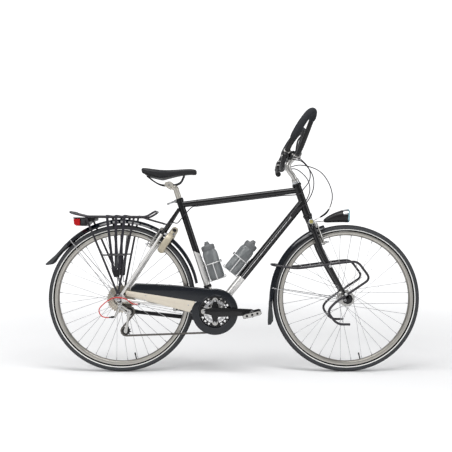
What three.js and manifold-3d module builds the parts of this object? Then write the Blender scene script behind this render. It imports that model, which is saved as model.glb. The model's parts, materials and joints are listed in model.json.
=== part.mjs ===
// A touring bicycle with its racks, mudguards, lights, bottles, brakes and gears.
// Millimetres. +X points forward, +Y to the rider's left, +Z up; the origin is on the floor, in the middle of the
// bicycle's length. The drive side is the right side, so it lies at negative Y.
import * as THREE from "three";
import { mergeVertices } from "three/addons/utils/BufferGeometryUtils.js";
import Module from "manifold-3d";

const wasm = await Module();
wasm.setup();

// Clearances: between seated pieces, round turning pieces, how far joined pieces reach into each other, and the
// distance under which two corners of a joined piece become one
const seatGap = 0.3;
const runningGap = 0.4;
const overrun = 2;
const weld = 0.06;

// Wheels
const wheelbase = 1064;
const tyreRadius = 348;
const tyreWidth = 37;
const rimRadius = 317;
const rimDepth = 19;
const rimWidth = 24;
const spokeCount = 36;
const spokeCrossings = 3;
const spokeRadius = 1;
const spokeSplay = 1.5;
const axleRadius = 5;
const axleNutRadius = 9;
const axleNutHeight = 9;
const hubEndRadius = 11;
const flangeThickness = 5.2;
const frontHubWidth = 100;
const frontFlangeRadius = 37;
const frontShellRadius = 30;
const frontFlangeSide = 27;
const hubCapRadius = 25;
const hubCapHeight = 12;
const rearHubWidth = 135;
const rearFlangeRadius = 24;
const rearShellRadius = 14;
const rearFlangeRight = 17;
const rearFlangeLeft = 33;

// Frame
const chainstayLength = 448;
const bracketDrop = 58;
const shellRadius = 21;
const shellWidth = 68;
const seatTubeAngle = 71.9;
const seatTubeLength = 558;
const seatTubeRadius = 15.9;
const seatCollarRadius = 19;
const seatCollarHeight = 16;
const topTubeDrop = 30;
const topTubeInset = 19;
const topTubeRadius = 14.5;
const downTubeInset = 62;
const downTubeRadius = 19.3;
const headTubeRadius = 18.5;
const headAngle = 70.7;
const headTubeFoot = 436;
const headTubeLength = 142;
const headCupRadius = 22.5;
const headCupHeight = 13;
const seatStayDrop = 47;
const seatStaySetback = 15;
const seatStaySpread = 34;
const seatStayRadius = 7.5;
const chainStaySpread = 34;
const chainStayRadius = 8;
const dropoutThickness = 6;
const dropoutRadius = 15;
const hangerDrop = 29;
const hangerRadius = 9;
const hangerBoltRadius = 4;
const bossRadius = 4;

// Seat post and saddle
const seatPostRadius = 13.6;
const seatPostInsert = 120;
const seatTubeBoreDepth = 165;
const seatPostShow = 74;
const seatPostSetback = 22;
const seatPostHeadRadius = 17;
const seatPostHeadWidth = 30;
const railRadius = 3.5;
const railSpread = 22;
const saddleLength = 256;
const saddleWidth = 156;
const saddleThickness = 34;
const saddleHeight = 961;

// Fork
const forkRake = 42;
const forkBladeSpread = 45;
const forkBladeRadius = 13;
const forkTipRadius = 8;
const forkCrownHeight = 400;
const forkEndThickness = 6;
const forkEndRadius = 15;
const steererRadius = 14.3;
const crownRaceRadius = 20;

// Stem and handlebar
const quillRadius = 11;
const quillInsert = 70;
const stemRadius = 13;
const stemClampRadius = 19;
const stemClampWidth = 44;
const stemRise = 144;
const stemForward = 52;
const barRadius = 11.1;
const barHalfWidth = 274;
const barDepth = 274;
const barStep = 55;
const barTilt = 64;
const gripRadius = 16.4;
const controlRadius = 17;
const controlWidth = 34;
const leverReach = 34;
const leverLength = 96;
const leverRadius = 5.5;
const leverPinRadius = 3;
const shifterLength = 34;
const shifterRadius = 4;

// Drive
const chainPitch = 12.7;
const chainPlane = 54;
const chainInnerHalf = 1.4;
const chainOuterHalf = 3.3;
const chainPlateHalfHeight = 4;
const chainRollerHalf = 2;
const toothThickness = 1.8;
const toothHeight = 3.6;
const toothRootDepth = 4.4;
const toothRootHalf = 2.4;
const ringTeeth = [48, 36, 26];
const ringSpacing = 7;
const ringHoleRadii = [44, 27, 27];
const ringBoltCircle = 52;
const ringBoltRadius = 6;
const smallBoltCircle = 34;
const smallBoltRadius = 4;
const sprocketTeeth = [11, 13, 15, 18, 22, 26, 32];
const sprocketSpacing = 5;
const drivenSprocket = 1;
const freehubRadius = 17;
const lockringRadius = 16;
const pulleyTeeth = 11;
const pulleyHubRadius = 15;
const pulleyHubWidth = 6;
const pulleyAxleRadius = 2.5;
const crankLength = 170;
const crankAxleRadius = 8.5;
const crankHubRadius = 22;
const crankTipRadius = 14;
const crankThickness = 15;
const crankPlane = 69;
const spiderArms = 4;
const spiderThickness = 4;
const pedalLength = 86;
const pedalWidth = 78;
const pedalHeight = 22;
const pedalWall = 3;
const pedalBarrelRadius = 12;
const pedalSpindleRadius = 5;
const pedalTilt = 14;
const cageLength = 91;
const cageThickness = 1.6;
const cageSide = 4.2;
const cageEndRadius = 12;
const guidePulleyAhead = 45;
const guidePulleyDrop = 58;
const derailleurRadius = 12;
const derailleurThickness = 15;

const bandHeight = 14;
const bandThickness = 3;

// Chain guard
const guardRadius = 108;
const guardOpening = 73;
const guardWall = 2.5;
const guardPlane = 61.5;
const guardDepth = 9;
const sidePlateThickness = 2;

// Mudguards
const mudguardWidth = 50;
const mudguardWall = 2;
const mudguardArch = 10;
const frontMudguardRadius = 363;
const rearMudguardRadius = 367;
const rearMudguardShift = 8;
const mudguardStayRadius = 1.8;
const mudflapFlare = 22;

// Rear rack, its straps and the rear light
const rackTubeRadius = 5;
const rackLength = 398;
const rackHeight = 735;
const rackHalfWidth = 60;
const rackFootRise = 26;
const strapWidth = 12;
const strapThickness = 2.5;
const strapDrop = 262;
const hookRadius = 2.5;
const rearLightLength = 100;
const rearLightWidth = 88;
const rearLightHeight = 40;

// Frame lock
const lockRadius = 57;
const lockWall = 9;
const lockThickness = 32;
const lockBodyHeight = 34;
const lockBodyHalfWidth = 40;
const lockGapAngle = 68;
const lockBoltRadius = 4;
const lockBoltAngle = 100;
const lockKnobRadius = 6;

// Lowrider and headlight
const lowriderTubeRadius = 5;
const lowriderHalfWidth = 88;
const lowriderRodRadius = 4;
const lowriderLength = 444;
const headlightLength = 120;
const headlightRadius = 32;

// Brakes
const brakePostHeight = 62;
const brakeArmLength = 104;
const brakeArmRadius = 6;
const brakeArmSpread = 36;
const brakePadLength = 62;
const brakePadRadius = 5.5;
const brakePinRadius = 4;

// Bottles and kickstand
const bottleRadius = 36.5;
const bottleLength = 184;
const cageWireRadius = 2.5;
const seatBottleHeight = 140;
const downBottleHeight = 190;
const standLength = 300;
const standRadius = 9;
const standFootRadius = 13;
const standPinRadius = 7;
const standPinLength = 20;
const standPlateThickness = 10;
const standSide = 38;
const cableRadius = 2.4;

const rad = THREE.MathUtils.degToRad;
const vec = (x, y, z) => new THREE.Vector3(x, y, z);
const vec2 = (x, y) => new THREE.Vector2(x, y);
const turn = 2 * Math.PI;

// Radius of a many-sided bore that a round pin of a given radius still turns in.
const boreFor = (radius, sides) => (radius + runningGap) / Math.cos(Math.PI / sides);

// How far the flats of a many-sided rod lie from its middle line.
const flatOf = (radius, sides) => radius * Math.cos(Math.PI / sides);

// A closed geometry as a solid that can be joined and cut.
function solidOf(geometry) {
  const bare = new THREE.BufferGeometry().setAttribute("position", geometry.getAttribute("position"));
  bare.setIndex(geometry.getIndex());
  const merged = mergeVertices(bare);
  return new wasm.Manifold(
    new wasm.Mesh({
      numProp: 3,
      vertProperties: merged.attributes.position.array,
      triVerts: new Uint32Array(merged.index.array),
    }),
  );
}

function geometryOf(solid) {
  const mesh = solid.getMesh();
  const geometry = new THREE.BufferGeometry();
  geometry.setAttribute("position", new THREE.BufferAttribute(new Float32Array(mesh.vertProperties), 3));
  geometry.setIndex(new THREE.BufferAttribute(new Uint32Array(mesh.triVerts), 1));
  return geometry;
}

const join = (...geometries) => geometryOf(geometries.map(solidOf).reduce((a, b) => a.add(b)));
const cut = (geometry, ...tools) => geometryOf(
  tools.map(solidOf).reduce((a, b) => a.subtract(b), solidOf(geometry)),
);

// Draws corners together where joining or cutting left a very short edge, and drops the faces that close up.
function welded(geometry) {
  const position = geometry.getAttribute("position");
  const index = geometry.getIndex().array;
  const parent = Array.from({ length: position.count }, (_, i) => i);
  const corner = (i) => vec(0, 0, 0).fromBufferAttribute(position, i);
  const keptAs = (i) => (parent[i] === i ? i : keptAs(parent[i]));
  const faces = [];
  for (let i = 0; i < index.length; i += 3) {
    faces.push([index[i], index[i + 1], index[i + 2]]);
  }
  for (const face of faces) {
    face.forEach((from, k) => {
      const a = keptAs(from);
      const b = keptAs(face[(k + 1) % face.length]);
      if (a !== b && corner(a).distanceTo(corner(b)) < weld) {
        parent[b] = a;
      }
    });
  }
  const left = faces.map((face) => face.map(keptAs)).filter(([a, b, c]) => a !== b && b !== c && c !== a);
  const keyOf = (face) => face.slice().sort().join(" ");
  const count = {};
  left.forEach((face) => {
    count[keyOf(face)] = (count[keyOf(face)] ?? 0) + 1;
  });
  const kept = left.filter((face) => count[keyOf(face)] === 1);
  return indexed(geometry.clone().setIndex(kept.flat()));
}

// Turns the faces round if the surface encloses a negative volume.
function facingOut(geometry) {
  const position = geometry.getAttribute("position");
  const index = geometry.getIndex().array;
  let volume = 0;
  for (let i = 0; i < index.length; i += 3) {
    const [a, b, c] = [0, 1, 2].map((k) => vec(0, 0, 0).fromBufferAttribute(position, index[i + k]));
    volume += a.dot(b.cross(c));
  }
  if (volume < 0) {
    for (let i = 0; i < index.length; i += 3) {
      [index[i + 1], index[i + 2]] = [index[i + 2], index[i + 1]];
    }
  }
  return geometry;
}

// The same geometry on the other side of the bicycle's middle plane.
function mirrored(geometry) {
  return facingOut(indexed(geometry.clone()).scale(1, -1, 1));
}

// Position and index only, with shared corners merged and faces of no area left out.
function indexed(geometry) {
  const bare = new THREE.BufferGeometry().setAttribute("position", geometry.getAttribute("position"));
  bare.setIndex(geometry.getIndex());
  const merged = mergeVertices(bare);
  const index = merged.getIndex().array;
  const kept = [];
  for (let i = 0; i < index.length; i += 3) {
    const [a, b, c] = [index[i], index[i + 1], index[i + 2]];
    if (a !== b && b !== c && c !== a) {
      kept.push(a, b, c);
    }
  }
  merged.setIndex(kept);
  return merged;
}

// A surface through rings of points, closed by flat ends, or joined end to end.
function loft(rings, closed = false) {
  const size = rings[0].length;
  const faces = [];
  const spans = closed ? rings.length : rings.length - 1;
  for (let i = 0; i < spans; i++) {
    for (let j = 0; j < size; j++) {
      const a = i * size + j;
      const b = i * size + ((j + 1) % size);
      const next = ((i + 1) % rings.length) * size;
      const c = next + ((j + 1) % size);
      const d = next + j;
      faces.push(a, b, c, a, c, d);
    }
  }
  if (!closed) {
    const end = (rings.length - 1) * size;
    capOf(rings[0]).forEach(([a, b, c]) => faces.push(a, c, b));
    capOf(rings[rings.length - 1]).forEach(([a, b, c]) => faces.push(end + a, end + b, end + c));
  }
  const geometry = new THREE.BufferGeometry();
  const points = rings.flat().flatMap((p) => [p.x, p.y, p.z]);
  geometry.setAttribute("position", new THREE.Float32BufferAttribute(points, 3));
  geometry.setIndex(faces);
  return facingOut(geometry);
}

// The triangles that fill a flat ring of points.
function capOf(ring) {
  const centre = ring.reduce((sum, p) => sum.add(p), vec(0, 0, 0)).divideScalar(ring.length);
  const normal = vec(0, 0, 0);
  ring.forEach((p, i) => {
    const after = ring[(i + 1) % ring.length];
    normal.add(p.clone().sub(centre).cross(after.clone().sub(centre)));
  });
  const first = ring[0].clone().sub(centre).normalize();
  const second = normal.normalize().clone().cross(first);
  const flat = ring.map((p) => {
    const offset = p.clone().sub(centre);
    return vec2(offset.dot(first), offset.dot(second));
  });
  return THREE.ShapeUtils.triangulateShape(flat, []);
}

const circle = (radius, sides, phase = 0) =>
  Array.from({ length: sides }, (_, i) => {
    const angle = phase + (turn * i) / sides;
    return vec2(radius * Math.cos(angle), radius * Math.sin(angle));
  });

// A path that bends only at its own points.
class CornerPath extends THREE.Curve {
  constructor(points) {
    super();
    this.points = points;
  }

  getPoint(t) {
    const place = t * (this.points.length - 1);
    const i = Math.min(Math.floor(place), this.points.length - 2);
    return this.points[i].clone().lerp(this.points[i + 1], place - i);
  }

  getPointAt(t) {
    return this.getPoint(t);
  }

  getTangentAt(t) {
    const i = Math.round(t * (this.points.length - 1));
    const before = this.points[Math.max(i - 1, 0)];
    const after = this.points[Math.min(i + 1, this.points.length - 1)];
    return after.clone().sub(before).normalize();
  }
}

// A tube of one round section along given points.
function tube(points, radius, sides = 5) {
  return indexed(
    new THREE.ExtrudeGeometry(new THREE.Shape(circle(radius, sides)), {
      steps: points.length - 1,
      extrudePath: new CornerPath(points),
    }),
  );
}

// Rings of points round a path that lies near one plane, whose radius may change along it.
function ringsAlong(points, radii, sides, planeNormal) {
  return points.map((point, i) => {
    const before = points[Math.max(i - 1, 0)];
    const after = points[Math.min(i + 1, points.length - 1)];
    const along = after.clone().sub(before).normalize();
    const sideways = along.clone().cross(planeNormal).normalize();
    const upward = sideways.clone().cross(along).normalize();
    return circle(radii[i], sides).map((c) =>
      point.clone().addScaledVector(sideways, c.x).addScaledVector(upward, c.y),
    );
  });
}

// A path through corner points, each corner rounded by a bend.
function bent(corners, reach, steps = 3) {
  const path = [corners[0]];
  for (let i = 1; i < corners.length - 1; i++) {
    const corner = corners[i];
    const toBefore = corners[i - 1].clone().sub(corner);
    const toAfter = corners[i + 1].clone().sub(corner);
    const length = Math.min(reach, toBefore.length() / 2, toAfter.length() / 2);
    const bend = new THREE.QuadraticBezierCurve3(
      corner.clone().add(toBefore.setLength(length)),
      corner,
      corner.clone().add(toAfter.setLength(length)),
    );
    bend.getPoints(steps).forEach((p) => {
      if (!p.equals(path[path.length - 1])) {
        path.push(p);
      }
    });
  }
  path.push(corners[corners.length - 1]);
  return path;
}

// A smooth path through points.
const smooth = (points, steps) => new THREE.CatmullRomCurve3(points, false, "centripetal").getPoints(steps);

// A straight rod between two points, which may taper.
function rod(a, b, radius, endRadius = radius, sides = 8) {
  const along = b.clone().sub(a);
  const geometry = new THREE.CylinderGeometry(endRadius, radius, along.length(), sides);
  geometry.applyQuaternion(
    new THREE.Quaternion().setFromUnitVectors(vec(0, 1, 0), along.clone().normalize()),
  );
  const middle = a.clone().lerp(b, 1 / 2);
  return indexed(geometry.translate(middle.x, middle.y, middle.z));
}

// A rod across the bicycle at a point, from one Y to another.
const across = (point, from, to, radius, sides = 8) =>
  rod(vec(point.x, from, point.z), vec(point.x, to, point.z), radius, radius, sides);

// A flat plate with an outline in X and Z, and holes, between two Y.
function plate(outline, from, to, holes = []) {
  const shape = new THREE.Shape(outline);
  shape.holes = holes.map((hole) => new THREE.Path(hole));
  const geometry = new THREE.ExtrudeGeometry(shape, { depth: Math.abs(to - from), bevelEnabled: false });
  return indexed(geometry.rotateX(rad(90)).translate(0, Math.max(from, to), 0));
}

// A ring turned about a line across the bicycle, from a closed profile of radius and Y.
function turnedAcross(point, profile, sides) {
  const points = [...profile, profile[0]].map(([r, y]) => vec2(r, y));
  return facingOut(indexed(new THREE.LatheGeometry(points, sides))).translate(point.x, 0, point.z);
}

const block = (a, b) =>
  indexed(
    new THREE.BoxGeometry(Math.abs(b.x - a.x), Math.abs(b.y - a.y), Math.abs(b.z - a.z)).translate(
      (a.x + b.x) / 2,
      (a.y + b.y) / 2,
      (a.z + b.z) / 2,
    ),
  );

// The outline in X and Z of a link with round ends.
function linkOutline(from, fromRadius, to, toRadius, steps = 3) {
  const start = vec2(from.x, from.z);
  const along = vec2(to.x - from.x, to.z - from.z);
  const heading = along.angle();
  const half = Math.acos((fromRadius - toRadius) / along.length());
  const points = [];
  for (let i = 0; i <= steps; i++) {
    const angle = heading + half + ((turn - 2 * half) * i) / steps;
    points.push(start.clone().add(vec2(fromRadius * Math.cos(angle), fromRadius * Math.sin(angle))));
  }
  for (let i = 0; i <= steps; i++) {
    const angle = heading - half + (2 * half * i) / steps;
    points.push(start.clone().add(along).add(vec2(toRadius * Math.cos(angle), toRadius * Math.sin(angle))));
  }
  return points;
}

const discOutline = (centre, radius, sides) => circle(radius, sides).map(
  (c) => c.add(vec2(centre.x, centre.z)),
);

// Points given as shares of one size from an origin.
const spread = (origin, size, shares) =>
  shares.map(([x, y, z]) => vec(origin.x + x * size, origin.y + y * size, origin.z + z * size));
const spreadFlat = (origin, size, shares) => shares.map(
  ([x, z]) => vec2(origin.x + x * size, origin.z + z * size),
);

// The outline of a band of even thickness along the inside of an open path that runs clockwise.
function band(path, thickness) {
  const inner = path.map((p, i) => {
    const before = path[Math.max(i - 1, 0)];
    const after = path[Math.min(i + 1, path.length - 1)];
    const along = after.clone().sub(before).normalize();
    return p.clone().add(vec2(along.y, -along.x).multiplyScalar(thickness));
  });
  return [...path, ...inner.reverse()];
}

// Places that the pieces share: the axles, the tubes' lines and the chain's plane.
const rearAxle = vec(-wheelbase / 2, 0, tyreRadius);
const frontAxle = vec(wheelbase / 2, 0, tyreRadius);
const bracket = vec(
  rearAxle.x + Math.sqrt(chainstayLength ** 2 - bracketDrop ** 2),
  0,
  tyreRadius - bracketDrop,
);
const seatUp = vec(-Math.cos(rad(seatTubeAngle)), 0, Math.sin(rad(seatTubeAngle)));
const seatFore = vec(seatUp.z, 0, -seatUp.x);
const steerUp = vec(-Math.cos(rad(headAngle)), 0, Math.sin(rad(headAngle)));
const steerFore = vec(steerUp.z, 0, -steerUp.x);
const steerFoot = frontAxle.clone().addScaledVector(steerFore, -forkRake);
const offLine = (origin, up, fore) => (height, ahead = 0, side = 0) =>
  origin.clone().addScaledVector(up, height).addScaledVector(fore, ahead).add(vec(0, side, 0));
const onSeat = offLine(bracket, seatUp, seatFore);
const onSteer = offLine(steerFoot, steerUp, steerFore);
const downTubeTop = onSteer(headTubeFoot + downTubeInset);
const downUp = downTubeTop.clone().sub(bracket).normalize();
const downFore = vec(-downUp.z, 0, downUp.x);
const onDown = offLine(bracket, downUp, downFore);
const headTubeTop = headTubeFoot + headTubeLength;
const seatStayTop = onSeat(seatTubeLength - seatStayDrop, -seatStaySetback);
const dropoutSide = rearHubWidth / 2;
const dropoutMiddle = dropoutSide + dropoutThickness / 2;
const seatPostBore = seatPostRadius + runningGap;
const quillBore = quillRadius + runningGap;

// Rims and tyres

const rimProfileShares = [[0, -0.28], [0.3, -0.5], [1, -0.5], [1, 0.5], [0.3, 0.5], [0, 0.28]];
const tyreProfileShares = [[0, -0.32], [0.45, -0.5], [1, -0.16], [1, 0.16], [0.45, 0.5], [0, 0.32]];
const wheelSides = 32;

function rim(axle) {
  const profile = rimProfileShares.map(([r, y]) => [rimRadius - rimDepth + r * rimDepth, y * rimWidth]);
  return turnedAcross(axle, profile, wheelSides);
}

function tyre(axle) {
  const bead = rimRadius + seatGap;
  const profile = tyreProfileShares.map(([r, y]) => [bead + r * (tyreRadius - bead), y * tyreWidth]);
  return turnedAcross(axle, profile, wheelSides);
}

// A hub turned in one piece with its flanges, and its crossed spokes. Each flange carries every second spoke, and
// half of a flange's spokes lean forward and half back, one set outside the other.
function spokedHub(axle, hub) {
  const bore = boreFor(axleRadius, spokeCount / 3);
  const half = flangeThickness / 2;
  const profile = [
    [bore, hub.rightEnd],
    [hubEndRadius, hub.rightEnd],
    [hubEndRadius, hub.right - half],
    [hub.flange, hub.right - half],
    [hub.flange, hub.right + half],
    [hub.shell, hub.right + half],
    [hub.shell, hub.left - half],
    [hub.flange, hub.left - half],
    [hub.flange, hub.left + half],
    [hubEndRadius, hub.left + half],
    [hubEndRadius, hub.leftEnd],
    [bore, hub.leftEnd],
  ];
  const pieces = [turnedAcross(axle, profile, spokeCount / 3)];
  const step = turn / spokeCount;
  const lean = spokeCrossings * 2 * step;
  for (let i = 0; i < spokeCount; i++) {
    const side = i % 2 === 0 ? hub.right : hub.left;
    const way = Math.floor(i / 2) % 2 === 0 ? 1 : -1;
    const rimAngle = (i + 1 / 2) * step;
    const hubAngle = rimAngle + way * lean;
    const hubRadius = hub.flange - 2 * overrun;
    const from = vec(
      hubRadius * Math.cos(hubAngle),
      side + way * spokeSplay,
      hubRadius * Math.sin(hubAngle),
    );
    const reach = (rimRadius - rimDepth) * Math.cos(Math.PI / wheelSides) - seatGap;
    const to = vec(
      reach * Math.cos(rimAngle),
      (Math.sign(side) * rimWidth) / 8,
      reach * Math.sin(rimAngle),
    );
    pieces.push(rod(axle.clone().add(from), axle.clone().add(to), spokeRadius, spokeRadius, 3));
  }
  return join(...pieces);
}

const frontHub = {
  flange: frontFlangeRadius,
  shell: frontShellRadius,
  right: -frontFlangeSide,
  left: frontFlangeSide,
  rightEnd: -frontHubWidth / 2 + hubCapHeight + seatGap,
  leftEnd: frontHubWidth / 2 - hubCapHeight - seatGap,
};
const cassetteInner = -chainPlane + (sprocketTeeth.length - 1 - drivenSprocket) * sprocketSpacing;
const cassetteOuter = -chainPlane - drivenSprocket * sprocketSpacing;
const rearHub = {
  flange: rearFlangeRadius,
  shell: rearShellRadius,
  right: -rearFlangeRight,
  left: rearFlangeLeft,
  rightEnd: cassetteInner + sprocketSpacing / 2 + seatGap,
  leftEnd: rearHubWidth / 2 - axleNutHeight,
};

// An axle through the hub and both ends, with a nut outside each end and a spacer inside it.
function axle(centre, halfWidth, endThickness, rightSpacer, leftSpacer, spacerRadius) {
  const outside = halfWidth + endThickness + seatGap;
  const inside = halfWidth - seatGap;
  const far = outside + axleNutHeight;
  return join(
    across(centre, -far - overrun, far + overrun, axleRadius, 6),
    across(centre, -far, -outside, axleNutRadius, 6),
    across(centre, outside, far, axleNutRadius, 6),
    across(centre, -inside, -inside + rightSpacer, spacerRadius, 8),
    across(centre, inside - leftSpacer, inside, spacerRadius, 8),
  );
}

// Chain drive

const pitchRadius = (teeth) => chainPitch / 2 / Math.sin(Math.PI / teeth);

// The chain runs clockwise, seen from the right, round the big ring, the tension pulley and a sprocket, and the
// other way round the guide pulley. The cage is turned until the chain holds a whole, even number of links.
function chainRoute(cageAngle) {
  const guide = guidePulley;
  const tension = onCage(cageAngle);
  const wheels = [
    { centre: bracket, teeth: ringTeeth[0], spin: -1 },
    { centre: tension, teeth: pulleyTeeth, spin: -1 },
    { centre: guide, teeth: pulleyTeeth, spin: 1 },
    { centre: rearAxle, teeth: sprocketTeeth[drivenSprocket], spin: -1 },
  ];
  const spans = wheels.map((wheel, i) => {
    const next = wheels[(i + 1) % wheels.length];
    const gap = vec2(next.centre.x - wheel.centre.x, next.centre.z - wheel.centre.z);
    const from = pitchRadius(wheel.teeth) * wheel.spin;
    const to = pitchRadius(next.teeth) * next.spin;
    const normal = gap.angle() - Math.acos((from - to) / gap.length());
    const outward = vec(Math.cos(normal), 0, Math.sin(normal));
    const start = wheel.centre.clone().addScaledVector(outward, from);
    const end = next.centre.clone().addScaledVector(outward, to);
    return { start, end, links: start.distanceTo(end) / chainPitch };
  });
  const stretches = [];
  wheels.forEach((wheel, i) => {
    const entry = spans[(i + wheels.length - 1) % wheels.length].end;
    const exit = spans[i].start;
    const angleOf = (p) => Math.atan2(p.z - wheel.centre.z, p.x - wheel.centre.x);
    const swept = wheel.spin * (angleOf(exit) - angleOf(entry));
    const wrap = ((swept % turn) + turn) % turn;
    stretches.push({ ...wheel, from: angleOf(entry), links: (wrap * wheel.teeth) / turn, wheel: i });
    stretches.push(spans[i]);
  });
  const links = stretches.reduce((sum, s) => sum + s.links, 0);
  return { stretches, links };
}

const guidePulley = rearAxle.clone().add(vec(guidePulleyAhead, 0, -guidePulleyDrop));
const onCage = (angle) => guidePulley.clone().add(
  vec(cageLength * Math.cos(angle), 0, cageLength * Math.sin(angle)),
);
const cageRestAngle = rad(-105);
const cageStepCount = 200;
const linkCount = 2 * Math.round(chainRoute(cageRestAngle).links / 2);

function solveCageAngle() {
  const step = rad(1) / 10;
  const count = 2 * cageStepCount + 1;
  const tries = Array.from({ length: count }, (_, i) => cageRestAngle + (i - cageStepCount) * step);
  let best = tries[0];
  tries.forEach((angle) => {
    const miss = Math.abs(chainRoute(angle).links - linkCount);
    if (miss < Math.abs(chainRoute(best).links - linkCount)) {
      best = angle;
    }
  });
  return best;
}

const cageAngle = solveCageAngle();
const route = chainRoute(cageAngle);
const tensionPulley = onCage(cageAngle);

// The place of a pin, and which way the chain runs there, a number of links from the start of the ring.
function chainPin(links) {
  let left = links;
  for (const stretch of route.stretches) {
    if (left <= stretch.links) {
      if (stretch.spin) {
        const angle = stretch.from + (stretch.spin * turn * left) / stretch.teeth;
        const radius = pitchRadius(stretch.teeth);
        const out = vec(Math.cos(angle), 0, Math.sin(angle));
        const place = stretch.centre.clone().addScaledVector(out, radius);
        return { place, along: vec(-out.z, 0, out.x).multiplyScalar(stretch.spin) };
      }
      const along = stretch.end.clone().sub(stretch.start).normalize();
      return { place: stretch.start.clone().lerp(stretch.end, left / stretch.links), along };
    }
    left -= stretch.links;
  }
  return chainPin(0);
}

// The turn of a wheel that puts a gap between teeth under the first pin on it.
function toothPhase(wheel) {
  let before = 0;
  for (const stretch of route.stretches) {
    if (stretch.wheel === wheel) {
      const first = Math.ceil(before) - before;
      return stretch.from + (stretch.spin * turn * first) / stretch.teeth;
    }
    before += stretch.links;
  }
  return 0;
}

// The chain as one ladder: side plates either side of the teeth, and a bush across at each pin. Behind each pin a
// ring of four corners on each side, inner low, inner high, outer high and outer low, and ahead of it one corner on
// each inner face, to which the bush narrows.
const chainCornerSides = [
  [chainInnerHalf, -chainPlateHalfHeight],
  [chainInnerHalf, chainPlateHalfHeight],
  [chainOuterHalf, chainPlateHalfHeight],
  [chainOuterHalf, -chainPlateHalfHeight],
];

function chain() {
  const points = [];
  for (let i = 0; i < linkCount; i++) {
    const { place, along } = chainPin((i * route.links) / linkCount);
    const up = vec(-along.z, 0, along.x);
    for (const side of [-1, 1]) {
      for (const [depth, height] of chainCornerSides) {
        const corner = place.clone().addScaledVector(along, -chainRollerHalf).addScaledVector(up, height);
        points.push(corner.x, side * depth - chainPlane, corner.z);
      }
      const tip = place.clone().addScaledVector(along, chainRollerHalf);
      points.push(tip.x, side * chainInnerHalf - chainPlane, tip.z);
    }
  }
  const faces = [];
  const corners = chainCornerSides.length;
  const perSide = corners + 1;
  for (let i = 0; i < linkCount; i++) {
    const ring = 2 * i * perSide;
    const next = ((2 * i + 2) % (2 * linkCount)) * perSide;
    const sided = (side, ...fan) => {
      for (let k = 1; k < fan.length - 1; k++) {
        const face = [fan[0], fan[k], fan[k + 1]].map((p) => p + side * perSide);
        faces.push(...(side ? face.reverse() : face));
      }
    };
    for (const side of [0, 1]) {
      for (let k = 1; k < corners; k++) {
        const after = (k + 1) % corners;
        sided(side, ring + k, ring + after, next + after, next + k);
      }
      sided(side, ring + corners, ring + 1, next + 1, next, ring);
    }
    const bush = [ring, ring + 1, ring + corners];
    bush.forEach((a, k) => {
      const b = bush[(k + 1) % bush.length];
      faces.push(a, b, b + perSide, a, b + perSide, a + perSide);
    });
  }
  const geometry = new THREE.BufferGeometry();
  geometry.setAttribute("position", new THREE.Float32BufferAttribute(points, 3));
  geometry.setIndex(faces);
  return facingOut(geometry);
}

// A toothed disc: between two teeth a seat for a bush if it carries the chain, and else a plain notch.
function toothedDisc(centre, teeth, phase, middle, thickness, holes, seats = false) {
  const radius = pitchRadius(teeth);
  const seat = seats ? [-toothRootHalf, toothRootHalf] : [0];
  const corner = (angle, r, sideways) => {
    const turned = angle + sideways / radius;
    return vec2(centre.x + r * Math.cos(turned), centre.z + r * Math.sin(turned));
  };
  const outline = [];
  for (let i = 0; i < teeth; i++) {
    const angle = phase + (turn * i) / teeth;
    seat.forEach((shift) => outline.push(corner(angle, radius - toothRootDepth, shift)));
    outline.push(corner(angle + Math.PI / teeth, radius + toothHeight, 0));
  }
  return plate(outline, middle - thickness / 2, middle + thickness / 2, holes);
}

function cassette() {
  const discs = sprocketTeeth.map((teeth, i) => {
    const middle = cassetteOuter + i * sprocketSpacing;
    const phase = i === drivenSprocket ? toothPhase(3) : 0;
    return toothedDisc(rearAxle, teeth, phase, middle, toothThickness, [], i === drivenSprocket);
  });
  const inner = cassetteInner + sprocketSpacing / 2;
  const outer = cassetteOuter - sprocketSpacing / 2;
  const core = across(rearAxle, outer, inner, freehubRadius, 8);
  const lockring = across(rearAxle, outer - overrun, outer + overrun, lockringRadius, 8);
  const opening = across(rearAxle, outer - 2 * overrun, inner + overrun, boreFor(axleRadius, 8), 8);
  return cut(join(core, lockring, ...discs), opening);
}

function chainrings() {
  const discs = ringTeeth.map((teeth, i) => {
    const phase = i === 0 ? toothPhase(0) : 0;
    const hole = discOutline(bracket, ringHoleRadii[i], 10);
    return toothedDisc(
      bracket,
      teeth,
      phase,
      i * ringSpacing - chainPlane,
      toothThickness,
      [hole],
      i === 0,
    );
  });
  const outer = -chainPlane - toothThickness / 2;
  const bolts = Array.from({ length: spiderArms }, (_, i) => {
    const angle = (turn * i) / spiderArms;
    const at = (radius) => bracket.clone().add(vec(radius * Math.cos(angle), 0, radius * Math.sin(angle)));
    const middle = ringSpacing - chainPlane;
    return [
      across(at(ringBoltCircle), outer, middle, ringBoltRadius, 6),
      across(at(smallBoltCircle), middle, middle + ringSpacing, smallBoltRadius, 5),
    ];
  });
  return join(...discs, ...bolts.flat());
}

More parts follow.
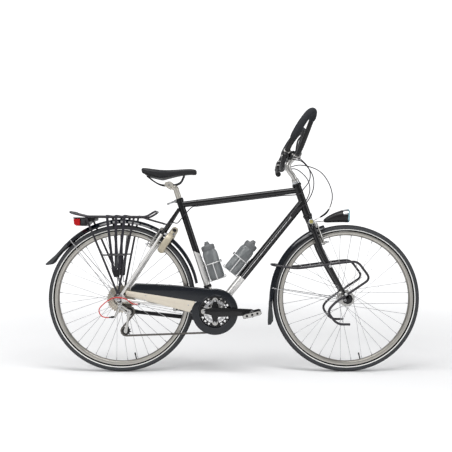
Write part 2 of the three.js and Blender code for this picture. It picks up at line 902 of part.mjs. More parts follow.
// The right crank carries the axle through the bottom bracket, and four arms that hold the rings.
function crankRight() {
  const tip = bracket.clone().add(vec(crankLength, 0, 0));
  const ringFace = -chainPlane - toothThickness / 2 - seatGap;
  const arm = plate(
    linkOutline(bracket, crankHubRadius, tip, crankTipRadius, 4),
    -crankPlane,
    -crankPlane - crankThickness,
  );
  const spider = Array.from({ length: spiderArms }, (_, i) => {
    const angle = (turn * i) / spiderArms;
    const reach = ringBoltCircle;
    const end = bracket.clone().add(vec(reach * Math.cos(angle), 0, reach * Math.sin(angle)));
    return plate(
      linkOutline(bracket, crankHubRadius, end, ringBoltRadius * 1.2, 2),
      ringFace,
      ringFace - spiderThickness,
    );
  });
  return join(
    arm,
    ...spider,
    across(bracket, ringFace - overrun, -crankPlane - overrun, crankHubRadius, 10),
    across(bracket, -crankPlane, crankPlane + crankThickness - overrun, crankAxleRadius, 8),
    across(tip, -crankPlane - crankThickness + overrun, -pedalSide(1), pedalSpindleRadius, 6),
  );
}

function crankLeft() {
  const tip = bracket.clone().add(vec(-crankLength, 0, 0));
  const arm = plate(
    linkOutline(bracket, crankHubRadius, tip, crankTipRadius, 4),
    crankPlane,
    crankPlane + crankThickness,
  );
  const boss = across(bracket, shellWidth / 2 + crankClear, crankPlane + overrun, crankHubRadius * 0.8, 10);
  const socket = across(bracket, 0, crankPlane + crankThickness + overrun, crankAxleRadius + seatGap, 8);
  const spindle = across(tip, crankPlane + crankThickness - overrun, pedalSide(1), pedalSpindleRadius, 6);
  return join(cut(join(arm, boss), socket), spindle);
}

const crankClear = 6 * runningGap;
const pedalStart = crankPlane + crankThickness + 4 * overrun;
const pedalSide = (share) => pedalStart + share * pedalWidth;

// A pedal: a barrel on the spindle, a toothed cage plate in front and behind, and a plate at each end.
function pedal(sign) {
  const centre = bracket.clone().add(vec(-sign * crankLength, 0, 0));
  const half = pedalLength / 2;
  const low = pedalHeight / 2;
  const endShares = [
    [-1, -0.5],
    [-0.8, -0.9],
    [0.8, -0.9],
    [1, -0.5],
    [1, 0.5],
    [0.8, 0.9],
    [-0.8, 0.9],
    [-1, 0.5],
  ];
  const endOutline = endShares.map(([x, z]) => vec2(centre.x + x * half, centre.z + z * low));
  const pieces = [
    plate(endOutline, sign * pedalSide(0), sign * (pedalSide(0) + pedalWall)),
    plate(endOutline, sign * (pedalSide(1) - pedalWall), sign * pedalSide(1)),
    across(centre, sign * pedalSide(0), sign * pedalSide(1), pedalBarrelRadius, 8),
  ];
  for (const way of [-1, 1]) {
    const from = vec(centre.x + way * half * 0.98, sign * pedalSide(0), centre.z - low * 0.5);
    const to = vec(centre.x + way * (half - pedalWall), sign * pedalSide(1), centre.z + low * 0.5);
    pieces.push(block(from, to));
  }
  const bore = across(
    centre,
    sign * (pedalSide(0) - overrun),
    sign * (pedalSide(1) + overrun),
    boreFor(pedalSpindleRadius, 6),
    6,
  );
  const body = cut(join(...pieces), bore);
  body.translate(-centre.x, 0, -centre.z);
  body.rotateY(-rad(pedalTilt));
  return body.translate(centre.x, 0, centre.z);
}

const plateHalf = cageSide + cageThickness;

function pulley(centre, wheel) {
  const disc = toothedDisc(centre, pulleyTeeth, toothPhase(wheel), -chainPlane, toothThickness, [], true);
  const hub = across(
    centre,
    -chainPlane - pulleyHubWidth / 2,
    -chainPlane + pulleyHubWidth / 2,
    pulleyHubRadius,
    6,
  );
  const hole = across(
    centre,
    -chainPlane - pulleyHubWidth,
    -chainPlane + pulleyHubWidth,
    boreFor(pulleyAxleRadius, 5),
    5,
  );
  return cut(join(disc, hub), hole);
}

// Two plates either side of the pulleys, held together by the pulleys' bolts. The upper bolt runs on into the
// derailleur's knuckle, on which the cage swings.
function derailleurCage() {
  const outline = linkOutline(guidePulley, cageEndRadius, tensionPulley, cageEndRadius, 3);
  const sides = [-1, 1].map((side) =>
    plate(outline, side * cageSide - chainPlane, side * plateHalf - chainPlane),
  );
  const far = -chainPlane - plateHalf - derailleurThickness / 2;
  return join(
    ...sides,
    across(guidePulley, far, -chainPlane + cageSide + cageThickness / 2, pulleyAxleRadius, 5),
    across(
      tensionPulley,
      -chainPlane - plateHalf - overrun,
      -chainPlane + plateHalf + overrun,
      pulleyAxleRadius,
      5,
    ),
  );
}

const hanger = rearAxle.clone().add(vec(hangerRadius / 2, 0, -hangerDrop));

// The derailleur's body: a knuckle on the hanger, two links of the parallelogram, and a knuckle at the cage.
function rearDerailleur() {
  const outside = dropoutSide + dropoutThickness + seatGap;
  const near = -(chainPlane + plateHalf + seatGap);
  const far = -outside - derailleurThickness;
  const outer = plate(
    linkOutline(hanger, derailleurRadius, guidePulley, derailleurRadius, 3),
    -outside,
    far,
  );
  const armEnd = hanger.clone().add(vec(-2.1 * derailleurRadius, 0, -3.4 * derailleurRadius));
  const middle = (-outside + far) / 2;
  const arm = plate(
    linkOutline(hanger, derailleurRadius * 0.8, armEnd, derailleurRadius * 0.5, 2),
    -outside,
    middle,
  );
  const knuckle = across(guidePulley, near, far, derailleurRadius * 1.15, 10);
  const bolt = across(hanger, -dropoutSide - overrun, far - overrun, hangerBoltRadius, 5);
  const socket = across(
    guidePulley,
    near + overrun,
    near - derailleurThickness / 2 - overrun,
    boreFor(pulleyAxleRadius, 5),
    5,
  );
  return cut(join(outer, arm, knuckle, bolt), socket);
}

// The front derailleur: a band round the seat tube, an arm, and the plate inside the chain.
function frontDerailleur() {
  const height = (guardRadius + 3 * overrun) / seatUp.z;
  const middle = onSeat(height);
  const bandRadius = seatTubeRadius + seatGap;
  const half = bandHeight / 2;
  const band = cut(
    rod(
      onSeat(height - half),
      onSeat(height + half),
      bandRadius + bandThickness,
      bandRadius + bandThickness,
      10,
    ),
    rod(
      onSeat(height - bandHeight),
      onSeat(height + bandHeight),
      bandRadius / Math.cos(Math.PI / 10),
      bandRadius / Math.cos(Math.PI / 10),
      10,
    ),
  );
  const inner = -chainPlane + chainOuterHalf + 2 * runningGap;
  const outer = -chainPlane + plateHalf + overrun;
  const high = pitchRadius(ringTeeth[0]) + 3 * overrun;
  const low = pitchRadius(ringTeeth[0]) - 6 * overrun;
  const arm = block(
    vec(middle.x - half, -bandRadius - overrun / 2, bracket.z + low),
    vec(middle.x + half, outer, middle.z + half / 2),
  );
  const angles = [128, 114, 100, 86, 72].map(rad);
  const arc = (radius, list) => list.map(
    (a) => vec2(bracket.x + radius * Math.cos(a), bracket.z + radius * Math.sin(a)),
  );
  const plateOutline = [...arc(high + overrun, angles), ...arc(low, [...angles].reverse())];
  return join(band, arm, plate(plateOutline, inner, outer + overrun));
}

// The chain guard: a ring over the big chainring and a cover over the chain's upper run, with a rim turned in
// towards the chain along its upper edge.
const guardTailShares = [[-0.83, 0.296], [-0.886, 0.24], [-0.872, 0.21], [-0.19, 0.103]];
const guardTabShare = 0.14;

function chainGuard() {
  const crest = [];
  for (let angle = 100; angle >= -200; angle -= 25) {
    crest.push(
      vec2(bracket.x + guardRadius * Math.cos(rad(angle)), bracket.z + guardRadius * Math.sin(rad(angle))),
    );
  }
  const tail = spreadFlat(bracket, chainstayLength, guardTailShares);
  const open = discOutline(bracket, guardOpening, 18);
  const face = plate([...crest, ...tail.slice().reverse()], -guardPlane, -guardPlane - guardWall, [open]);
  const edge = [tail[1], tail[0], ...crest.slice(0, 6)];
  const boss = guardBoss();
  const tabTop = vec(boss.x, 0, bracket.z + guardTabShare * chainstayLength);
  return join(
    face,
    plate(band(edge, guardWall), -guardPlane - guardWall / 2, -guardPlane + guardDepth),
    plate(
      linkOutline(tabTop, bossRadius * 2, boss, bossRadius * 1.6, 2),
      -guardPlane,
      -guardPlane - guardWall,
    ),
  );
}

// The pale plate below the cover, alongside the chain stay.
const sidePlateShares = [[-0.912, 0.222], [-0.24, 0.113], [-0.248, 0.012], [-0.905, 0.176]];

function chainGuardPlate() {
  const near = -guardPlane - guardWall - seatGap;
  return plate(spreadFlat(bracket, chainstayLength, sidePlateShares), near, near - sidePlateThickness);
}

// The frame: tubes, head cups, dropouts, bridges, the seat collar and the kickstand's plate, joined and then bored.
function frame() {
  const seatTop = onSeat(seatTubeLength);
  const pieces = [
    across(bracket, -shellWidth / 2, shellWidth / 2, shellRadius, 10),
    rod(bracket, seatTop, seatTubeRadius, seatTubeRadius, 8),
    rod(onSeat(seatTubeLength - seatCollarHeight), seatTop, seatCollarRadius, seatCollarRadius, 8),
    rod(bracket, downTubeTop, downTubeRadius, downTubeRadius, 8),
    rod(
      onSeat(seatTubeLength - topTubeDrop),
      onSteer(headTubeTop - topTubeInset),
      topTubeRadius,
      topTubeRadius,
      8,
    ),
    rod(onSteer(headTubeFoot), onSteer(headTubeTop), headTubeRadius, headTubeRadius, 10),
    rod(
      onSteer(headTubeFoot - headCupHeight),
      onSteer(headTubeFoot + overrun),
      headCupRadius,
      headTubeRadius + overrun,
      10,
    ),
    rod(
      onSteer(headTubeTop - overrun),
      onSteer(headTubeTop + headCupHeight),
      headTubeRadius + overrun,
      headCupRadius,
      10,
    ),
  ];
  const collarLug = onSeat(seatTubeLength - seatCollarHeight / 2, -seatCollarRadius);
  pieces.push(across(collarLug, -seatCollarRadius / 2, seatCollarRadius / 2, seatCollarHeight / 3, 6));
  for (const side of [-1, 1]) {
    const stayTop = seatStayTop.clone().add(vec(0, side * seatTubeRadius * 0.7, 0));
    const stayFoot = rearAxle.clone().add(
      vec(dropoutRadius * 0.7, side * dropoutMiddle, dropoutRadius * 1.6),
    );
    const shoulder = stayTop.clone().lerp(stayFoot, seatStayShoulderShare);
    shoulder.y = side * seatStaySpread;
    pieces.push(tube(bent([stayTop, shoulder, stayFoot], seatStaySpread, 1), seatStayRadius, 6));
    const lowFoot = chainStayFoot(side);
    const lowTop = chainStayTop(side);
    const waist = lowTop.clone().lerp(lowFoot, chainStayWaistShare);
    waist.y = side * chainStaySpread;
    pieces.push(tube(bent([lowTop, waist, lowFoot], chainStaySpread, 1), chainStayRadius, 6));
    const inside = side * dropoutSide;
    const outside = side * (dropoutSide + dropoutThickness);
    pieces.push(plate(linkOutline(rearAxle, dropoutRadius, stayFoot, seatStayRadius), inside, outside));
    pieces.push(plate(linkOutline(rearAxle, dropoutRadius, lowFoot, chainStayRadius), inside, outside));
  }
  pieces.push(
    plate(
      linkOutline(rearAxle, dropoutRadius, hanger, hangerRadius),
      -dropoutSide,
      -dropoutSide - dropoutThickness,
    ),
  );
  const bridgeAt = seatStayTop.clone().lerp(rearAxle, brakeBridgeShare);
  pieces.push(across(bridgeAt, -seatStaySpread, seatStaySpread, bossRadius * 1.4, 6));
  const boss = brakeBoss(rearBrake);
  pieces.push(boss, mirrored(boss), across(guardBoss(), guardBoss().y, -guardPlane + seatGap, bossRadius));
  const mount = bracket.clone().lerp(rearAxle, standMountShare);
  pieces.push(
    block(
      vec(mount.x - standPinRadius * 2, -chainStaySpread, mount.z - chainStayRadius * 0.7),
      vec(mount.x + standPinRadius * 2, chainStaySpread, mount.z + chainStayRadius * 0.7),
    ),
    plate(
      linkOutline(mount, standPinRadius * 2, standPivot(), standPinRadius * 1.6),
      standSide - standPlateThickness,
      standSide,
    ),
    rod(standPivotEnd(-1.4), standPivotEnd(1), standPinRadius, standPinRadius, 10),
  );
  const steererBore = boreFor(steererRadius, 10);
  const bores = [
    rod(
      onSteer(headTubeFoot - headCupHeight * 2),
      onSteer(headTubeTop + headCupHeight * 2),
      steererBore,
      steererBore,
      10,
    ),
    rod(
      onSeat(seatTubeLength - seatTubeBoreDepth),
      onSeat(seatTubeLength + overrun),
      seatPostBore,
      seatPostBore,
      8,
    ),
    across(bracket, -shellWidth, shellWidth, boreFor(crankAxleRadius, 8), 8),
    across(rearAxle, -rearHubWidth, rearHubWidth, boreFor(axleRadius, 6), 6),
    across(hanger, -rearHubWidth, 0, hangerBoltRadius + 2 * seatGap, 5),
  ];
  return cut(join(...pieces), ...bores);
}

const seatStayShoulderShare = 0.16;
const chainStayWaistShare = 0.22;
const brakeBridgeShare = 0.16;
const guardBossShare = 0.45;
const chainStayFoot = (side) =>
  rearAxle.clone().add(vec(dropoutRadius * 1.8, side * dropoutMiddle, -dropoutRadius * 0.15));
const chainStayTop = (side) =>
  bracket.clone().add(vec(-shellRadius * 0.6, side * (shellWidth / 2 - chainStayRadius), 0));

// Where the chain guard is bolted, on the right chain stay's middle line.
function guardBoss() {
  const p = chainStayTop(-1).lerp(chainStayFoot(-1), guardBossShare);
  const behindWaist = (guardBossShare - chainStayWaistShare) / (1 - chainStayWaistShare);
  p.y = -THREE.MathUtils.lerp(chainStaySpread, dropoutMiddle, behindWaist);
  return p;
}

// Kickstand: a pin beside the left chain stay, tilted so that the leg swings down and outward.
const standAxis = vec(-0.2, 0.97, 0.125).normalize();
const standPivotShares = [-0.21, -0.105];
const standMountShare = 0.15;
const standRestAngle = 6;
const standSplayShare = 0.02;
const standPivot = () =>
  vec(
    bracket.x + standPivotShares[0] * chainstayLength,
    standSide + standPinLength / 2,
    bracket.z + standPivotShares[1] * chainstayLength,
  );
const standPivotEnd = (way) => standPivot().addScaledVector(standAxis, (way * standPinLength) / 2);

function kickstandLeg() {
  const sides = 10;
  const from = standPivotEnd(-1).addScaledVector(standAxis, standPinLength * 0.45);
  const to = standPivotEnd(1).addScaledVector(standAxis, overrun);
  const eyeRadius = standPinRadius + standRadius * 0.7;
  const eye = rod(from, to, eyeRadius, eyeRadius, sides);
  const bore = rod(
    standPivotEnd(-2),
    standPivotEnd(2),
    boreFor(standPinRadius, sides),
    boreFor(standPinRadius, sides),
    sides,
  );
  const middle = from.clone().lerp(to, 1 / 2);
  const heading = vec(
    -Math.cos(rad(standRestAngle)),
    standSplayShare,
    Math.sin(rad(standRestAngle)),
  ).normalize();
  const start = middle.clone().addScaledVector(heading, eyeRadius * 0.9);
  const end = middle.clone().addScaledVector(heading, standLength);
  const foot = end.clone().addScaledVector(heading, -standFootRadius * 2);
  return join(
    cut(eye, bore),
    rod(start, end, standRadius * 1.2, standRadius, 8),
    rod(foot, end.clone().addScaledVector(heading, overrun), standRadius, standFootRadius, 8),
  );
}

// Seat post: a tube with a clamp head that holds the saddle's rails.
const seatPostTop = () => onSeat(seatTubeLength + seatPostShow, -seatPostSetback);

function seatPost() {
  const foot = onSeat(seatTubeLength - seatPostInsert + overrun);
  const head = seatPostTop();
  const neck = onSeat(seatTubeLength + seatPostShow / 2);
  const bend = [
    onSeat(seatTubeLength + seatPostShow / 2 - overrun),
    onSeat(seatTubeLength + seatPostShow * 0.7),
    head,
  ];
  const rails = [-1, 1].map((side) => tube(railPath(side), railRadius + seatGap, 5));
  return cut(
    join(
      rod(foot, neck, seatPostRadius, seatPostRadius, 8),
      loft(ringsAlong(bend, bend.map(() => seatPostRadius * 0.94), 8, vec(0, 1, 0))),
      across(head, -seatPostHeadWidth, seatPostHeadWidth, seatPostHeadRadius, 10),
    ),
    ...rails,
  );
}

// The rails run through the clamp head, up to the saddle's nose in front and to its back behind.
const railShares = [
  [-0.4, 0.045], [-0.28, -0.045], [-0.17, -0.1], [-0.04, -0.115], [0.1, -0.105], [0.2, -0.06], [0.27, 0.067],
];

function railPath(side) {
  const middle = seatPostTop();
  const origin = vec(middle.x, 0, middle.z + 0.11 * saddleLength);
  const corners = railShares.map(([x, z], i) => {
    const narrow = i < railShares.length - 2 ? 1 : 0.7;
    const wide = i === 0 ? 1.5 : narrow;
    return vec(origin.x + x * saddleLength, side * railSpread * wide, origin.z + z * saddleLength);
  });
  return corners;
}

function saddleRails() {
  const [right, left] = [-1, 1].map((side) => tube(railPath(side), railRadius, 5));
  const nose = railPath(1).at(-1);
  const tail = railPath(1)[0];
  return join(
    right,
    left,
    across(nose, -nose.y - overrun, nose.y + overrun, railRadius, 5),
    across(tail, -tail.y - overrun, tail.y + overrun, railRadius, 5),
  );
}

// The saddle: sections across it from its tail to its nose, each with a crown, drawn-in sides and a shallow
// channel along the middle.
const saddleSectionShares = [
  [0, 0.30, 0.02, 0.45],
  [0.03, 0.42, 0.06, 0.75],
  [0.1, 0.49, 0.02, 1],
  [0.22, 0.5, -0.1, 1.1],
  [0.34, 0.42, -0.18, 1.22],
  [0.46, 0.29, -0.18, 1.08],
  [0.6, 0.19, -0.12, 0.92],
  [0.75, 0.145, -0.04, 0.8],
  [0.88, 0.13, 0, 0.75],
  [0.97, 0.1, -0.08, 0.7],
  [1, 0.05, -0.3, 0.3],
];
const saddleOutlineShares = [
  [0, -0.06, 0], [0.3, 0, 0], [0.6, -0.02, 0], [0.85, -0.14, 0], [1, -0.38, 0], [0.97, -0.7, 0], [0.88, -1, 0],
];

function saddle() {
  const tailX = seatPostTop().x + saddleTailShare * saddleLength;
  const rings = saddleSectionShares.map(([along, half, rise, depth]) => {
    const x = tailX + along * saddleLength;
    const top = saddleHeight + rise * saddleThickness;
    const right = saddleOutlineShares.map(([y, z]) =>
      vec(x, -y * half * saddleWidth, top + z * depth * saddleThickness),
    );
    const left = right.slice(1).reverse().map((p) => vec(p.x, -p.y, p.z));
    return [...right, ...left];
  });
  return loft(rings);
}

const saddleTailShare = -0.5;

// Bottles in wire cages. Each cage has a spine along its tube, a hoop round the bottle and a stirrup below it.
const hoopSides = 12;
const hoopReach = (bottleRadius + seatGap + cageWireRadius) / Math.cos(Math.PI / hoopSides);

function bottlePlace(onTube, tubeRadius, height) {
  const out = tubeRadius + seatGap + hoopReach + cageWireRadius;
  return (along, ahead = 0, side = 0) => onTube(height + along * bottleLength, out + ahead, side);
}

const bottleProfileShares = [
  [0, 0.9],
  [0.04, 0.98],
  [0.66, 0.98],
  [0.77, 0.8],
  [0.9, 0.8],
  [0.93, 0.34],
  [1, 0.3],
];

function bottle(place) {
  const sides = 12;
  const rings = bottleProfileShares.map(([along, share]) => {
    return circle(share * bottleRadius, sides).map((c) => place(along, c.x, c.y));
  });
  return loft(rings);
}

function bottleCage(place, tubeUp) {
  const reach = hoopReach;
  const hoopAt = 0.42;
  const low = (-cageWireRadius - seatGap) / bottleLength;
  const hoop = circle(reach, hoopSides).map((c) => place(hoopAt, c.x, c.y));
  const rings = hoop.map((p, i) => {
    const out = p.clone().sub(place(hoopAt)).normalize();
    return circle(cageWireRadius, 4).map(
      (c) => p.clone().addScaledVector(out, c.x).addScaledVector(tubeUp, c.y),
    );
  });
  const wire = (points) => tube(points, cageWireRadius, 4);
  const stirrup = [
    place(hoopAt, 0, reach),
    place(low, 0, reach),
    place(low, 0, -reach),
    place(hoopAt, 0, -reach),
  ];
  return join(
    loft(rings, true),
    wire(stirrup),
    wire([place(hoopAt + 0.1, -reach), place(low, -reach), place(low, reach), place(low + 0.06, reach)]),
  );
}

// Mudguards: an arched strip round the tyre, with wire stays to the axle's ends, and a flap that flares out.
function mudguard(centre, radius, from, to, flapFrom) {
  const steps = 14;
  const angles = Array.from({ length: steps + 1 }, (_, i) => from + ((to - from) * i) / steps);
  const rings = angles.map((degrees) => {
    const flap = Math.max(0, (degrees - flapFrom) / (to - flapFrom));
    const arch = mudguardArch * (1 + flap);
    const out = radius + mudflapFlare * flap ** 1.5;
    const at = (y, inset) => {
      const r = out - inset - arch * (2 * Math.abs(y)) ** 2;
      return vec(
        centre.x + r * Math.cos(rad(degrees)),
        y * (mudguardWidth - 2 * inset),
        centre.z + r * Math.sin(rad(degrees)),
      );
    };
    const across = [-0.5, -0.2, 0.2, 0.5];
    return [...across.map((y) => at(y, 0)), ...across.slice().reverse().map((y) => at(y, mudguardWall))];
  });
  return loft(rings);
}

function mudguardStay(centre, radius, degrees, foot) {
  const at = vec(
    centre.x + (radius - mudguardArch) * Math.cos(rad(degrees)),
    0,
    centre.z + (radius - mudguardArch) * Math.sin(rad(degrees)),
  );
  return [-1, 1].map((side) => {
    const top = at.clone().add(vec(0, side * (mudguardWidth / 2 - mudguardWall / 2), 0));
    const end = vec(foot.x, side * foot.y, foot.z);
    return rod(top, end, mudguardStayRadius, mudguardStayRadius, 4);
  });
}

// The fork: two tapered blades that bend forward to the axle and curve in to the crown, the steerer, and the nut
// that holds the headset. The steerer is bored for the stem.
const bladeHeightShares = [1, 0.97, 0.9, 0.66, 0.42, 0.2, 0.04];
const bladeSideShares = [0.1, 0.6, 0.96, 1.02, 1.08, 1.18, 1.27];
const bladeRadiusShares = [1, 1, 1, 1, 0.92, 0.72, 0.5];
const bladeBendShare = 0.66;
const bladeBendPower = 1.25;

function bladePoint(heightShare, sideShare) {
  const bend = Math.max(0, 1 - heightShare / bladeBendShare) ** bladeBendPower;
  return onSteer(heightShare * forkCrownHeight, bend * forkRake, sideShare * forkBladeSpread);
}

function fork() {
  const points = bladeHeightShares.map((share, i) => bladePoint(share, bladeSideShares[i]));
  const radii = bladeRadiusShares.map((share) => share * forkBladeRadius);
  const inside = frontHubWidth / 2;
  const end = plate(
    linkOutline(frontAxle, forkEndRadius, bladePoint(0.08, 1), forkTipRadius),
    inside,
    inside + forkEndThickness,
  );
  const blade = join(loft(ringsAlong(points, radii, 8, steerFore)), end, brakeBoss(frontBrake));
  const top = headTubeTop + headCupHeight + seatGap;
  const steererTop = top + axleNutHeight;
  const race = onSteer(headTubeFoot - headCupHeight - seatGap);
  const body = join(
    blade,
    mirrored(blade),
    rod(onSteer(forkCrownHeight - forkBladeRadius), onSteer(steererTop), steererRadius, steererRadius, 10),
    rod(onSteer(forkCrownHeight - forkBladeRadius), race, steererRadius, crownRaceRadius, 10),
    rod(onSteer(top), onSteer(steererTop), headCupRadius * 0.9, headCupRadius * 0.9, 6),
  );
  const bore = rod(
    onSteer(steererTop - quillInsert - overrun),
    onSteer(steererTop + overrun),
    quillBore,
    quillBore,
    8,
  );
  return cut(body, bore, across(frontAxle, -frontHubWidth, frontHubWidth, boreFor(axleRadius, 6), 6));
}

// The stem: a quill in the steerer, a swan neck, and a clamp round the handlebar.
const neckShares = [[0.04, 0], [0.22, -0.04], [0.5, -0.22], [0.72, -0.14], [0.86, 0.3], [1, 1]];
const barCentre = () => onSteer(headTubeTop + stemRise, stemForward);

function stem() {
  const base = headTubeTop + headCupHeight + axleNutHeight + 2 * seatGap;
  const rise = stemRise - headCupHeight - axleNutHeight;
  const centre = barCentre();
  const neckPath = smooth(neckShares.map(([up, fore]) => onSteer(base + up * rise, fore * stemForward)), 7);
  const radii = neckPath.map((p, i) => stemRadius * (i < 3 ? 1.05 : 1));
  const clamp = across(centre, -stemClampWidth / 2, stemClampWidth / 2, stemClampRadius, 10);
  const bolt = onSteer(base + rise * 0.92, stemForward * 0.55);
  const body = join(
    rod(onSteer(base - quillInsert), onSteer(base + 0.1 * rise), quillRadius, quillRadius, 8),
    loft(ringsAlong(neckPath, radii, 8, vec(0, 1, 0))),
    clamp,
    across(bolt, -stemClampWidth / 2, stemClampWidth / 2, leverPinRadius * 1.6, 5),
  );
  const bore = loft(
    ringsAlong(
      [-1, 0, 1].map((y) => centre.clone().add(vec(0, y * stemClampWidth, 0))),
      [1, 1, 1].map(() => barRadius + seatGap),
      barSides,
      barNormal,
    ),
  );
  return cut(body, bore);
}

// The butterfly handlebar: from the clamp out and forward, round the outer loops, and back to the rider's side.
const barSides = 6;
const barAlong = vec(Math.cos(rad(barTilt)), 0, Math.sin(rad(barTilt)));
const barNormal = vec(-barAlong.z, 0, barAlong.x);
const barShares = [
  [0, 0, 0.16], [0.1, 0.02, 0.25], [0.25, 0.1, 0.36], [0.42, 0.22, 0.5], [0.54, 0.34, 0.68], [0.575, 0.52, 0.84],
  [0.5, 0.74, 0.95], [0.35, 0.9, 1], [0.15, 1, 0.99], [-0.05, 1.02, 0.93], [-0.2, 1, 0.82], [-0.32, 0.9, 0.68],
  [-0.39, 0.78, 0.52], [-0.41, 0.7, 0.4],
];
const barSteps = 18;

// The handlebar's line on the right side, from the clamp to its end.
function barHalf() {
  const centre = barCentre();
  const points = barShares.map(([a, b, y]) =>
    centre.clone().addScaledVector(barAlong, a * barDepth).addScaledVector(barNormal, b * barStep).add(
      vec(0, -y * barHalfWidth, 0),
    ),
  );
  return smooth(points, barSteps);
}

const flip = (p) => vec(p.x, -p.y, p.z);

function handlebar() {
  const half = barHalf();
  const path = [...half.slice().reverse().map(flip), ...half];
  return loft(ringsAlong(path, path.map(() => barRadius), barSides, barNormal));
}

// A sleeve round a stretch of the handlebar's right side.
function sleeve(from, to, radius) {
  const half = barHalf();
  const stretch = half.slice(from, to + 1);
  const ringsOf = (r) => ringsAlong(half, half.map(() => r), barSides, barNormal).slice(from, to + 1);
  const outer = ringsOf(radius);
  const inner = ringsOf(barRadius + seatGap);
  const profiles = Array.from({ length: barSides }, (_, j) => [
    ...outer.map((ring) => ring[j]),
    ...inner.slice().reverse().map((ring) => ring[j]),
  ]);
  return loft(profiles, true);
}

const gripFrom = 5;
const gripTo = 12;
const controlFrom = 13;
const controlTo = 15;
const grip = () => sleeve(gripFrom, gripTo, gripRadius);

// The directions at a control: along the handlebar towards its outer loop, and out towards the front.
function controlFrame() {
  const half = barHalf();
  const centre = half[controlFrom].clone().lerp(half[controlTo], 1 / 2);
  const along = half[controlFrom].clone().sub(half[controlTo]).normalize();
  const out = barNormal.clone().negate();
  return { centre, along, out, up: along.clone().cross(out).normalize() };
}

const pivotAlong = 1.1 * (controlWidth / 2);
const pivotOut = 0.8 * leverReach;

// The brake and shifter body: a clamp sleeve, a housing on its front, and a pin for the lever.
function control() {
  const { centre, along, out, up } = controlFrame();
  const at = (a, o, u) => centre.clone().addScaledVector(along, a).addScaledVector(out, o).addScaledVector(up, u);
  const half = controlWidth / 2;
  const housing = rod(
    at(-half, leverReach * 0.62, 0),
    at(half * 0.3, leverReach * 0.62, 0),
    controlRadius * 0.8,
    controlRadius * 0.9,
    6,
  );
  const shifterPod = rod(
    at(-half * 0.9, 0, -controlRadius * 1.3),
    at(half * 0.9, 0, -controlRadius * 1.3),
    controlRadius * 0.85,
    controlRadius * 0.75,
    6,
  );
  const lugs = [-1, 1].map((way) =>
    rod(
      at(0, pivotOut, way * leverRadius * 1.5),
      at(pivotAlong + leverPinRadius * 1.6, pivotOut, way * leverRadius * 1.5),
      leverPinRadius * 1.4,
      leverPinRadius * 1.4,
      4,
    ),
  );
  const pin = rod(
    at(pivotAlong, pivotOut, -leverRadius * 1.6),
    at(pivotAlong, pivotOut, leverRadius * 1.6),
    leverPinRadius,
    leverPinRadius,
    5,
  );
  const shifterPin = rod(
    at(0, controlRadius * 0.4, -controlRadius * 1.3),
    at(0, controlRadius * 1.4, -controlRadius * 1.3),
    leverPinRadius,
    leverPinRadius,
    5,
  );
  const half2 = barHalf();
  const bore = loft(ringsAlong(half2, half2.map(() => barRadius + seatGap), barSides, barNormal));
  return cut(
    join(sleeve(controlFrom, controlTo, controlRadius), housing, shifterPod, ...lugs, pin, shifterPin),
    bore,
  );
}

function brakeLever() {
  const { centre, along, out, up } = controlFrame();
  const at = (a, o, u) => centre.clone().addScaledVector(
    along,
    pivotAlong + a,
  ).addScaledVector(out, pivotOut + o).addScaledVector(up, u);
  const eyeHalf = leverRadius * 1.1;
  const path = [
    at(0, leverRadius * 0.9, 0),
    at(leverLength * 0.2, leverRadius * 1.6, 0),
    at(leverLength * 0.6, 0, 0),
    at(leverLength, leverRadius * 1.2, 0),
  ];
  const eye = rod(
    at(0, 0, -eyeHalf * 0.4),
    at(0, 0, eyeHalf * 0.4),
    leverRadius * 1.2,
    leverRadius * 1.2,
    8,
  );
  const blade = loft(
    ringsAlong(smooth(path, 5), [1, 1, 1, 1, 1, 1.2].map((s) => s * leverRadius * 0.8), 5, up),
  );
  const bore = rod(
    at(0, 0, -leverRadius * 3),
    at(0, 0, leverRadius * 3),
    boreFor(leverPinRadius, 5),
    boreFor(leverPinRadius, 5),
    5,
  );
  return cut(join(eye, blade), bore);
}

function shifterLever() {
  const { centre, along, out, up } = controlFrame();
  const at = (a, o, u) => centre.clone().addScaledVector(along, a).addScaledVector(
    out,
    controlRadius + o,
  ).addScaledVector(
    up,
    u - controlRadius * 1.3,
  );
  const eye = rod(at(0, 0, 0), at(0, shifterRadius * 1.2, 0), shifterRadius * 1.6, shifterRadius * 1.6, 6);
  const arm = rod(
    at(0, shifterRadius * 0.6, -shifterRadius),
    at(shifterRadius, shifterRadius * 0.8, -shifterLength),
    shifterRadius * 0.6,
    shifterRadius,
    5,
  );
  const bore = rod(
    at(0, -shifterLength, 0),
    at(0, shifterLength, 0),
    boreFor(leverPinRadius, 5),
    boreFor(leverPinRadius, 5),
    5,
  );
  return cut(join(eye, arm), bore);
}

// Rim brakes. Each brake is described by its pivots' place, the direction of its arms and the way its bosses stick
// out; both of its arms are alike, mirrored.
const brakeTrack = rimRadius - rimDepth / 2;
const pivotDrop = brakePostHeight * 0.42;
const stayUp = seatStayTop.clone().sub(
  rearAxle.clone().add(vec(dropoutRadius * 0.7, 0, dropoutRadius * 1.6)),
).setY(0).normalize();
const stayBack = vec(-stayUp.z, 0, stayUp.x);
const frontBrake = {
  up: steerUp,
  out: steerFore,
  base: onSteer(brakeTrack - pivotDrop),
  reach: brakePostHeight / 2,
};
const rearBrake = {
  up: stayUp,
  out: stayBack,
  base: seatStayTop.clone().addScaledVector(
    stayUp,
    -(seatStayTop.distanceTo(rearAxle) - brakeTrack + pivotDrop),
  ),
  reach: brakePostHeight * 0.4,
};

const brakePoint = (brake, up, out, side) =>
  brake.base.clone().addScaledVector(brake.up, up).addScaledVector(brake.out, out).add(vec(0, side, 0));

const brakeBoss = (brake) =>
  rod(
    brakePoint(brake, 0, 0, brakeArmSpread),
    brakePoint(brake, 0, brake.reach, brakeArmSpread),
    brakePinRadius,
    brakePinRadius,
    6,
  );

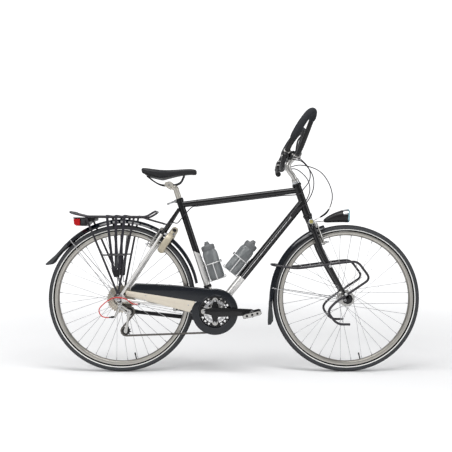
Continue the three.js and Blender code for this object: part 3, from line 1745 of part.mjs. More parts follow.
function brakeArm(brake) {
  const at = (up, out, side) => brakePoint(brake, up, brake.reach + out, brakeArmSpread + side);
  const eyeRadius = brakePinRadius + brakeArmRadius / 2;
  const eye = rod(at(0, -brakeArmRadius * 2, 0), at(0, 0, 0), eyeRadius, eyeRadius, 6);
  const bore = rod(
    at(0, -brake.reach, 0),
    at(0, brake.reach, 0),
    boreFor(brakePinRadius, 6),
    boreFor(brakePinRadius, 6),
    6,
  );
  const padMiddle = rimWidth / 2 + brakePadGap + brakePadRadius - brakeArmSpread;
  const out = -brakeArmRadius;
  const arm = loft(ringsAlong(
    [
      at(brakePinRadius, out, 0),
      at(brakeArmLength * 0.3, out, brakeArmRadius * 0.5),
      at(brakeArmLength, out, -brakeArmRadius),
    ],
    [brakeArmRadius, brakeArmRadius, brakeArmRadius * 0.6],
    5,
    brake.out,
  ));
  const pad = rod(
    at(pivotDrop, out - brakePadLength / 2, padMiddle),
    at(pivotDrop, out + brakePadLength / 2, padMiddle),
    brakePadRadius,
    brakePadRadius,
    4,
  );
  const stud = rod(
    at(pivotDrop, out, padMiddle),
    at(pivotDrop, out, brakeArmRadius * 1.6),
    brakePadRadius * 0.6,
    brakePadRadius * 0.6,
    4,
  );
  return join(cut(join(eye, arm), bore), pad, stud);
}

const brakePadGap = 1.6;

// The rear rack: a looped rail with upturned ends, cross bars, two legs a side and a stay to the seat stays.
const rackOrigin = () => vec(rearAxle.x, 0, rackHeight);
const rackRailShares = [
  [-0.588, 0.01, 0.052], [-0.588, -0.9, 0.052], [-0.555, -1, 0.036], [-0.4, -1, 0],
  [0.31, -1, -0.006], [0.385, -1, 0.04], [0.412, -0.9, 0.058], [0.415, 0.01, 0.062],
];
const rackCrossShares = [-0.4, -0.07, 0.23];

function rearRack() {
  const origin = rackOrigin();
  const corners = rackRailShares.map(
    ([x, y, z]) => vec(origin.x + x * rackLength, y * rackHalfWidth, origin.z + z * rackLength),
  );
  const rail = tube(bent(corners, rackLength / 16, 1), rackTubeRadius, 4);
  const half = rackHalfWidth;
  const footSide = -(dropoutSide + dropoutThickness + seatGap + rackTubeRadius);
  const foot = rearAxle.clone().add(vec(-rackTubeRadius, footSide, rackFootRise));
  const legTop = (share) => vec(origin.x + share * rackLength, -half, origin.z);
  const seat = stayPoint(0.2, -1).addScaledVector(stayBack, seatStayRadius + rackTubeRadius + seatGap);
  const side = join(
    rail,
    rod(legTop(-0.4), foot, rackTubeRadius, rackTubeRadius, 4),
    rod(legTop(0.17), foot, rackTubeRadius, rackTubeRadius, 4),
    rod(legTop(0.25), seat, rackTubeRadius * 0.8, rackTubeRadius * 0.8, 4),
    across(foot, footSide - rackTubeRadius, footSide + rackTubeRadius, rackTubeRadius * 1.8, 6),
  );
  const bars = rackCrossShares.map((share) => across(legTop(share), -half, half, rackTubeRadius * 0.8, 4));
  const spine = rod(
    vec(legTop(rackCrossShares[0]).x, 0, origin.z),
    vec(legTop(rackCrossShares[2]).x, 0, origin.z),
    rackTubeRadius * 0.8,
    rackTubeRadius * 0.8,
    4,
  );
  return join(side, mirrored(side), ...bars, spine);
}

// A point on a seat stay's middle line below its shoulder, as a share of the way down.
function stayPoint(share, side) {
  const foot = rearAxle.clone().add(vec(dropoutRadius * 0.7, dropoutMiddle, dropoutRadius * 1.6));
  const p = seatStayTop.clone().lerp(foot, share);
  const below = (share - seatStayShoulderShare) / (1 - seatStayShoulderShare);
  p.y = side * (seatStaySpread + below * (dropoutMiddle - seatStaySpread));
  return p;
}

// Three elastic straps over the rack, drawn together on each side in an end piece with a hook.
const strapTopShares = [-0.145, -0.04, 0.06];
const strapFootShares = [-0.07, -0.04, -0.01];

function rackStraps() {
  const origin = rackOrigin();
  const top = origin.z + 0.82 * rackTubeRadius + seatGap;
  const side = rackHalfWidth + rackTubeRadius + 3 * seatGap;
  const pieces = [];
  strapTopShares.forEach((share, i) => {
    const x = origin.x + share * rackLength;
    const footX = origin.x + strapFootShares[i] * rackLength;
    const half = strapWidth / 2;
    pieces.push(
      block(
        vec(x - half, -side - strapThickness, top),
        vec(x + half, side + strapThickness, top + strapThickness),
      ),
    );
    const fall = [
      vec2(x - half, top + strapThickness),
      vec2(footX - half, top - strapDrop),
      vec2(footX + half, top - strapDrop),
      vec2(x + half, top + strapThickness),
    ];
    [-1, 1].forEach((way) => pieces.push(plate(fall, way * side, way * (side + strapThickness))));
  });
  [-1, 1].forEach((way) => {
    const endShares = [[-0.088, 0], [0.008, 0], [0, -0.08], [-0.06, -0.08]];
    const outline = endShares.map(
      ([x, z]) => vec2(origin.x + x * rackLength, top - strapDrop + strapWidth / 2 + z * rackLength),
    );
    pieces.push(plate(outline, way * (side - strapThickness), way * (side + 2 * strapThickness)));
    const hookTop = vec(
      origin.x - 0.02 * rackLength,
      way * (side + strapThickness),
      top - strapDrop - 0.06 * rackLength,
    );
    const hookEnd = hookTop.clone().add(vec(0, way * strapThickness * 2, -0.1 * rackLength));
    pieces.push(rod(hookTop, hookEnd, hookRadius, hookRadius, 4));
  });
  return join(...pieces);
}

const rearLightShares = [
  [-0.62, 0.0],
  [-0.62, -0.8],
  [-0.5, -1],
  [-0.1, -1],
  [0.1, -0.55],
  [0.38, -0.3],
  [0.38, 0],
];

function rearLight() {
  const front = rackOrigin().x + rackCrossShares[0] * rackLength;
  const top = rackHeight - rackTubeRadius * 0.8 - seatGap;
  const outline = rearLightShares.map(
    ([x, z]) => vec2(front + x * rearLightLength, top + z * rearLightHeight),
  );
  return plate(outline, -rearLightWidth / 2, rearLightWidth / 2);
}

// The frame lock: a ring in a plane along the seat stays, open below, with a sliding bolt in its left arm.
const lockCentreShare = 0.36;
const lockAhead = 38;
const lockCentre = () => stayPoint(lockCentreShare, 0).setY(0).addScaledVector(stayBack, -lockAhead);

function lockPoint(radius, degrees, ahead = 0) {
  const angle = rad(degrees);
  return lockCentre()
    .addScaledVector(stayUp, radius * Math.sin(angle))
    .addScaledVector(stayBack, -ahead)
    .add(vec(0, radius * Math.cos(angle), 0));
}

// A piece of ring between two angles, from one radius to another.
function lockSector(inner, outer, from, to, halfThickness, steps) {
  const angles = Array.from({ length: steps + 1 }, (_, i) => from + ((to - from) * i) / steps);
  const rings = angles.map((degrees) => [
    lockPoint(inner, degrees, -halfThickness),
    lockPoint(outer, degrees, -halfThickness),
    lockPoint(outer, degrees, halfThickness),
    lockPoint(inner, degrees, halfThickness),
  ]);
  return loft(rings);
}

function lockTube(radius, from, to, steps, sides) {
  const angles = Array.from({ length: steps + 1 }, (_, i) => from + ((to - from) * i) / steps);
  const rings = angles.map((degrees) =>
    circle(radius, sides).map((c) => lockPoint(lockRadius + c.x, degrees, c.y)),
  );
  return loft(rings);
}

const lockGapFrom = -90 - lockGapAngle / 2;
const lockGapTo = -90 + lockGapAngle / 2;
const boltFrom = lockGapTo + 4;
const boltTo = boltFrom + lockBoltAngle;
const boltTravel = lockGapAngle + 10;
const fullTurnAngle = 360;
const knobAt = boltTo - 6;

function lockHousing() {
  const half = lockThickness / 2;
  const channel = lockBoltRadius + runningGap;
  const ring = lockSector(
    lockRadius - lockWall,
    lockRadius + lockWall,
    lockGapTo,
    fullTurnAngle + lockGapFrom,
    half,
    9,
  );
  const at = (side, up, ahead) =>
    lockCentre().addScaledVector(stayUp, up).addScaledVector(stayBack, -ahead).add(vec(0, side, 0));
  const bodySections = [
    [lockRadius, 1, 1],
    [lockRadius + lockBodyHeight * 0.8, 0.9, 0.9],
    [lockRadius + lockBodyHeight, 0.6, 0.6],
  ];
  const body = loft(bodySections.map(([up, wide, thick]) =>
    [[-1, -1], [1, -1], [1, 1], [-1, 1]].map(
      ([y, w]) => at(y * wide * lockBodyHalfWidth, up, w * thick * half * 0.9),
    ),
  ));
  const lugs = [-1, 1].map((side) => {
    const lugUp = lockRadius * 0.66;
    const lugSide = side * lockRadius * 0.75;
    return rod(
      at(lugSide, lugUp, 0),
      at(lugSide, lugUp, -lockAhead + flatOf(seatStayRadius, 6) + seatGap),
      bossRadius * 1.3,
      bossRadius * 1.3,
      5,
    );
  });
  const slot = lockSector(
    lockRadius,
    lockRadius + lockWall + overrun,
    knobAt - boltTravel - 5,
    knobAt + 5,
    lockKnobRadius * 0.5 + 2 * runningGap,
    4,
  );
  return cut(
    join(ring, body, ...lugs),
    lockTube(channel / Math.cos(Math.PI / 6), lockGapTo - 4, boltTo + 4, 6, 6),
    lockTube(
      channel / Math.cos(Math.PI / 6),
      fullTurnAngle + boltFrom - boltTravel - 4,
      fullTurnAngle + lockGapFrom + 4,
      1,
      6,
    ),
    slot,
  );
}

function lockBolt() {
  const stem = rod(
    lockPoint(lockRadius, knobAt),
    lockPoint(lockRadius + lockWall * 2, knobAt),
    lockKnobRadius * 0.5,
    lockKnobRadius * 0.5,
    6,
  );
  const cap = rod(
    lockPoint(lockRadius + lockWall + 2 * overrun, knobAt),
    lockPoint(lockRadius + lockWall * 2, knobAt),
    lockKnobRadius,
    lockKnobRadius,
    8,
  );
  return join(lockTube(lockBoltRadius, boltFrom, boltTo, 6, 6), stem, cap);
}

// The front low rider: a bent tube on each side of the wheel, joined behind it, bolted to the fork.
const lowriderShares = [
  [-0.797, 0, 0.36], [-0.79, -0.6, 0.358], [-0.54, -1, 0.326], [-0.02, -1, 0.394], [0.09, -1, 0.4],
  [0.222, -1, 0.22], [-0.15, -1, -0.03], [-0.228, -1, -0.12], [-0.125, -1, -0.254], [0.002, -1, -0.254],
];
const lowriderBoltShares = [[0.44, 1.08, 0.92], [0.077, 1.25, 0.54]];

function lowrider() {
  const points = lowriderShares.map(([x, y, z]) =>
    vec(frontAxle.x + x * lowriderLength, y * lowriderHalfWidth, frontAxle.z + z * lowriderLength),
  );
  points[0].y = overrun;
  const bolts = lowriderBoltShares.map(([height, side, radius]) => {
    const blade = bladePoint(height, side);
    const near = -blade.y - radius * forkBladeRadius - seatGap;
    return across(blade, near, -lowriderHalfWidth, lowriderRodRadius, 5);
  });
  const half = join(tube(bent(points, lowriderLength / 16, 1), lowriderTubeRadius, 5), ...bolts);
  return join(half, mirrored(half));
}

// The headlight: a bullet that widens to its lens, on a bracket from the fork's crown.
const headlightSections = [
  [0, -0.75, 0.2],
  [0.1, -0.62, 0.4],
  [0.4, -0.3, 0.7],
  [0.75, -0.06, 0.92],
  [0.93, 0, 1],
  [1, 0, 0.96],
];

function headlight() {
  const crownFront = onSteer(
    forkCrownHeight - forkBladeRadius * 0.6,
    forkBladeRadius + seatGap + mudguardWall,
  );
  const tail = vec(crownFront.x + 0.42 * headlightLength, 0, crownFront.z + 0.85 * headlightRadius * 0.4);
  const rings = headlightSections.map(([x, z, r]) =>
    circle(r * headlightRadius, 10).map(
      (c) => vec(
        tail.x + x * headlightLength,
        c.x,
        tail.z + headlightRadius * 0.6 + z * headlightRadius + c.y,
      ),
    ),
  );
  const bracketEnd = vec(tail.x + 0.15 * headlightLength, 0, tail.z + headlightRadius * 0.1);
  return join(
    loft(rings),
    rod(crownFront, bracketEnd, mudguardStayRadius * 1.6, mudguardStayRadius * 1.6, 6),
  );
}

function frontMudguard() {
  const flapFrom = 172;
  const strip = mudguard(frontAxle, frontMudguardRadius, 107, 199, flapFrom);
  const foot = vec(
    frontAxle.x - forkEndRadius * 0.8,
    frontHubWidth / 2 + forkEndThickness + seatGap + mudguardStayRadius,
    frontAxle.z - forkEndRadius * 0.3,
  );
  const behindCrown = -(steererRadius + 2 * seatGap + mudguardStayRadius * 1.6);
  const bracketFoot = Math.sqrt(frontMudguardRadius ** 2 - forkRake ** 2) - 2 * mudguardWall;
  return join(
    strip,
    ...mudguardStay(frontAxle, frontMudguardRadius, flapFrom, foot),
    rod(
      onSteer(bracketFoot - overrun, behindCrown),
      onSteer(forkCrownHeight - forkBladeRadius + overrun, behindCrown),
      mudguardStayRadius * 1.6,
      mudguardStayRadius * 1.6,
      5,
    ),
  );
}

const rearMudguardStartAngle = 10;
const rearMudguardEndAngle = 157;
const rearFlapStartAngle = 138;

function rearMudguard() {
  const centre = rearAxle.clone().add(vec(rearMudguardShift, 0, 0));
  const flapFrom = rearFlapStartAngle;
  const strip = mudguard(
    centre,
    rearMudguardRadius,
    rearMudguardStartAngle,
    rearMudguardEndAngle,
    flapFrom,
  );
  const foot = vec(
    rearAxle.x - dropoutRadius,
    dropoutSide + dropoutThickness + seatGap + mudguardStayRadius,
    rearAxle.z,
  );
  const bridge = seatStayTop.clone().lerp(rearAxle, brakeBridgeShare).setY(0);
  const heading = centre.clone().sub(bridge).normalize();
  const bracketTop = bridge.clone().addScaledVector(heading, bossRadius * 1.4 + seatGap);
  const bracketFoot = centre.clone().addScaledVector(heading, -(rearMudguardRadius - 3 * mudguardWall));
  return join(
    strip,
    ...mudguardStay(centre, rearMudguardRadius, flapFrom - 6, foot),
    rod(bracketTop, bracketFoot, mudguardStayRadius * 1.6, mudguardStayRadius * 1.6, 5),
  );
}

// Control cables, each along its real route. The points are places beside what the cable is clipped to.
const cableSides = 6;
const cable = (points) => tube(points, cableRadius, cableSides);

// Where a cable leaves the control body on one side, some way down the body.
function ferrule(side, lowerShare) {
  const { centre, along, out } = controlFrame();
  const p = centre.clone().addScaledVector(
    out,
    0.62 * leverReach + 0.78 * controlRadius + cableRadius + seatGap,
  );
  p.addScaledVector(along, -lowerShare * controlRadius);
  p.y *= side;
  return p;
}

const underTopTube = (share, side) => {
  const p = onSeat(seatTubeLength - topTubeDrop).lerp(onSteer(headTubeTop - topTubeInset), share);
  return p.add(vec(0, side * topTubeRadius * 0.5, -(topTubeRadius + cableRadius + seatGap)));
};
const besideDownTube = (share, side) =>
  bracket.clone().lerp(downTubeTop, share).add(vec(0, side * (downTubeRadius + cableRadius + seatGap), 0));

// The bow of a cable in front of the head tube, from the control to the frame: how far forward it swings, as a
// share of the stem's rise, and how far down it has come.
const bowShares = [[0.32, 0.02], [0.64, 0.3], [0.66, 0.6], [0.44, 0.9]];

function bow(start, end, swing) {
  return bowShares.map(([ahead, fall], i) => {
    const y = THREE.MathUtils.lerp(start.y, end.y, Math.sin(((turn / 4) * (i + 1)) / bowShares.length));
    return vec(start.x + ahead * stemRise * swing, y, THREE.MathUtils.lerp(start.z, end.z, fall));
  });
}

function rearBrakeCable() {
  const start = ferrule(1, 0);
  const end = onSteer(headTubeTop - headCupHeight * 3, 0, -(headTubeRadius + 2 * cableRadius));
  const top = brakePoint(rearBrake, brakeArmLength, rearBrake.reach, 0);
  const reach = brakeArmLength;
  return cable([
    ...smooth([start, ...bow(start, end, 0.95), end, underTopTube(0.86, -1), underTopTube(0.8, -1)], 12),
    underTopTube(0.14, -1),
    ...smooth(
      [
        underTopTube(0.1, -1),
        onSeat(seatTubeLength - 2 * seatStayDrop, -seatTubeRadius, -seatTubeRadius - 3 * cableRadius),
        top.clone().add(vec(0.55 * reach, -seatStaySpread / 2, 0.3 * reach)),
        top.clone().add(vec(0.3 * reach, 0, 0.32 * reach)),
        top.clone().add(vec(0.08 * reach, 0, 0.12 * reach)),
      ],
      8,
    ),
  ]);
}

// The bow of housing from the chain stay round behind the derailleur.
const tailShares = [
  [-0.78, -0.136, 0.08], [
    -0.85,
    -0.165,
    0.087,
  ], [-0.92, -0.197, 0.14], [-1, -0.203, 0.155], [-1.05, -0.203, 0.148],
  [-1.13, -0.203, 0.1], [-1.19, -0.203, 0.03], [-1.17, -0.203, -0.03], [
    -1.12,
    -0.195,
    -0.052,
  ], [-1.07, -0.185, -0.05],
];

// Where the gear cable leaves the guide under the bottom bracket, and the way from there to the bow of housing.
const underShell = (ahead, side) =>
  bracket.clone().add(
    vec(ahead * shellRadius, (side * shellWidth) / 3, -1.15 * (shellRadius + cableRadius + 2 * seatGap)),
  );
const tailPath = () => smooth(spread(bracket, chainstayLength, tailShares), 16);
const tailHeading = () => tailPath()[0].sub(underShell(-0.7, -1)).normalize();

function rearGearCable() {
  const start = ferrule(1, 0.7);
  const end = besideDownTube(0.93, -1).add(vec(0, -2 * cableRadius, 0));
  return cable([
    ...smooth([start, ...bow(start, end, 1.15), end, besideDownTube(0.85, -1)], 11),
    besideDownTube(0.14, -1),
    underShell(0.7, -1),
    underShell(-0.7, -1),
    tailPath()[0].addScaledVector(tailHeading(), -seatGap),
  ]);
}

// The housing starts straight, in line with the cable that runs into it.
function derailleurHousing() {
  const [start, ...bow] = tailPath();
  return cable([start, start.clone().addScaledVector(tailHeading(), 3 * cableRadius), ...bow]);
}

function frontGearCable() {
  const start = ferrule(-1, 0.7);
  const end = besideDownTube(0.93, 1).add(vec(0, 2 * cableRadius, 0));
  return cable([
    ...smooth([start, ...bow(start, end, 1.1), end, besideDownTube(0.85, 1)], 11),
    besideDownTube(0.14, 1),
    underShell(0.7, 1),
  ]);
}

function frontBrakeCable() {
  const start = ferrule(-1, 0);
  const top = brakePoint(frontBrake, brakeArmLength, frontBrake.reach, 0);
  const points = [
    start,
    start.clone().add(vec(0.5 * stemRise, -barHalfWidth / 5, 0.08 * stemRise)),
    start.clone().add(vec(1.15 * stemRise, -barHalfWidth / 2, -0.25 * stemRise)),
    top.clone().add(vec(0.72 * stemRise, 0, 0.95 * stemRise)),
    top.clone().add(vec(0.55 * stemRise, 0, 0.42 * stemRise)),
    top.clone().add(vec(0.1 * stemRise, 0, 0.12 * stemRise)),
  ];
  return cable(smooth(points, 16));
}

// Assembly

const bicycle = new THREE.Group();
const finish = (colour, roughness, metalness) => ({ color: colour, roughness, metalness });
const finishes = {
  blackPaint: finish(0x0c0d0f, 0.25, 0.1),
  alloy: finish(0xb4b2ac, 0.35, 0.9),
  darkAlloy: finish(0x2a2b2d, 0.4, 0.7),
  steel: finish(0x8f8d88, 0.35, 0.9),
  rubber: finish(0x1d1e20, 0.85, 0),
  plastic: finish(0x15161a, 0.5, 0),
  palePlastic: finish(0xcfc8b2, 0.45, 0),
  foam: finish(0x1a1b1e, 0.95, 0),
  leather: finish(0x101113, 0.6, 0),
  redLens: finish(0xa01216, 0.3, 0),
  redHousing: finish(0xd8322f, 0.45, 0),
  bottlePlastic: finish(0x6c6f76, 0.45, 0),
};

function add(name, geometry, look) {
  const mesh = new THREE.Mesh(welded(geometry), new THREE.MeshStandardMaterial(finishes[look]));
  mesh.geometry.computeVertexNormals();
  mesh.name = name;
  bicycle.add(mesh);
}

add("frame", frame(), "blackPaint");
add("rear_mudguard", rearMudguard(), "plastic");
add("rear_rack", rearRack(), "blackPaint");
add("rack_straps", rackStraps(), "rubber");
add("rear_light", rearLight(), "redLens");
add("lock_housing", lockHousing(), "palePlastic");
add("lock_bolt", lockBolt(), "steel");
add("chain_guard", chainGuard(), "plastic");
add("chain_guard_plate", chainGuardPlate(), "palePlastic");
add("seatpost", seatPost(), "alloy");
add("saddle_rails", saddleRails(), "steel");
add("saddle", saddle(), "leather");

const cassetteSpacer = dropoutSide + cassetteOuter - sprocketSpacing / 2 - overrun - 2 * seatGap;
const leftSpacer = axleNutHeight - 2 * seatGap;
add(
  "rear_axle",
  axle(rearAxle, dropoutSide, dropoutThickness, cassetteSpacer, leftSpacer, hubEndRadius),
  "steel",
);
add("rear_hub_spokes", spokedHub(rearAxle, rearHub), "alloy");
add("rear_rim", rim(rearAxle), "alloy");
add("rear_tyre", tyre(rearAxle), "rubber");
add("cassette", cassette(), "steel");
add("chain", chain(), "steel");
add("chainrings", chainrings(), "darkAlloy");
add("crank_right", crankRight(), "darkAlloy");
add("crank_left", crankLeft(), "darkAlloy");
add("pedal_right", pedal(-1), "darkAlloy");
add("pedal_left", pedal(1), "darkAlloy");
add("rear_derailleur", rearDerailleur(), "alloy");
add("derailleur_cage", derailleurCage(), "alloy");
add("guide_pulley", pulley(guidePulley, 2), "plastic");
add("tension_pulley", pulley(tensionPulley, 1), "plastic");
add("front_derailleur", frontDerailleur(), "alloy");
add("kickstand_leg", kickstandLeg(), "darkAlloy");

add("fork", fork(), "blackPaint");
add(
  "front_axle",
  axle(
    frontAxle,
    frontHubWidth / 2,
    forkEndThickness,
    hubCapHeight - seatGap,
    hubCapHeight - seatGap,
    hubCapRadius,
  ),
  "steel",
);
add("front_hub_spokes", spokedHub(frontAxle, frontHub), "alloy");
add("front_rim", rim(frontAxle), "alloy");
add("front_tyre", tyre(frontAxle), "rubber");
add("front_mudguard", frontMudguard(), "plastic");
add("headlight", headlight(), "plastic");
add("lowrider", lowrider(), "blackPaint");
add("stem", stem(), "alloy");
add("handlebar", handlebar(), "darkAlloy");

for (const [side, place] of [["right", (g) => g], ["left", mirrored]]) {
  add(`grip_${side}`, place(grip()), "foam");
  add(`control_${side}`, place(control()), "plastic");
  add(`brake_lever_${side}`, place(brakeLever()), "darkAlloy");
  add(`shifter_lever_${side}`, place(shifterLever()), "plastic");
}
for (const [side, place] of [["left", (g) => g], ["right", mirrored]]) {
  add(`front_brake_arm_${side}`, place(brakeArm(frontBrake)), "alloy");
  add(`rear_brake_arm_${side}`, place(brakeArm(rearBrake)), "alloy");
}

const seatBottle = bottlePlace(onSeat, flatOf(seatTubeRadius, 8), seatBottleHeight);
const downBottle = bottlePlace(onDown, downTubeRadius, downBottleHeight);
add("bottle_seat_tube", bottle(seatBottle), "bottlePlastic");
add("bottle_down_tube", bottle(downBottle), "bottlePlastic");
add("bottle_cage_seat_tube", bottleCage(seatBottle, seatUp), "darkAlloy");
add("bottle_cage_down_tube", bottleCage(downBottle, downUp), "darkAlloy");

add("rear_brake_cable", rearBrakeCable(), "plastic");
add("rear_gear_cable", rearGearCable(), "plastic");
add("derailleur_housing", derailleurHousing(), "redHousing");
add("front_gear_cable", frontGearCable(), "plastic");
add("front_brake_cable", frontBrakeCable(), "plastic");

export default bicycle;
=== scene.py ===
"""A touring bicycle with its racks, lights, bottles, brakes and gears, dressed over its fixed frame.

Metres. +X points forward, +Y to the rider's left, +Z up. The drive side is the right side, at negative Y.
A mark is the number of a face's material. A way or side of 1 is the left of the bicycle, and -1 its right."""
import json
import math

import bmesh
import bpy
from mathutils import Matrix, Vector
from mathutils.geometry import tessellate_polygon


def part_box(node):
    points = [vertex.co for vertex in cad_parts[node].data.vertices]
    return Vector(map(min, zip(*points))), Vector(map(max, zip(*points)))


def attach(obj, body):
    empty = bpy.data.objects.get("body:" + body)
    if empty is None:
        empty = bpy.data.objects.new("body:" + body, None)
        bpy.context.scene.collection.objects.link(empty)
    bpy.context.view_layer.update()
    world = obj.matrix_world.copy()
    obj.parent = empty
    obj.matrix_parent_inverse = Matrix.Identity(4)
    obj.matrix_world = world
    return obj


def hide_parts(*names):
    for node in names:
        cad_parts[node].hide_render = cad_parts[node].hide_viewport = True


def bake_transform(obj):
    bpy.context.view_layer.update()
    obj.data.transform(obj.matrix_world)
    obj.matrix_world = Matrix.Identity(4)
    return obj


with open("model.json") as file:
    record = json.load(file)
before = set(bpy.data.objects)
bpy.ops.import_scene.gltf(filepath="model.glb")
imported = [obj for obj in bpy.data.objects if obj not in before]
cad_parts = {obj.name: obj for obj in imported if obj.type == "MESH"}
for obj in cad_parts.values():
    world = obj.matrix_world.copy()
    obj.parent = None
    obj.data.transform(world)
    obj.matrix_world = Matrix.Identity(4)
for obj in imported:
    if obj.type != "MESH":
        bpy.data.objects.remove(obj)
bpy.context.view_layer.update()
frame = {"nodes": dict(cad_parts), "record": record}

MM = 0.001
TURN = 2 * math.pi
AHEAD = Vector((1, 0, 0))
ACROSS = Vector((0, 1, 0))
BOTH = (1, -1)


def mm(*place):
    """A place or a direction given in millimetres."""
    return Vector(place) * MM


def in_mm(*pairs):
    """The pairs of a profile, given in millimetres."""
    return [(a * MM, b * MM) for a, b in pairs]


# Places that the pieces share, from the frame's joints
joints = {j["name"]: j for j in frame["record"]["behaviour"]["joints"]}


def pivot_of(joint):
    return Vector(joints[joint]["pos_m"])


REAR = pivot_of("rear_wheel_spin")
FRONT = pivot_of("front_wheel_spin")
BRACKET = pivot_of("crank_turn")
STEER_UP = Vector(joints["steering_turn"]["axis"]).normalized()
STEER_FORE = Vector((STEER_UP.z, 0, -STEER_UP.x))
STEER_POINT = pivot_of("steering_turn")
STEER_FOOT = STEER_POINT + STEER_UP * (FRONT - STEER_POINT).dot(STEER_UP)
SEAT_UP = Vector(joints["seatpost_slide"]["axis"]).normalized()
SEAT_FORE = Vector((SEAT_UP.z, 0, -SEAT_UP.x))

# Sizes, as on the frame
TYRE_RADIUS = FRONT.z
TYRE_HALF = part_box("front_tyre")[1].y
RIM_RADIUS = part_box("front_rim")[1].x - FRONT.x
RIM_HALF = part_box("front_rim")[1].y
RIM_DEPTH = 19 * MM
HEAD_FOOT = 436 * MM
HEAD_TOP = 578 * MM
HEAD_RADIUS = 18.5 * MM
HEAD_CUP_RADIUS = 22.5 * MM
HEAD_CUP_HEIGHT = 13 * MM
DOWN_TUBE_TOP_HEIGHT = HEAD_FOOT + 62 * MM
DOWN_TUBE_RADIUS = 19.3 * MM
TOP_TUBE_DROP = 30 * MM
TOP_TUBE_INSET = 19 * MM
TOP_TUBE_RADIUS = 14.5 * MM
SEAT_TUBE_LENGTH = 558 * MM
SEAT_TUBE_RADIUS = 15.9 * MM
CHAINSTAY_LENGTH = (REAR - BRACKET).length
SHELL_RADIUS = 21 * MM
SHELL_HALF = 34 * MM
STAY_SPREAD = 34 * MM
SEAT_STAY_RADIUS = 7.5 * MM
CHAIN_STAY_RADIUS = 8 * MM
DROPOUT_SIDE = 67.5 * MM
DROPOUT_THICKNESS = 6 * MM
DROPOUT_RADIUS = 15 * MM
FORK_CROWN = 400 * MM
FORK_RAKE = 42 * MM
BLADE_SPREAD = 45 * MM
BLADE_RADIUS = 13 * MM
CABLE_RADIUS = 2.4 * MM
GAP = 0.3 * MM
SHARP_DEG = 40


def off_line(origin, up, fore):
    """A function that gives a place beside a tube: so far up it, ahead of it and to its left."""
    return lambda height, ahead=0.0, side=0.0: origin + up * height + fore * ahead + ACROSS * side


on_seat = off_line(BRACKET, SEAT_UP, SEAT_FORE)
on_steer = off_line(STEER_FOOT, STEER_UP, STEER_FORE)
DOWN_TUBE_TOP = on_steer(DOWN_TUBE_TOP_HEIGHT)
DOWN_UP = (DOWN_TUBE_TOP - BRACKET).normalized()
DOWN_FORE = Vector((-DOWN_UP.z, 0, DOWN_UP.x))
on_down = off_line(BRACKET, DOWN_UP, DOWN_FORE)
TOP_TUBE_BACK = on_seat(SEAT_TUBE_LENGTH - TOP_TUBE_DROP)
TOP_TUBE_FRONT = on_steer(HEAD_TOP - TOP_TUBE_INSET)
SEAT_STAY_TOP = on_seat(SEAT_TUBE_LENGTH - 47 * MM, -15 * MM)


def link_node(tree, kind, inputs, **settings):
    """Adds a shader node; each of its inputs is a plain value or another node's output."""
    node = tree.nodes.new("ShaderNode" + kind)
    for key, value in settings.items():
        setattr(node, key, value)
    for key, value in inputs.items():
        if isinstance(value, bpy.types.NodeSocket):
            tree.links.new(value, node.inputs[key])
        else:
            node.inputs[key].default_value = value
    return node


def maths(tree, operation, *values):
    return link_node(tree, "Math", dict(enumerate(values)), operation=operation).outputs[0]


def colour_mix(tree, factor, a, b):
    inputs = {"Factor": factor, "A": a, "B": b}
    return link_node(tree, "Mix", inputs, data_type="RGBA").outputs["Result"]


def set_inputs(shader, **values):
    """Sets inputs of a shader by their names, with an underscore for each space."""
    for key, value in values.items():
        shader.inputs[key.replace("_", " ")].default_value = value


# Camera, floor and light

CAMERA_DISTANCE = 2.8
CAMERA_PLACE = Vector((0.010, -CAMERA_DISTANCE, 0.643))
IMAGE_SIZE = 452
FOCAL_PIXELS = 588
SENSOR_WIDTH = 36.0
CENTRE_PIXEL = (236, 236)
FLOOR_HALF = 12.0
BACKDROP_DEPTH = 6.0
BACKDROP_HEIGHT = 9.0
BACKDROP_BEND = 2.5
BEND_STEPS = 24
WORLD_LIGHT = 0.56
WORLD_MIRRORED = 0.34
WORLD_SEEN = 1.14
FLOOR_GLOW = 0.03
BACKDROP_GLOW = 0.56
GLOW_START = 0.3
GLOW_RISE = (0.25, 0.25, 3.0)
LAMP_TARGET = Vector((0, 0, 0.6))
LAMPS = {
    "soft_top": ((-0.4, -0.9, 3.2), (3.2, 1.1), 66),
    "soft_front": ((-2.4, -3.2, 2.6), (1.4, 1.8), 36),
    "soft_side": ((3.4, -1.6, 1.8), (1.0, 2.4), 20),
}


def add_object(name, data):
    made = bpy.data.objects.new(name, data)
    bpy.context.collection.objects.link(made)
    return made


def make_camera():
    data = bpy.data.cameras.new("camera")
    data.sensor_width = SENSOR_WIDTH
    data.lens = FOCAL_PIXELS * SENSOR_WIDTH / IMAGE_SIZE
    data.shift_x = (IMAGE_SIZE / 2 - CENTRE_PIXEL[0]) / IMAGE_SIZE
    data.shift_y = (CENTRE_PIXEL[1] - IMAGE_SIZE / 2) / IMAGE_SIZE
    camera = add_object("camera", data)
    camera.location = CAMERA_PLACE
    camera.rotation_euler = (math.radians(90), 0, 0)
    bpy.context.scene.camera = camera


def seen_strength(tree, plain, mirrored, seen):
    """One strength for rays that light things, one for mirrored rays, and one for rays seen straight."""
    path = tree.nodes.new("ShaderNodeLightPath")
    straight = maths(tree, "MAXIMUM", path.outputs["Is Camera Ray"], path.outputs["Is Transmission Ray"])
    value = plain
    for output, strength in ((path.outputs["Is Glossy Ray"], mirrored), (straight, seen)):
        inputs = {"A": value, "B": strength, "Factor": output}
        value = link_node(tree, "Mix", inputs, data_type="FLOAT").outputs["Result"]
    return value


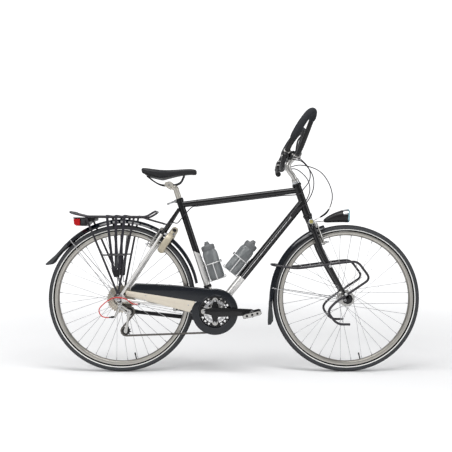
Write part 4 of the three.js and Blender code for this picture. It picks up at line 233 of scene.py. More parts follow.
def make_world():
    world = bpy.data.worlds.new("studio")
    world.use_nodes = True
    tree = world.node_tree
    background = tree.nodes["Background"]
    background.inputs["Color"].default_value = (0.985, 0.992, 1.0, 1)
    strength = seen_strength(tree, WORLD_LIGHT, WORLD_MIRRORED, WORLD_SEEN)
    tree.links.new(strength, background.inputs["Strength"])
    bpy.context.scene.world = world


def floor_material():
    """A white floor that keeps the bicycle's soft shadow and glows more as it goes away and up."""
    material = bpy.data.materials.new("studio_floor")
    material.use_nodes = True
    tree = material.node_tree
    shader = tree.nodes["Principled BSDF"]
    set_inputs(shader, Base_Color=(0.88, 0.88, 0.885, 1), Roughness=0.9, Specular_IOR_Level=0.1)
    set_inputs(shader, Emission_Color=(1, 1, 1, 1))
    place = tree.nodes.new("ShaderNodeNewGeometry").outputs["Position"]
    reach = link_node(tree, "VectorMath", {0: place, 1: GLOW_RISE}, operation="MULTIPLY")
    length = link_node(tree, "VectorMath", {0: reach.outputs["Vector"]}, operation="LENGTH")
    inputs = {"Value": length.outputs["Value"], "From Min": GLOW_START}
    inputs.update({"To Min": FLOOR_GLOW, "To Max": BACKDROP_GLOW})
    rise = link_node(tree, "MapRange", inputs)
    glow = maths(tree, "MULTIPLY", seen_strength(tree, 0.0, 0.0, 1.0), rise.outputs["Result"])
    tree.links.new(glow, shader.inputs["Emission Strength"])
    return material


def make_floor():
    profile = [(-FLOOR_HALF, 0.0), (BACKDROP_DEPTH - BACKDROP_BEND, 0.0)]
    for i in range(1, BEND_STEPS + 1):
        angle = math.pi / 2 * i / BEND_STEPS
        depth = BACKDROP_DEPTH - BACKDROP_BEND + BACKDROP_BEND * math.sin(angle)
        profile.append((depth, BACKDROP_BEND - BACKDROP_BEND * math.cos(angle)))
    profile.append((BACKDROP_DEPTH, BACKDROP_HEIGHT))
    mesh = bpy.data.meshes.new("studio_floor")
    points = [(x, y, z) for y, z in profile for x in (-FLOOR_HALF, FLOOR_HALF)]
    faces = [(2 * i, 2 * i + 1, 2 * i + 3, 2 * i + 2) for i in range(len(profile) - 1)]
    mesh.from_pydata(points, [], faces)
    mesh.polygons.foreach_set("use_smooth", [True] * len(faces))
    mesh.materials.append(floor_material())
    add_object("studio_floor", mesh)


def make_lamps():
    for name, (place, size, power) in LAMPS.items():
        data = bpy.data.lights.new(name, "AREA")
        data.shape = "RECTANGLE"
        data.size, data.size_y = size
        data.energy = power
        lamp = add_object(name, data)
        lamp.location = place
        lamp.rotation_euler = (LAMP_TARGET - Vector(place)).to_track_quat("-Z", "Y").to_euler()


make_camera()
make_world()
make_floor()
make_lamps()
bpy.context.scene.view_settings.view_transform = "Standard"


# Helpers that build the meshes

BOLT_STEPS = 24


class Shape:
    """Points and faces gathered for one mesh, each face with the number of its material."""

    def __init__(self):
        self.points = []
        self.faces = []
        self.marks = []

    def face(self, corners, mark):
        self.faces.append(corners)
        self.marks.append(mark)

    def rings(self, rings, mark=0, capped=True, looped=False, closed=True):
        """Skins a row of rings with the same number of points each."""
        count = len(rings[0])
        start = len(self.points)
        for ring in rings:
            self.points.extend(ring)
        for i in range(len(rings) if looped else len(rings) - 1):
            here = start + i * count
            there = start + ((i + 1) % len(rings)) * count
            for k in range(count if closed else count - 1):
                n = (k + 1) % count
                self.face((here + k, here + n, there + n, there + k), mark)
        if capped and not looped:
            self.face(tuple(start + k for k in reversed(range(count))), mark)
            last = start + (len(rings) - 1) * count
            self.face(tuple(last + k for k in range(count)), mark)
        return self

    def tube(self, path, radius, mark=0, sides=20, looped=False):
        """A round tube along a path; radius is one length or one for each point."""
        path = [Vector(p) for p in path]
        radii = radius if isinstance(radius, (list, tuple)) else [radius] * len(path)
        rings = []
        for place, (side, other), r in zip(path, path_frames(path, looped), radii):
            rings.append([place + side * (r * c) + other * (r * s) for c, s in circle(sides)])
        return self.rings(rings, mark, not looped, looped)

    def bar(self, middle, half, radius, mark, sides):
        """A round rod across the bicycle, so far either way from its middle."""
        return self.tube([middle - ACROSS * half, middle + ACROSS * half], radius, mark, sides)

    def band(self, path, half_width, half_thick, broad, mark=0):
        """A flat strip along a path, with its wide side towards the given direction."""
        path = [Vector(p) for p in path]
        rings = []
        for i, place in enumerate(path):
            heading = path_heading(path, i, False)
            wide = Vector(broad) - heading * Vector(broad).dot(heading)
            wide.normalize()
            thick = heading.cross(wide)
            corners = ((1, 1), (-1, 1), (-1, -1), (1, -1))
            rings.append([place + wide * (half_width * a) + thick * (half_thick * b) for a, b in corners])
        return self.rings(rings, mark)

    def lathe(self, profile, origin, axis, mark=0, steps=64, looped=False, sweep=TURN):
        """Turns (radius, along) pairs about an axis; looped joins the last pair to the first."""
        axis = Vector(axis).normalized()
        side, other = cross_pair(axis)
        origin = Vector(origin)
        full = sweep == TURN
        rings = []
        for i in range(steps if full else steps + 1):
            angle = sweep * i / steps
            out = side * math.cos(angle) + other * math.sin(angle)
            rings.append([origin + out * r + axis * a for r, a in profile])
        return self.rings(rings, mark, not full, full, looped)

    def prism(self, outline, depth, mark=0):
        """A flat outline pushed along a vector."""
        low = [Vector(p) for p in outline]
        return self.rings([low, [p + Vector(depth) for p in low]], mark)

    def holed(self, loops, mark=0):
        """A flat face with an outline and the holes in it."""
        start = len(self.points)
        for loop in loops:
            self.points.extend(loop)
        for a, b, c in tessellate_polygon(loops):
            self.face((start + a, start + b, start + c), mark)

    def holed_plate(self, near, far, mark=0):
        """A plate between two like sets of loops: its two faces, its edge and the walls of its holes."""
        self.holed(near, mark)
        self.holed(far, mark)
        for pair in zip(near, far):
            self.rings(pair, mark, False)

    def bolt(self, place, axis, radius, height, mark=0, socket=True):
        """A domed screw head with a hexagonal socket in it."""
        axis = Vector(axis).normalized()
        profile = [(0, 0), (radius, 0), (radius, height * 0.6), (radius * 0.8, height)]
        profile.append((radius * 0.5, height))
        self.lathe(profile, place, axis, mark, BOLT_STEPS)
        side, other = cross_pair(axis)
        head = Vector(place) + axis * height
        round_rim = circle(BOLT_STEPS)
        top = [head + (side * c + other * s) * (radius * 0.5) for c, s in round_rim]
        if not socket:
            return self.face_ring(top, mark)
        flat = BOLT_STEPS // 6
        edge = []
        for i in range(BOLT_STEPS):
            low, part = i // flat * flat, i % flat / flat
            high = (low + flat) % BOLT_STEPS
            c, s = (round_rim[low][j] * (1 - part) + round_rim[high][j] * part for j in (0, 1))
            edge.append(head + (side * c + other * s) * (radius * 0.45))
        deep = [p - axis * height * 0.5 for p in edge]
        self.rings([top, edge, deep], mark, False)
        return self.face_ring(deep, mark)

    def face_ring(self, ring, mark):
        start = len(self.points)
        self.points.extend(ring)
        self.face(tuple(range(start, start + len(ring))), mark)
        return self


def circle(sides):
    return [(math.cos(TURN * k / sides), math.sin(TURN * k / sides)) for k in range(sides)]


def cross_pair(axis):
    """Two directions square to an axis and to each other."""
    axis = Vector(axis).normalized()
    guide = Vector((0, 0, 1)) if abs(axis.z) < 0.9 else AHEAD
    side = (guide - axis * guide.dot(axis)).normalized()
    return side, axis.cross(side)


def path_heading(path, i, looped):
    count = len(path)
    before = path[(i - 1) % count] if looped else path[max(i - 1, 0)]
    after = path[(i + 1) % count] if looped else path[min(i + 1, count - 1)]
    return (after - before).normalized()


def path_frames(path, looped=False):
    """Side directions at each point of a path, carried along without twisting."""
    frames = []
    side = None
    for i in range(len(path)):
        heading = path_heading(path, i, looped)
        if side is None:
            side = cross_pair(heading)[0]
        side = (side - heading * side.dot(heading)).normalized()
        frames.append((side, heading.cross(side)))
    return frames


def lerp(a, b, share):
    return a + (b - a) * share


def flat_at(place, side):
    """The same place, moved across the bicycle to the given side."""
    return Vector((place.x, side, place.z))


def smooth_path(points, steps=8, looped=False):
    """A centripetal curve through the points."""
    points = [Vector(p) for p in points]
    count = len(points)
    path = []
    for i in range(count if looped else count - 1):
        if looped:
            a, b, c, d = (points[(i + k) % count] for k in (-1, 0, 1, 2))
        else:
            b, c = points[i], points[i + 1]
            a = points[i - 1] if i else b * 2 - c
            d = points[i + 2] if i + 2 < count else c * 2 - b
        ta = 0.0
        tb = ta + max((b - a).length, 1e-9) ** 0.5
        tc = tb + max((c - b).length, 1e-9) ** 0.5
        td = tc + max((d - c).length, 1e-9) ** 0.5

        def between(p, q, low, high, t):
            return p * ((high - t) / (high - low)) + q * ((t - low) / (high - low))

        for k in range(steps):
            t = tb + (tc - tb) * k / steps
            ab, bc, cd = between(a, b, ta, tb, t), between(b, c, tb, tc, t), between(c, d, tc, td, t)
            path.append(between(between(ab, bc, ta, tc, t), between(bc, cd, tb, td, t), tb, tc, t))
    if not looped:
        path.append(points[-1])
    return path


def corner(a, b, c, reach, steps, most=0.49):
    """A rounded corner at b that starts and ends no further than reach from it."""
    before = b + (a - b).normalized() * min(reach, (b - a).length * most)
    after = b + (c - b).normalized() * min(reach, (c - b).length * most)
    turns = [k / steps for k in range(steps + 1)]
    return [before * ((1 - t) ** 2) + b * (2 * t * (1 - t)) + after * (t * t) for t in turns]


def rounded(points, reach, steps=6):
    """A path of straight runs with rounded corners."""
    points = [Vector(p) for p in points]
    path = [points[0]]
    for a, b, c in zip(points, points[1:], points[2:]):
        path += corner(a, b, c, reach, steps)
    return path + [points[-1]]


def rounded_loop(points, reach, steps, most):
    path = []
    for i, b in enumerate(points):
        path += corner(points[i - 1], b, points[(i + 1) % len(points)], reach, steps, most)
    return path


def resample(path, count):
    """The same path with its points evenly spaced."""
    lengths = [0.0]
    for a, b in zip(path, path[1:]):
        lengths.append(lengths[-1] + (b - a).length)
    spaced = []
    k = 0
    for i in range(count):
        goal = lengths[-1] * i / (count - 1)
        while k < len(path) - 2 and lengths[k + 1] < goal:
            k += 1
        span = max(lengths[k + 1] - lengths[k], 1e-12)
        spaced.append(lerp(path[k], path[k + 1], min(max((goal - lengths[k]) / span, 0), 1)))
    return spaced


def smooth_rows(rows, steps):
    """A table of numbers made finer by a smooth curve through its rows."""
    heads = smooth_path([Vector(r[:3]) for r in rows], steps)
    if len(rows[0]) < 4:
        return [tuple(h) for h in heads]
    tails = smooth_path([Vector((r[0], r[3], 0)) for r in rows], steps)
    return [(h.x, h.y, h.z, t.y) for h, t in zip(heads, tails)]


def hull_outline(circles, side):
    """The outline round several circles in an upright plane, each given as its centre and radius."""
    spots = sorted({(p.x + r * c, p.z + r * s) for p, r in circles for c, s in circle(32)})

    def chain(run):
        line = []
        for spot in run:
            while len(line) > 1 and turn_of(line[-2], line[-1], spot) <= 0:
                line.pop()
            line.append(spot)
        return line[:-1]

    return [Vector((x, side, z)) for x, z in chain(spots) + chain(spots[::-1])]


def turn_of(a, b, c):
    return (b[0] - a[0]) * (c[1] - a[1]) - (b[1] - a[1]) * (c[0] - a[0])


def around(centre, angle, radius, side=0.0):
    """A place beside an axle, at an angle from straight ahead."""
    return centre + Vector((math.cos(angle) * radius, side, math.sin(angle) * radius))


def bevel_edges(made, width, degrees, harden):
    edge = made.modifiers.new("edge", "BEVEL")
    edge.width = width
    edge.segments = 2
    edge.limit_method = "ANGLE"
    edge.angle_limit = math.radians(degrees)
    edge.harden_normals = harden


def piece(name, shape, body, materials, replaces=(), bevel=0.0, angle=SHARP_DEG):
    """Makes one object from a shape, shaded smooth but for its sharp edges, and lets it ride on a body."""
    mesh = bpy.data.meshes.new(name)
    mesh.from_pydata([tuple(p) for p in shape.points], [], shape.faces)
    for material in materials:
        mesh.materials.append(material)
    mesh.polygons.foreach_set("material_index", shape.marks)
    model = bmesh.new()
    model.from_mesh(mesh)
    bmesh.ops.remove_doubles(model, verts=model.verts, dist=0.01 * MM)
    bmesh.ops.dissolve_degenerate(model, edges=model.edges, dist=0.005 * MM)
    bmesh.ops.recalc_face_normals(model, faces=model.faces)
    model.to_mesh(mesh)
    model.free()
    mesh.polygons.foreach_set("use_smooth", [True] * len(mesh.polygons))
    mesh.set_sharp_from_angle(angle=math.radians(angle))
    made = add_object(name, mesh)
    if bevel:
        bevel_edges(made, bevel, angle, True)
    if isinstance(body, str):
        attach(made, body)
    else:
        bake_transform(made)
    if replaces:
        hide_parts(*replaces)
    return made


def smooth_group():
    """Modifier nodes that shade a node of the frame smooth but for its sharp edges."""
    group = bpy.data.node_groups.new("shade_by_angle", "GeometryNodeTree")
    for way in ("INPUT", "OUTPUT"):
        group.interface.new_socket("Geometry", in_out=way, socket_type="NodeSocketGeometry")
    kinds = ("NodeGroupInput", "NodeGroupOutput", "GeometryNodeSetShadeSmooth", "GeometryNodeSetShadeSmooth",
             "GeometryNodeInputMeshEdgeAngle", "FunctionNodeCompare")
    start, end, faces, edges, angle, compare = (group.nodes.new(kind) for kind in kinds)
    edges.domain = "EDGE"
    compare.operation = "LESS_THAN"
    compare.inputs["B"].default_value = math.radians(SHARP_DEG)
    for output, socket in (
        (angle.outputs["Unsigned Angle"], compare.inputs["A"]),
        (start.outputs[0], faces.inputs["Geometry"]),
        (faces.outputs[0], edges.inputs["Geometry"]),
        (compare.outputs["Result"], edges.inputs["Shade Smooth"]),
        (edges.outputs[0], end.inputs[0]),
    ):
        group.links.new(output, socket)
    return group


SMOOTH = smooth_group()
PLAIN_DEG = 0.6
NODE_BEVEL_DEG = 38


def dress(node, material, bevel):
    """Gives a node of the frame its material, joins its split corners, and rounds its edges a little."""
    kept = frame["nodes"][node]
    kept.data.materials.clear()
    kept.data.materials.append(material)
    normals = kept.data.attributes.get("custom_normal")
    if normals:
        kept.data.attributes.remove(normals)
    kept.modifiers.new("join", "WELD").merge_threshold = 0.01 * MM
    plain = kept.modifiers.new("plain", "DECIMATE")
    plain.decimate_type = "DISSOLVE"
    plain.angle_limit = math.radians(PLAIN_DEG)
    if bevel:
        bevel_edges(kept, bevel, NODE_BEVEL_DEG, False)
    kept.modifiers.new("shade", "NODES").node_group = SMOOTH


# Finishes

RIM_LINE_PITCH = 0.0012
TYRE_COLOURS = [
    (0.02, 0.02, 0.022), (0.01, 0.01, 0.011), (0.85, 0.85, 0.83), (0.05, 0.052, 0.056), (0.03, 0.031, 0.034),
]
TYRE_LIMITS = [RIM_RADIUS + 2 * MM, RIM_RADIUS + 6.4 * MM, RIM_RADIUS + 10 * MM, TYRE_RADIUS - 7 * MM]


def finish(name, colour, metallic=0.0, roughness=0.5, grain=0.0, grain_size=0.002, bump=0.0, coat=0.0,
           tint=0.0, shine=0.5):
    """A shader whose roughness, colour and relief vary a little with a noise of the given size."""
    material = bpy.data.materials.new(name)
    material.use_nodes = True
    tree = material.node_tree
    shader = tree.nodes["Principled BSDF"]
    set_inputs(shader, Base_Color=(*colour, 1), Metallic=metallic, Coat_Weight=coat, Coat_Roughness=0.06)
    set_inputs(shader, Specular_IOR_Level=shine)
    place = tree.nodes.new("ShaderNodeTexCoord").outputs["Object"]
    noise = {"Scale": 1 / grain_size, "Detail": 3, "Vector": place}
    noise = link_node(tree, "TexNoise", noise).outputs["Fac"]
    span = {"To Min": max(roughness - grain, 0.02), "To Max": min(roughness + grain, 1), "Value": noise}
    tree.links.new(link_node(tree, "MapRange", span).outputs["Result"], shader.inputs["Roughness"])
    if tint:
        dark = (*[c * (1 - tint) for c in colour], 1)
        light = (*[min(c * (1 + tint), 1) for c in colour], 1)
        tree.links.new(colour_mix(tree, noise, dark, light), shader.inputs["Base Color"])
    if bump:
        add_relief(tree, noise, bump, grain_size / 2)
    return material


def add_relief(tree, height, strength, distance):
    relief = link_node(tree, "Bump", {"Strength": strength, "Distance": distance, "Height": height})
    tree.links.new(relief.outputs["Normal"], tree.nodes["Principled BSDF"].inputs["Normal"])


def see_through(name, colour, roughness, clear_share):
    """A clear or smoky plastic: partly glass, partly a plain tinted skin."""
    material = finish(name, colour, 0, roughness, 0.05, 0.004)
    set_inputs(material.node_tree.nodes["Principled BSDF"], Transmission_Weight=clear_share, IOR=1.35)
    return material


def from_axle(tree, centre, stretch=(1, 0, 1)):
    """The distance from an axle, after each direction is stretched."""
    place = tree.nodes.new("ShaderNodeTexCoord").outputs["Object"]
    away = link_node(tree, "VectorMath", {0: place, 1: centre}, operation="SUBTRACT")
    flat = link_node(tree, "VectorMath", {0: away.outputs["Vector"], 1: stretch}, operation="MULTIPLY")
    return link_node(tree, "VectorMath", {0: flat.outputs["Vector"]}, operation="LENGTH").outputs["Value"]


def banded_rubber(name, centre):
    """Rubber whose colour changes with the distance from a wheel's axle."""
    material = finish(name, TYRE_COLOURS[0], 0, 0.72, 0.08, 0.0015, 0.25, shine=0.2)
    tree = material.node_tree
    length = from_axle(tree, centre)
    shade = (*TYRE_COLOURS[0], 1)
    for limit, colour in zip(TYRE_LIMITS, TYRE_COLOURS[1:]):
        shade = colour_mix(tree, maths(tree, "GREATER_THAN", length, limit), shade, (*colour, 1))
    tree.links.new(shade, tree.nodes["Principled BSDF"].inputs["Base Color"])
    return material


def ringed_metal(name, light, dark, centre, pitch, gap_shade_share):
    """Metal in rings around an axle: a light face for each sprocket and a dark ring of painted shade for the
    gap between sprockets.
    """
    material = finish(name, light, 0.9, 0.3, 0.08, 0.003)
    tree = material.node_tree
    rest = maths(tree, "FRACT", from_axle(tree, centre, (1 / pitch, 0, 1 / pitch)))
    # The dark colour is painted shade: it stands for the shadowed gaps between the sprockets.
    shade = colour_mix(tree, maths(tree, "LESS_THAN", rest, gap_shade_share), (*light, 1), (*dark, 1))
    tree.links.new(shade, tree.nodes["Principled BSDF"].inputs["Base Color"])
    return material


def rim_metal(name, centre):
    """Brushed rim metal with fine turned lines around the axle."""
    material = finish(name, (0.52, 0.50, 0.46), 0.95, 0.32, 0.08, 0.004)
    tree = material.node_tree
    fine = maths(tree, "MULTIPLY", from_axle(tree, centre, (1, 1, 1)), TURN / RIM_LINE_PITCH)
    add_relief(tree, maths(tree, "SINE", fine), 0.08, 0.3 * MM)
    return material


BLACK_PAINT = finish("black_paint", (0.004, 0.004, 0.005), 0, 0.13, 0.03, 0.006, shine=0.5)
SATIN_BLACK = finish("satin_black", (0.006, 0.006, 0.007), 0, 0.34, 0.08, 0.003, shine=0.4)
SILVER_PAINT = finish("silver_paint", (0.74, 0.73, 0.71), 0.7, 0.3, 0.06, 0.0012, 0.02, 0.3, 0.04)
STEM_SILVER = finish("stem_silver", (0.58, 0.57, 0.55), 0.95, 0.26, 0.06, 0.004)
POST_SILVER = finish("post_silver", (0.64, 0.61, 0.55), 0.85, 0.36, 0.06, 0.004)
ALLOY = finish("alloy", (0.58, 0.57, 0.55), 0.97, 0.26, 0.08, 0.003)
STEEL = finish("steel", (0.5, 0.5, 0.51), 0.95, 0.28, 0.06, 0.003)
CHAIN_STEEL = finish("chain_steel", (0.13, 0.12, 0.11), 0.85, 0.4, 0.1, 0.002, 0, 0, 0.2)
GOLD_ALLOY = finish("gold_alloy", (0.62, 0.55, 0.22), 0.8, 0.3, 0.05, 0.003)
CHROME = finish("chrome", (0.8, 0.82, 0.84), 1.0, 0.1, 0.03, 0.004)
BEZEL = finish("lamp_bezel", (0.3, 0.5, 0.56), 0.7, 0.2, 0.05, 0.004)
BLACK_ALLOY = finish("black_alloy", (0.008, 0.008, 0.009), 0.1, 0.24, 0.06, 0.003, shine=0.4)
RACK_PAINT = finish("rack_paint", (0.016, 0.014, 0.019), 0, 0.28, 0.06, 0.003, shine=0.6)
STRAP_RUBBER = finish("strap_rubber", (0.02, 0.019, 0.026), 0, 0.6, 0.1, 0.004, 0.3, 0, 0.6, shine=0.3)
DARK_GREY = finish("dark_grey_plastic", (0.04, 0.042, 0.046), 0, 0.5, 0.08, 0.002, 0.05, shine=0.25)
FOAM = finish("foam", (0.028, 0.030, 0.034), 0, 0.92, 0.05, 0.0012, 0.5, 0, 0.2, shine=0.15)
SADDLE_COVER = finish("saddle_cover", (0.016, 0.016, 0.018), 0, 0.5, 0.08, 0.0009, 0.12, shine=0.3)
BLACK_PLASTIC = finish("black_plastic", (0.007, 0.007, 0.008), 0, 0.32, 0.08, 0.002, 0.02, shine=0.35)
GUARD_BLACK = finish("guard_black", (0.003, 0.005, 0.009), 0, 0.14, 0.04, 0.01, shine=0.5)
GUARD_RUBBER = finish("flap_rubber", (0.05, 0.053, 0.056), 0, 0.62, 0.08, 0.002, 0.08, shine=0.2)
PALE_PLASTIC = finish("pale_plastic", (0.66, 0.6, 0.5), 0, 0.42, 0.08, 0.02, 0, 0, 0.06)
BEIGE_PLASTIC = finish("beige_plastic", (0.46, 0.41, 0.31), 0.25, 0.36, 0.08, 0.004)
WHITE_WIRE = finish("pale_wire", (0.72, 0.72, 0.72), 0.5, 0.33, 0.06, 0.003)
RED_LENS = see_through("red_lens", (0.6, 0.012, 0.015), 0.15, 0.25)
CLEAR_LENS = see_through("clear_lens", (0.86, 0.95, 0.98), 0.08, 0.7)
REFLECTOR = finish("reflector", (0.75, 0.8, 0.82), 0.6, 0.15, 0.05, 0.003)
BOTTLE_PLASTIC = see_through("bottle_plastic", (0.3, 0.315, 0.32), 0.12, 0.45)
BOTTLE_LOWER = see_through("bottle_lower", (0.17, 0.18, 0.185), 0.12, 0.2)
BOTTLE_LID = finish("bottle_lid", (0.14, 0.145, 0.15), 0, 0.45, 0.08, 0.003)
CABLE_HOUSING = finish("cable_housing", (0.022, 0.019, 0.025), 0, 0.45, 0.05, 0.002, shine=0.3)
RED_HOUSING = finish("red_housing", (0.55, 0.02, 0.02), 0, 0.4, 0.06, 0.002)
BOOT_RUBBER = finish("boot_rubber", (0.012, 0.012, 0.013), 0, 0.65, 0.06, 0.002, shine=0.2)
FRONT_TYRE = banded_rubber("front_tyre", FRONT)
REAR_TYRE = banded_rubber("rear_tyre", REAR)
# Sprockets: pale metal, with rings of painted shade in the dark colour for the gaps between them.
SPROCKETS = ringed_metal("sprockets", (0.66, 0.61, 0.52), (0.1, 0.09, 0.08), REAR, 5.2 * MM, 0.36)
DARK_RIM = finish("rim_sides", (0.3, 0.285, 0.26), 0.9, 0.36, 0.08, 0.004)
FRONT_RIM = rim_metal("front_rim", FRONT)
REAR_RIM = rim_metal("rear_rim", REAR)


# The frame's tubes, in two colours

BLACK, SILVER, TRIM, STEEL_PART, GOLD_PART = range(5)
SEAT_TUBE_CUT = 291 * MM
SEAT_TUBE_SLANT = 13 * MM
DOWN_TUBE_CUT = 201 * MM
SEAT_STAY_CUT_HEIGHT = 657 * MM
DROPOUT_SEAT_FOOT = REAR + mm(10.5, 0, 24)
DROPOUT_CHAIN_FOOT = REAR + mm(27, 0, -2.25)
HANGER = REAR + mm(4.5, 0, -29)
STAY_FOOT_SIDE = 70.5 * MM
STAY_STEPS = 60
KICKSTAND_BLOCK = lerp(BRACKET, REAR, 0.15)
CHAIN_STAY_START = Vector((-12.6 * MM, 26 * MM, 0))
GUARD_BOSS = lerp(BRACKET + CHAIN_STAY_START * Vector((1, -1, 1)),
                  DROPOUT_CHAIN_FOOT - ACROSS * STAY_FOOT_SIDE, 0.45)
BOLT_HEIGHTS = (195 * MM, 259 * MM)
CLIP_SHARES = (0.14, 0.8)


def stay_direction():
    """The way up the seat stays, seen from the side."""
    up = SEAT_STAY_TOP - (REAR + Vector((DROPOUT_RADIUS * 0.7, 0, DROPOUT_RADIUS * 1.6)))
    up.y = 0
    return up.normalized()


STAY_UP = stay_direction()
STAY_BACK = Vector((-STAY_UP.z, 0, STAY_UP.x))


def cut_tube(shape, start, end, radius, cut, slant, fore, sides=32):
    """A silver tube that turns black at a length along it, on an edge that slants from back to front."""
    up = (end - start).normalized()
    fore = (fore - up * fore.dot(up)).normalized()
    other = up.cross(fore)

    def ring(along, lean):
        return [start + up * (along + lean * c) + fore * (radius * c) + other * (radius * s)
                for c, s in circle(sides)]

    shape.rings([ring(0, 0), ring(cut, -slant)], SILVER)
    shape.rings([ring(cut, -slant), ring((end - start).length, 0)], BLACK)


def frame_main_tubes(shape):
    head_low, head_high = on_steer(HEAD_FOOT), on_steer(HEAD_TOP)
    shape.tube([head_low, head_high], HEAD_RADIUS, BLACK, 40)
    wide, narrow, high = HEAD_CUP_RADIUS, HEAD_CUP_RADIUS * 0.92, HEAD_CUP_HEIGHT
    cup = [(HEAD_RADIUS + 0.6 * MM, 0), (wide, 3 * MM), (wide, 6 * MM), (narrow, high - 1 * MM),
           (narrow - 1 * MM, high), (15 * MM, high), (15 * MM, 0)]
    for place, way in ((head_low, -1), (head_high, 1)):
        shape.lathe(cup, place, STEER_UP * way, TRIM, 48, True)
    cut_tube(shape, BRACKET, DOWN_TUBE_TOP, DOWN_TUBE_RADIUS, DOWN_TUBE_CUT, 0, DOWN_FORE)
    seat_top = on_seat(SEAT_TUBE_LENGTH)
    cut_tube(shape, BRACKET, seat_top, SEAT_TUBE_RADIUS, SEAT_TUBE_CUT, SEAT_TUBE_SLANT, SEAT_FORE)
    shape.tube([TOP_TUBE_BACK, TOP_TUBE_FRONT], TOP_TUBE_RADIUS, BLACK, 32)
    collar = in_mm((13.9, -16), (19, -16), (19.4, -15), (19.4, -1), (19, 0), (13.9, 0))
    shape.lathe(collar, seat_top, SEAT_UP, TRIM, 40, True)


def frame_seat_stay(shape, side):
    top = SEAT_STAY_TOP + ACROSS * (side * 11.13 * MM)
    shoulder = lerp(SEAT_STAY_TOP, DROPOUT_SEAT_FOOT, 0.16) + ACROSS * (side * STAY_SPREAD)
    foot = DROPOUT_SEAT_FOOT + ACROSS * (side * STAY_FOOT_SIDE)
    turns = [top, lerp(top, shoulder, 0.6), shoulder, lerp(shoulder, foot, 0.5), foot]
    path = resample(smooth_path(turns, 10), STAY_STEPS)
    shares = [i / (STAY_STEPS - 1) for i in range(STAY_STEPS)]
    radii = [SEAT_STAY_RADIUS * (1 - 0.12 * max(0, share - 0.6) / 0.4) for share in shares]
    cut = next(i for i, p in enumerate(path) if p.z < SEAT_STAY_CUT_HEIGHT)
    shape.tube(path[:cut + 1], radii[:cut + 1], BLACK, 20)
    shape.tube(path[cut:], radii[cut:], SILVER, 20)


def frame_chain_stay(shape, side):
    near = BRACKET + CHAIN_STAY_START * Vector((1, side, 1))
    far = DROPOUT_CHAIN_FOOT + ACROSS * (side * STAY_FOOT_SIDE)
    waist = flat_at(lerp(near, far, 0.22), side * STAY_SPREAD)
    path = smooth_path([near, waist, lerp(waist, far, 0.5), far], 12)
    shape.tube(path, [CHAIN_STAY_RADIUS * (1.15 - 0.3 * i / len(path)) for i in range(len(path))], SILVER, 20)


def frame_dropout(shape, side):
    """A dropout plate; the right one also carries the derailleur's hanger."""
    inside = side * DROPOUT_SIDE
    thick = ACROSS * (side * DROPOUT_THICKNESS)
    if side < 0:
        shape.prism(hull_outline([(REAR, 10 * MM), (HANGER, 9 * MM)], inside), thick, SILVER)
    circles = [(REAR, DROPOUT_RADIUS), (DROPOUT_SEAT_FOOT, 7.6 * MM), (DROPOUT_CHAIN_FOOT, 8.1 * MM)]
    shape.prism(hull_outline(circles, inside), thick, SILVER)
    screw = lerp(REAR, DROPOUT_SEAT_FOOT, 0.8) + ACROSS * (inside + side * DROPOUT_THICKNESS)
    shape.lathe(in_mm((0, 0), (5.6, 0), (5.2, 4), (0, 4.4)), screw, ACROSS * side, STEEL_PART, 20)


def frame_bracket(shape):
    """The bottom bracket shell, the boss of the chain guard, and the kickstand's block and plate."""
    inner, half = SHELL_RADIUS - 1 * MM, SHELL_HALF
    shell = [(0, -half), (inner, -half), (SHELL_RADIUS, -half + 1.5 * MM), (SHELL_RADIUS, half - 1.5 * MM),
             (inner, half), (0, half)]
    shape.lathe(shell, BRACKET, ACROSS, SILVER, 48)
    shape.tube([GUARD_BOSS, flat_at(GUARD_BOSS, -61.2 * MM)], 4 * MM, STEEL_PART, 16)
    along = (REAR - BRACKET).normalized()
    up = ACROSS.cross(along)
    up = up if up.z > 0 else -up
    block = []
    for a, b in ((-1, -1), (1, -1), (1, 1), (-1, 1)):
        block.append(KICKSTAND_BLOCK + along * (13.8 * MM * a) + up * (5.5 * MM * b) - ACROSS * 33.8 * MM)
    shape.prism(block, ACROSS * 67.6 * MM, SILVER)
    plate = [p + ACROSS * (61.9 * MM) for p in block]
    lower = [p - up * (25 * MM if i < 2 else 0) for i, p in enumerate(plate)]
    shape.prism(lower, ACROSS * 9.9 * MM, STEEL_PART)


def brake_bosses(shape, out, joint, reach):
    """The two pivots that a pair of brake arms turns on."""
    base = flat_at(pivot_of(joint), 0)
    for side in BOTH:
        foot = base + ACROSS * (side * 36 * MM)
        shape.tube([foot, foot + out * reach], 3.9 * MM, STEEL_PART, 16)
        shape.tube([foot, foot + out * 6 * MM], 7 * MM, STEEL_PART, 20)


def frame_fittings(shape):
    """Cable clips on the top tube, the quick release of the seat collar and the bolts of the bottle cages."""
    run = TOP_TUBE_FRONT - TOP_TUBE_BACK
    low, high = TOP_TUBE_RADIUS - 0.4 * MM, TOP_TUBE_RADIUS + 0.8 * MM
    clip = [(low, -3 * MM), (high, -3 * MM), (high, 3 * MM), (low, 3 * MM)]
    for share in CLIP_SHARES:
        shape.lathe(clip, TOP_TUBE_BACK + run * share, run.normalized(), TRIM, 32, True)
    foot = on_seat(SEAT_TUBE_LENGTH - 8 * MM, -19 * MM)
    shape.bar(foot, 19 * MM, 4.2 * MM, STEEL_PART, 20)
    cam = in_mm((0, 0), (7.5, 0), (7.5, 5), (5, 8), (0, 8.5))
    shape.lathe(cam, foot - ACROSS * 17 * MM, -ACROSS, STEEL_PART, 24)
    arm = [foot + mm(*step) for step in ((0, -22, 0), (-12, -24, -4), (-26, -22, -9), (-38, -17, -14))]
    shape.band(smooth_path(arm, 6), 4.4 * MM, 1.6 * MM, (0.2, 0, 1), STEEL_PART)
    tubes = ((on_seat, SEAT_TUBE_RADIUS, SEAT_FORE), (on_down, DOWN_TUBE_RADIUS, DOWN_FORE))
    for on_tube, radius, out in tubes:
        for height in BOLT_HEIGHTS:
            shape.bolt(on_tube(height, radius - 1 * MM), out, 4.2 * MM, 3.4 * MM, STEEL_PART)


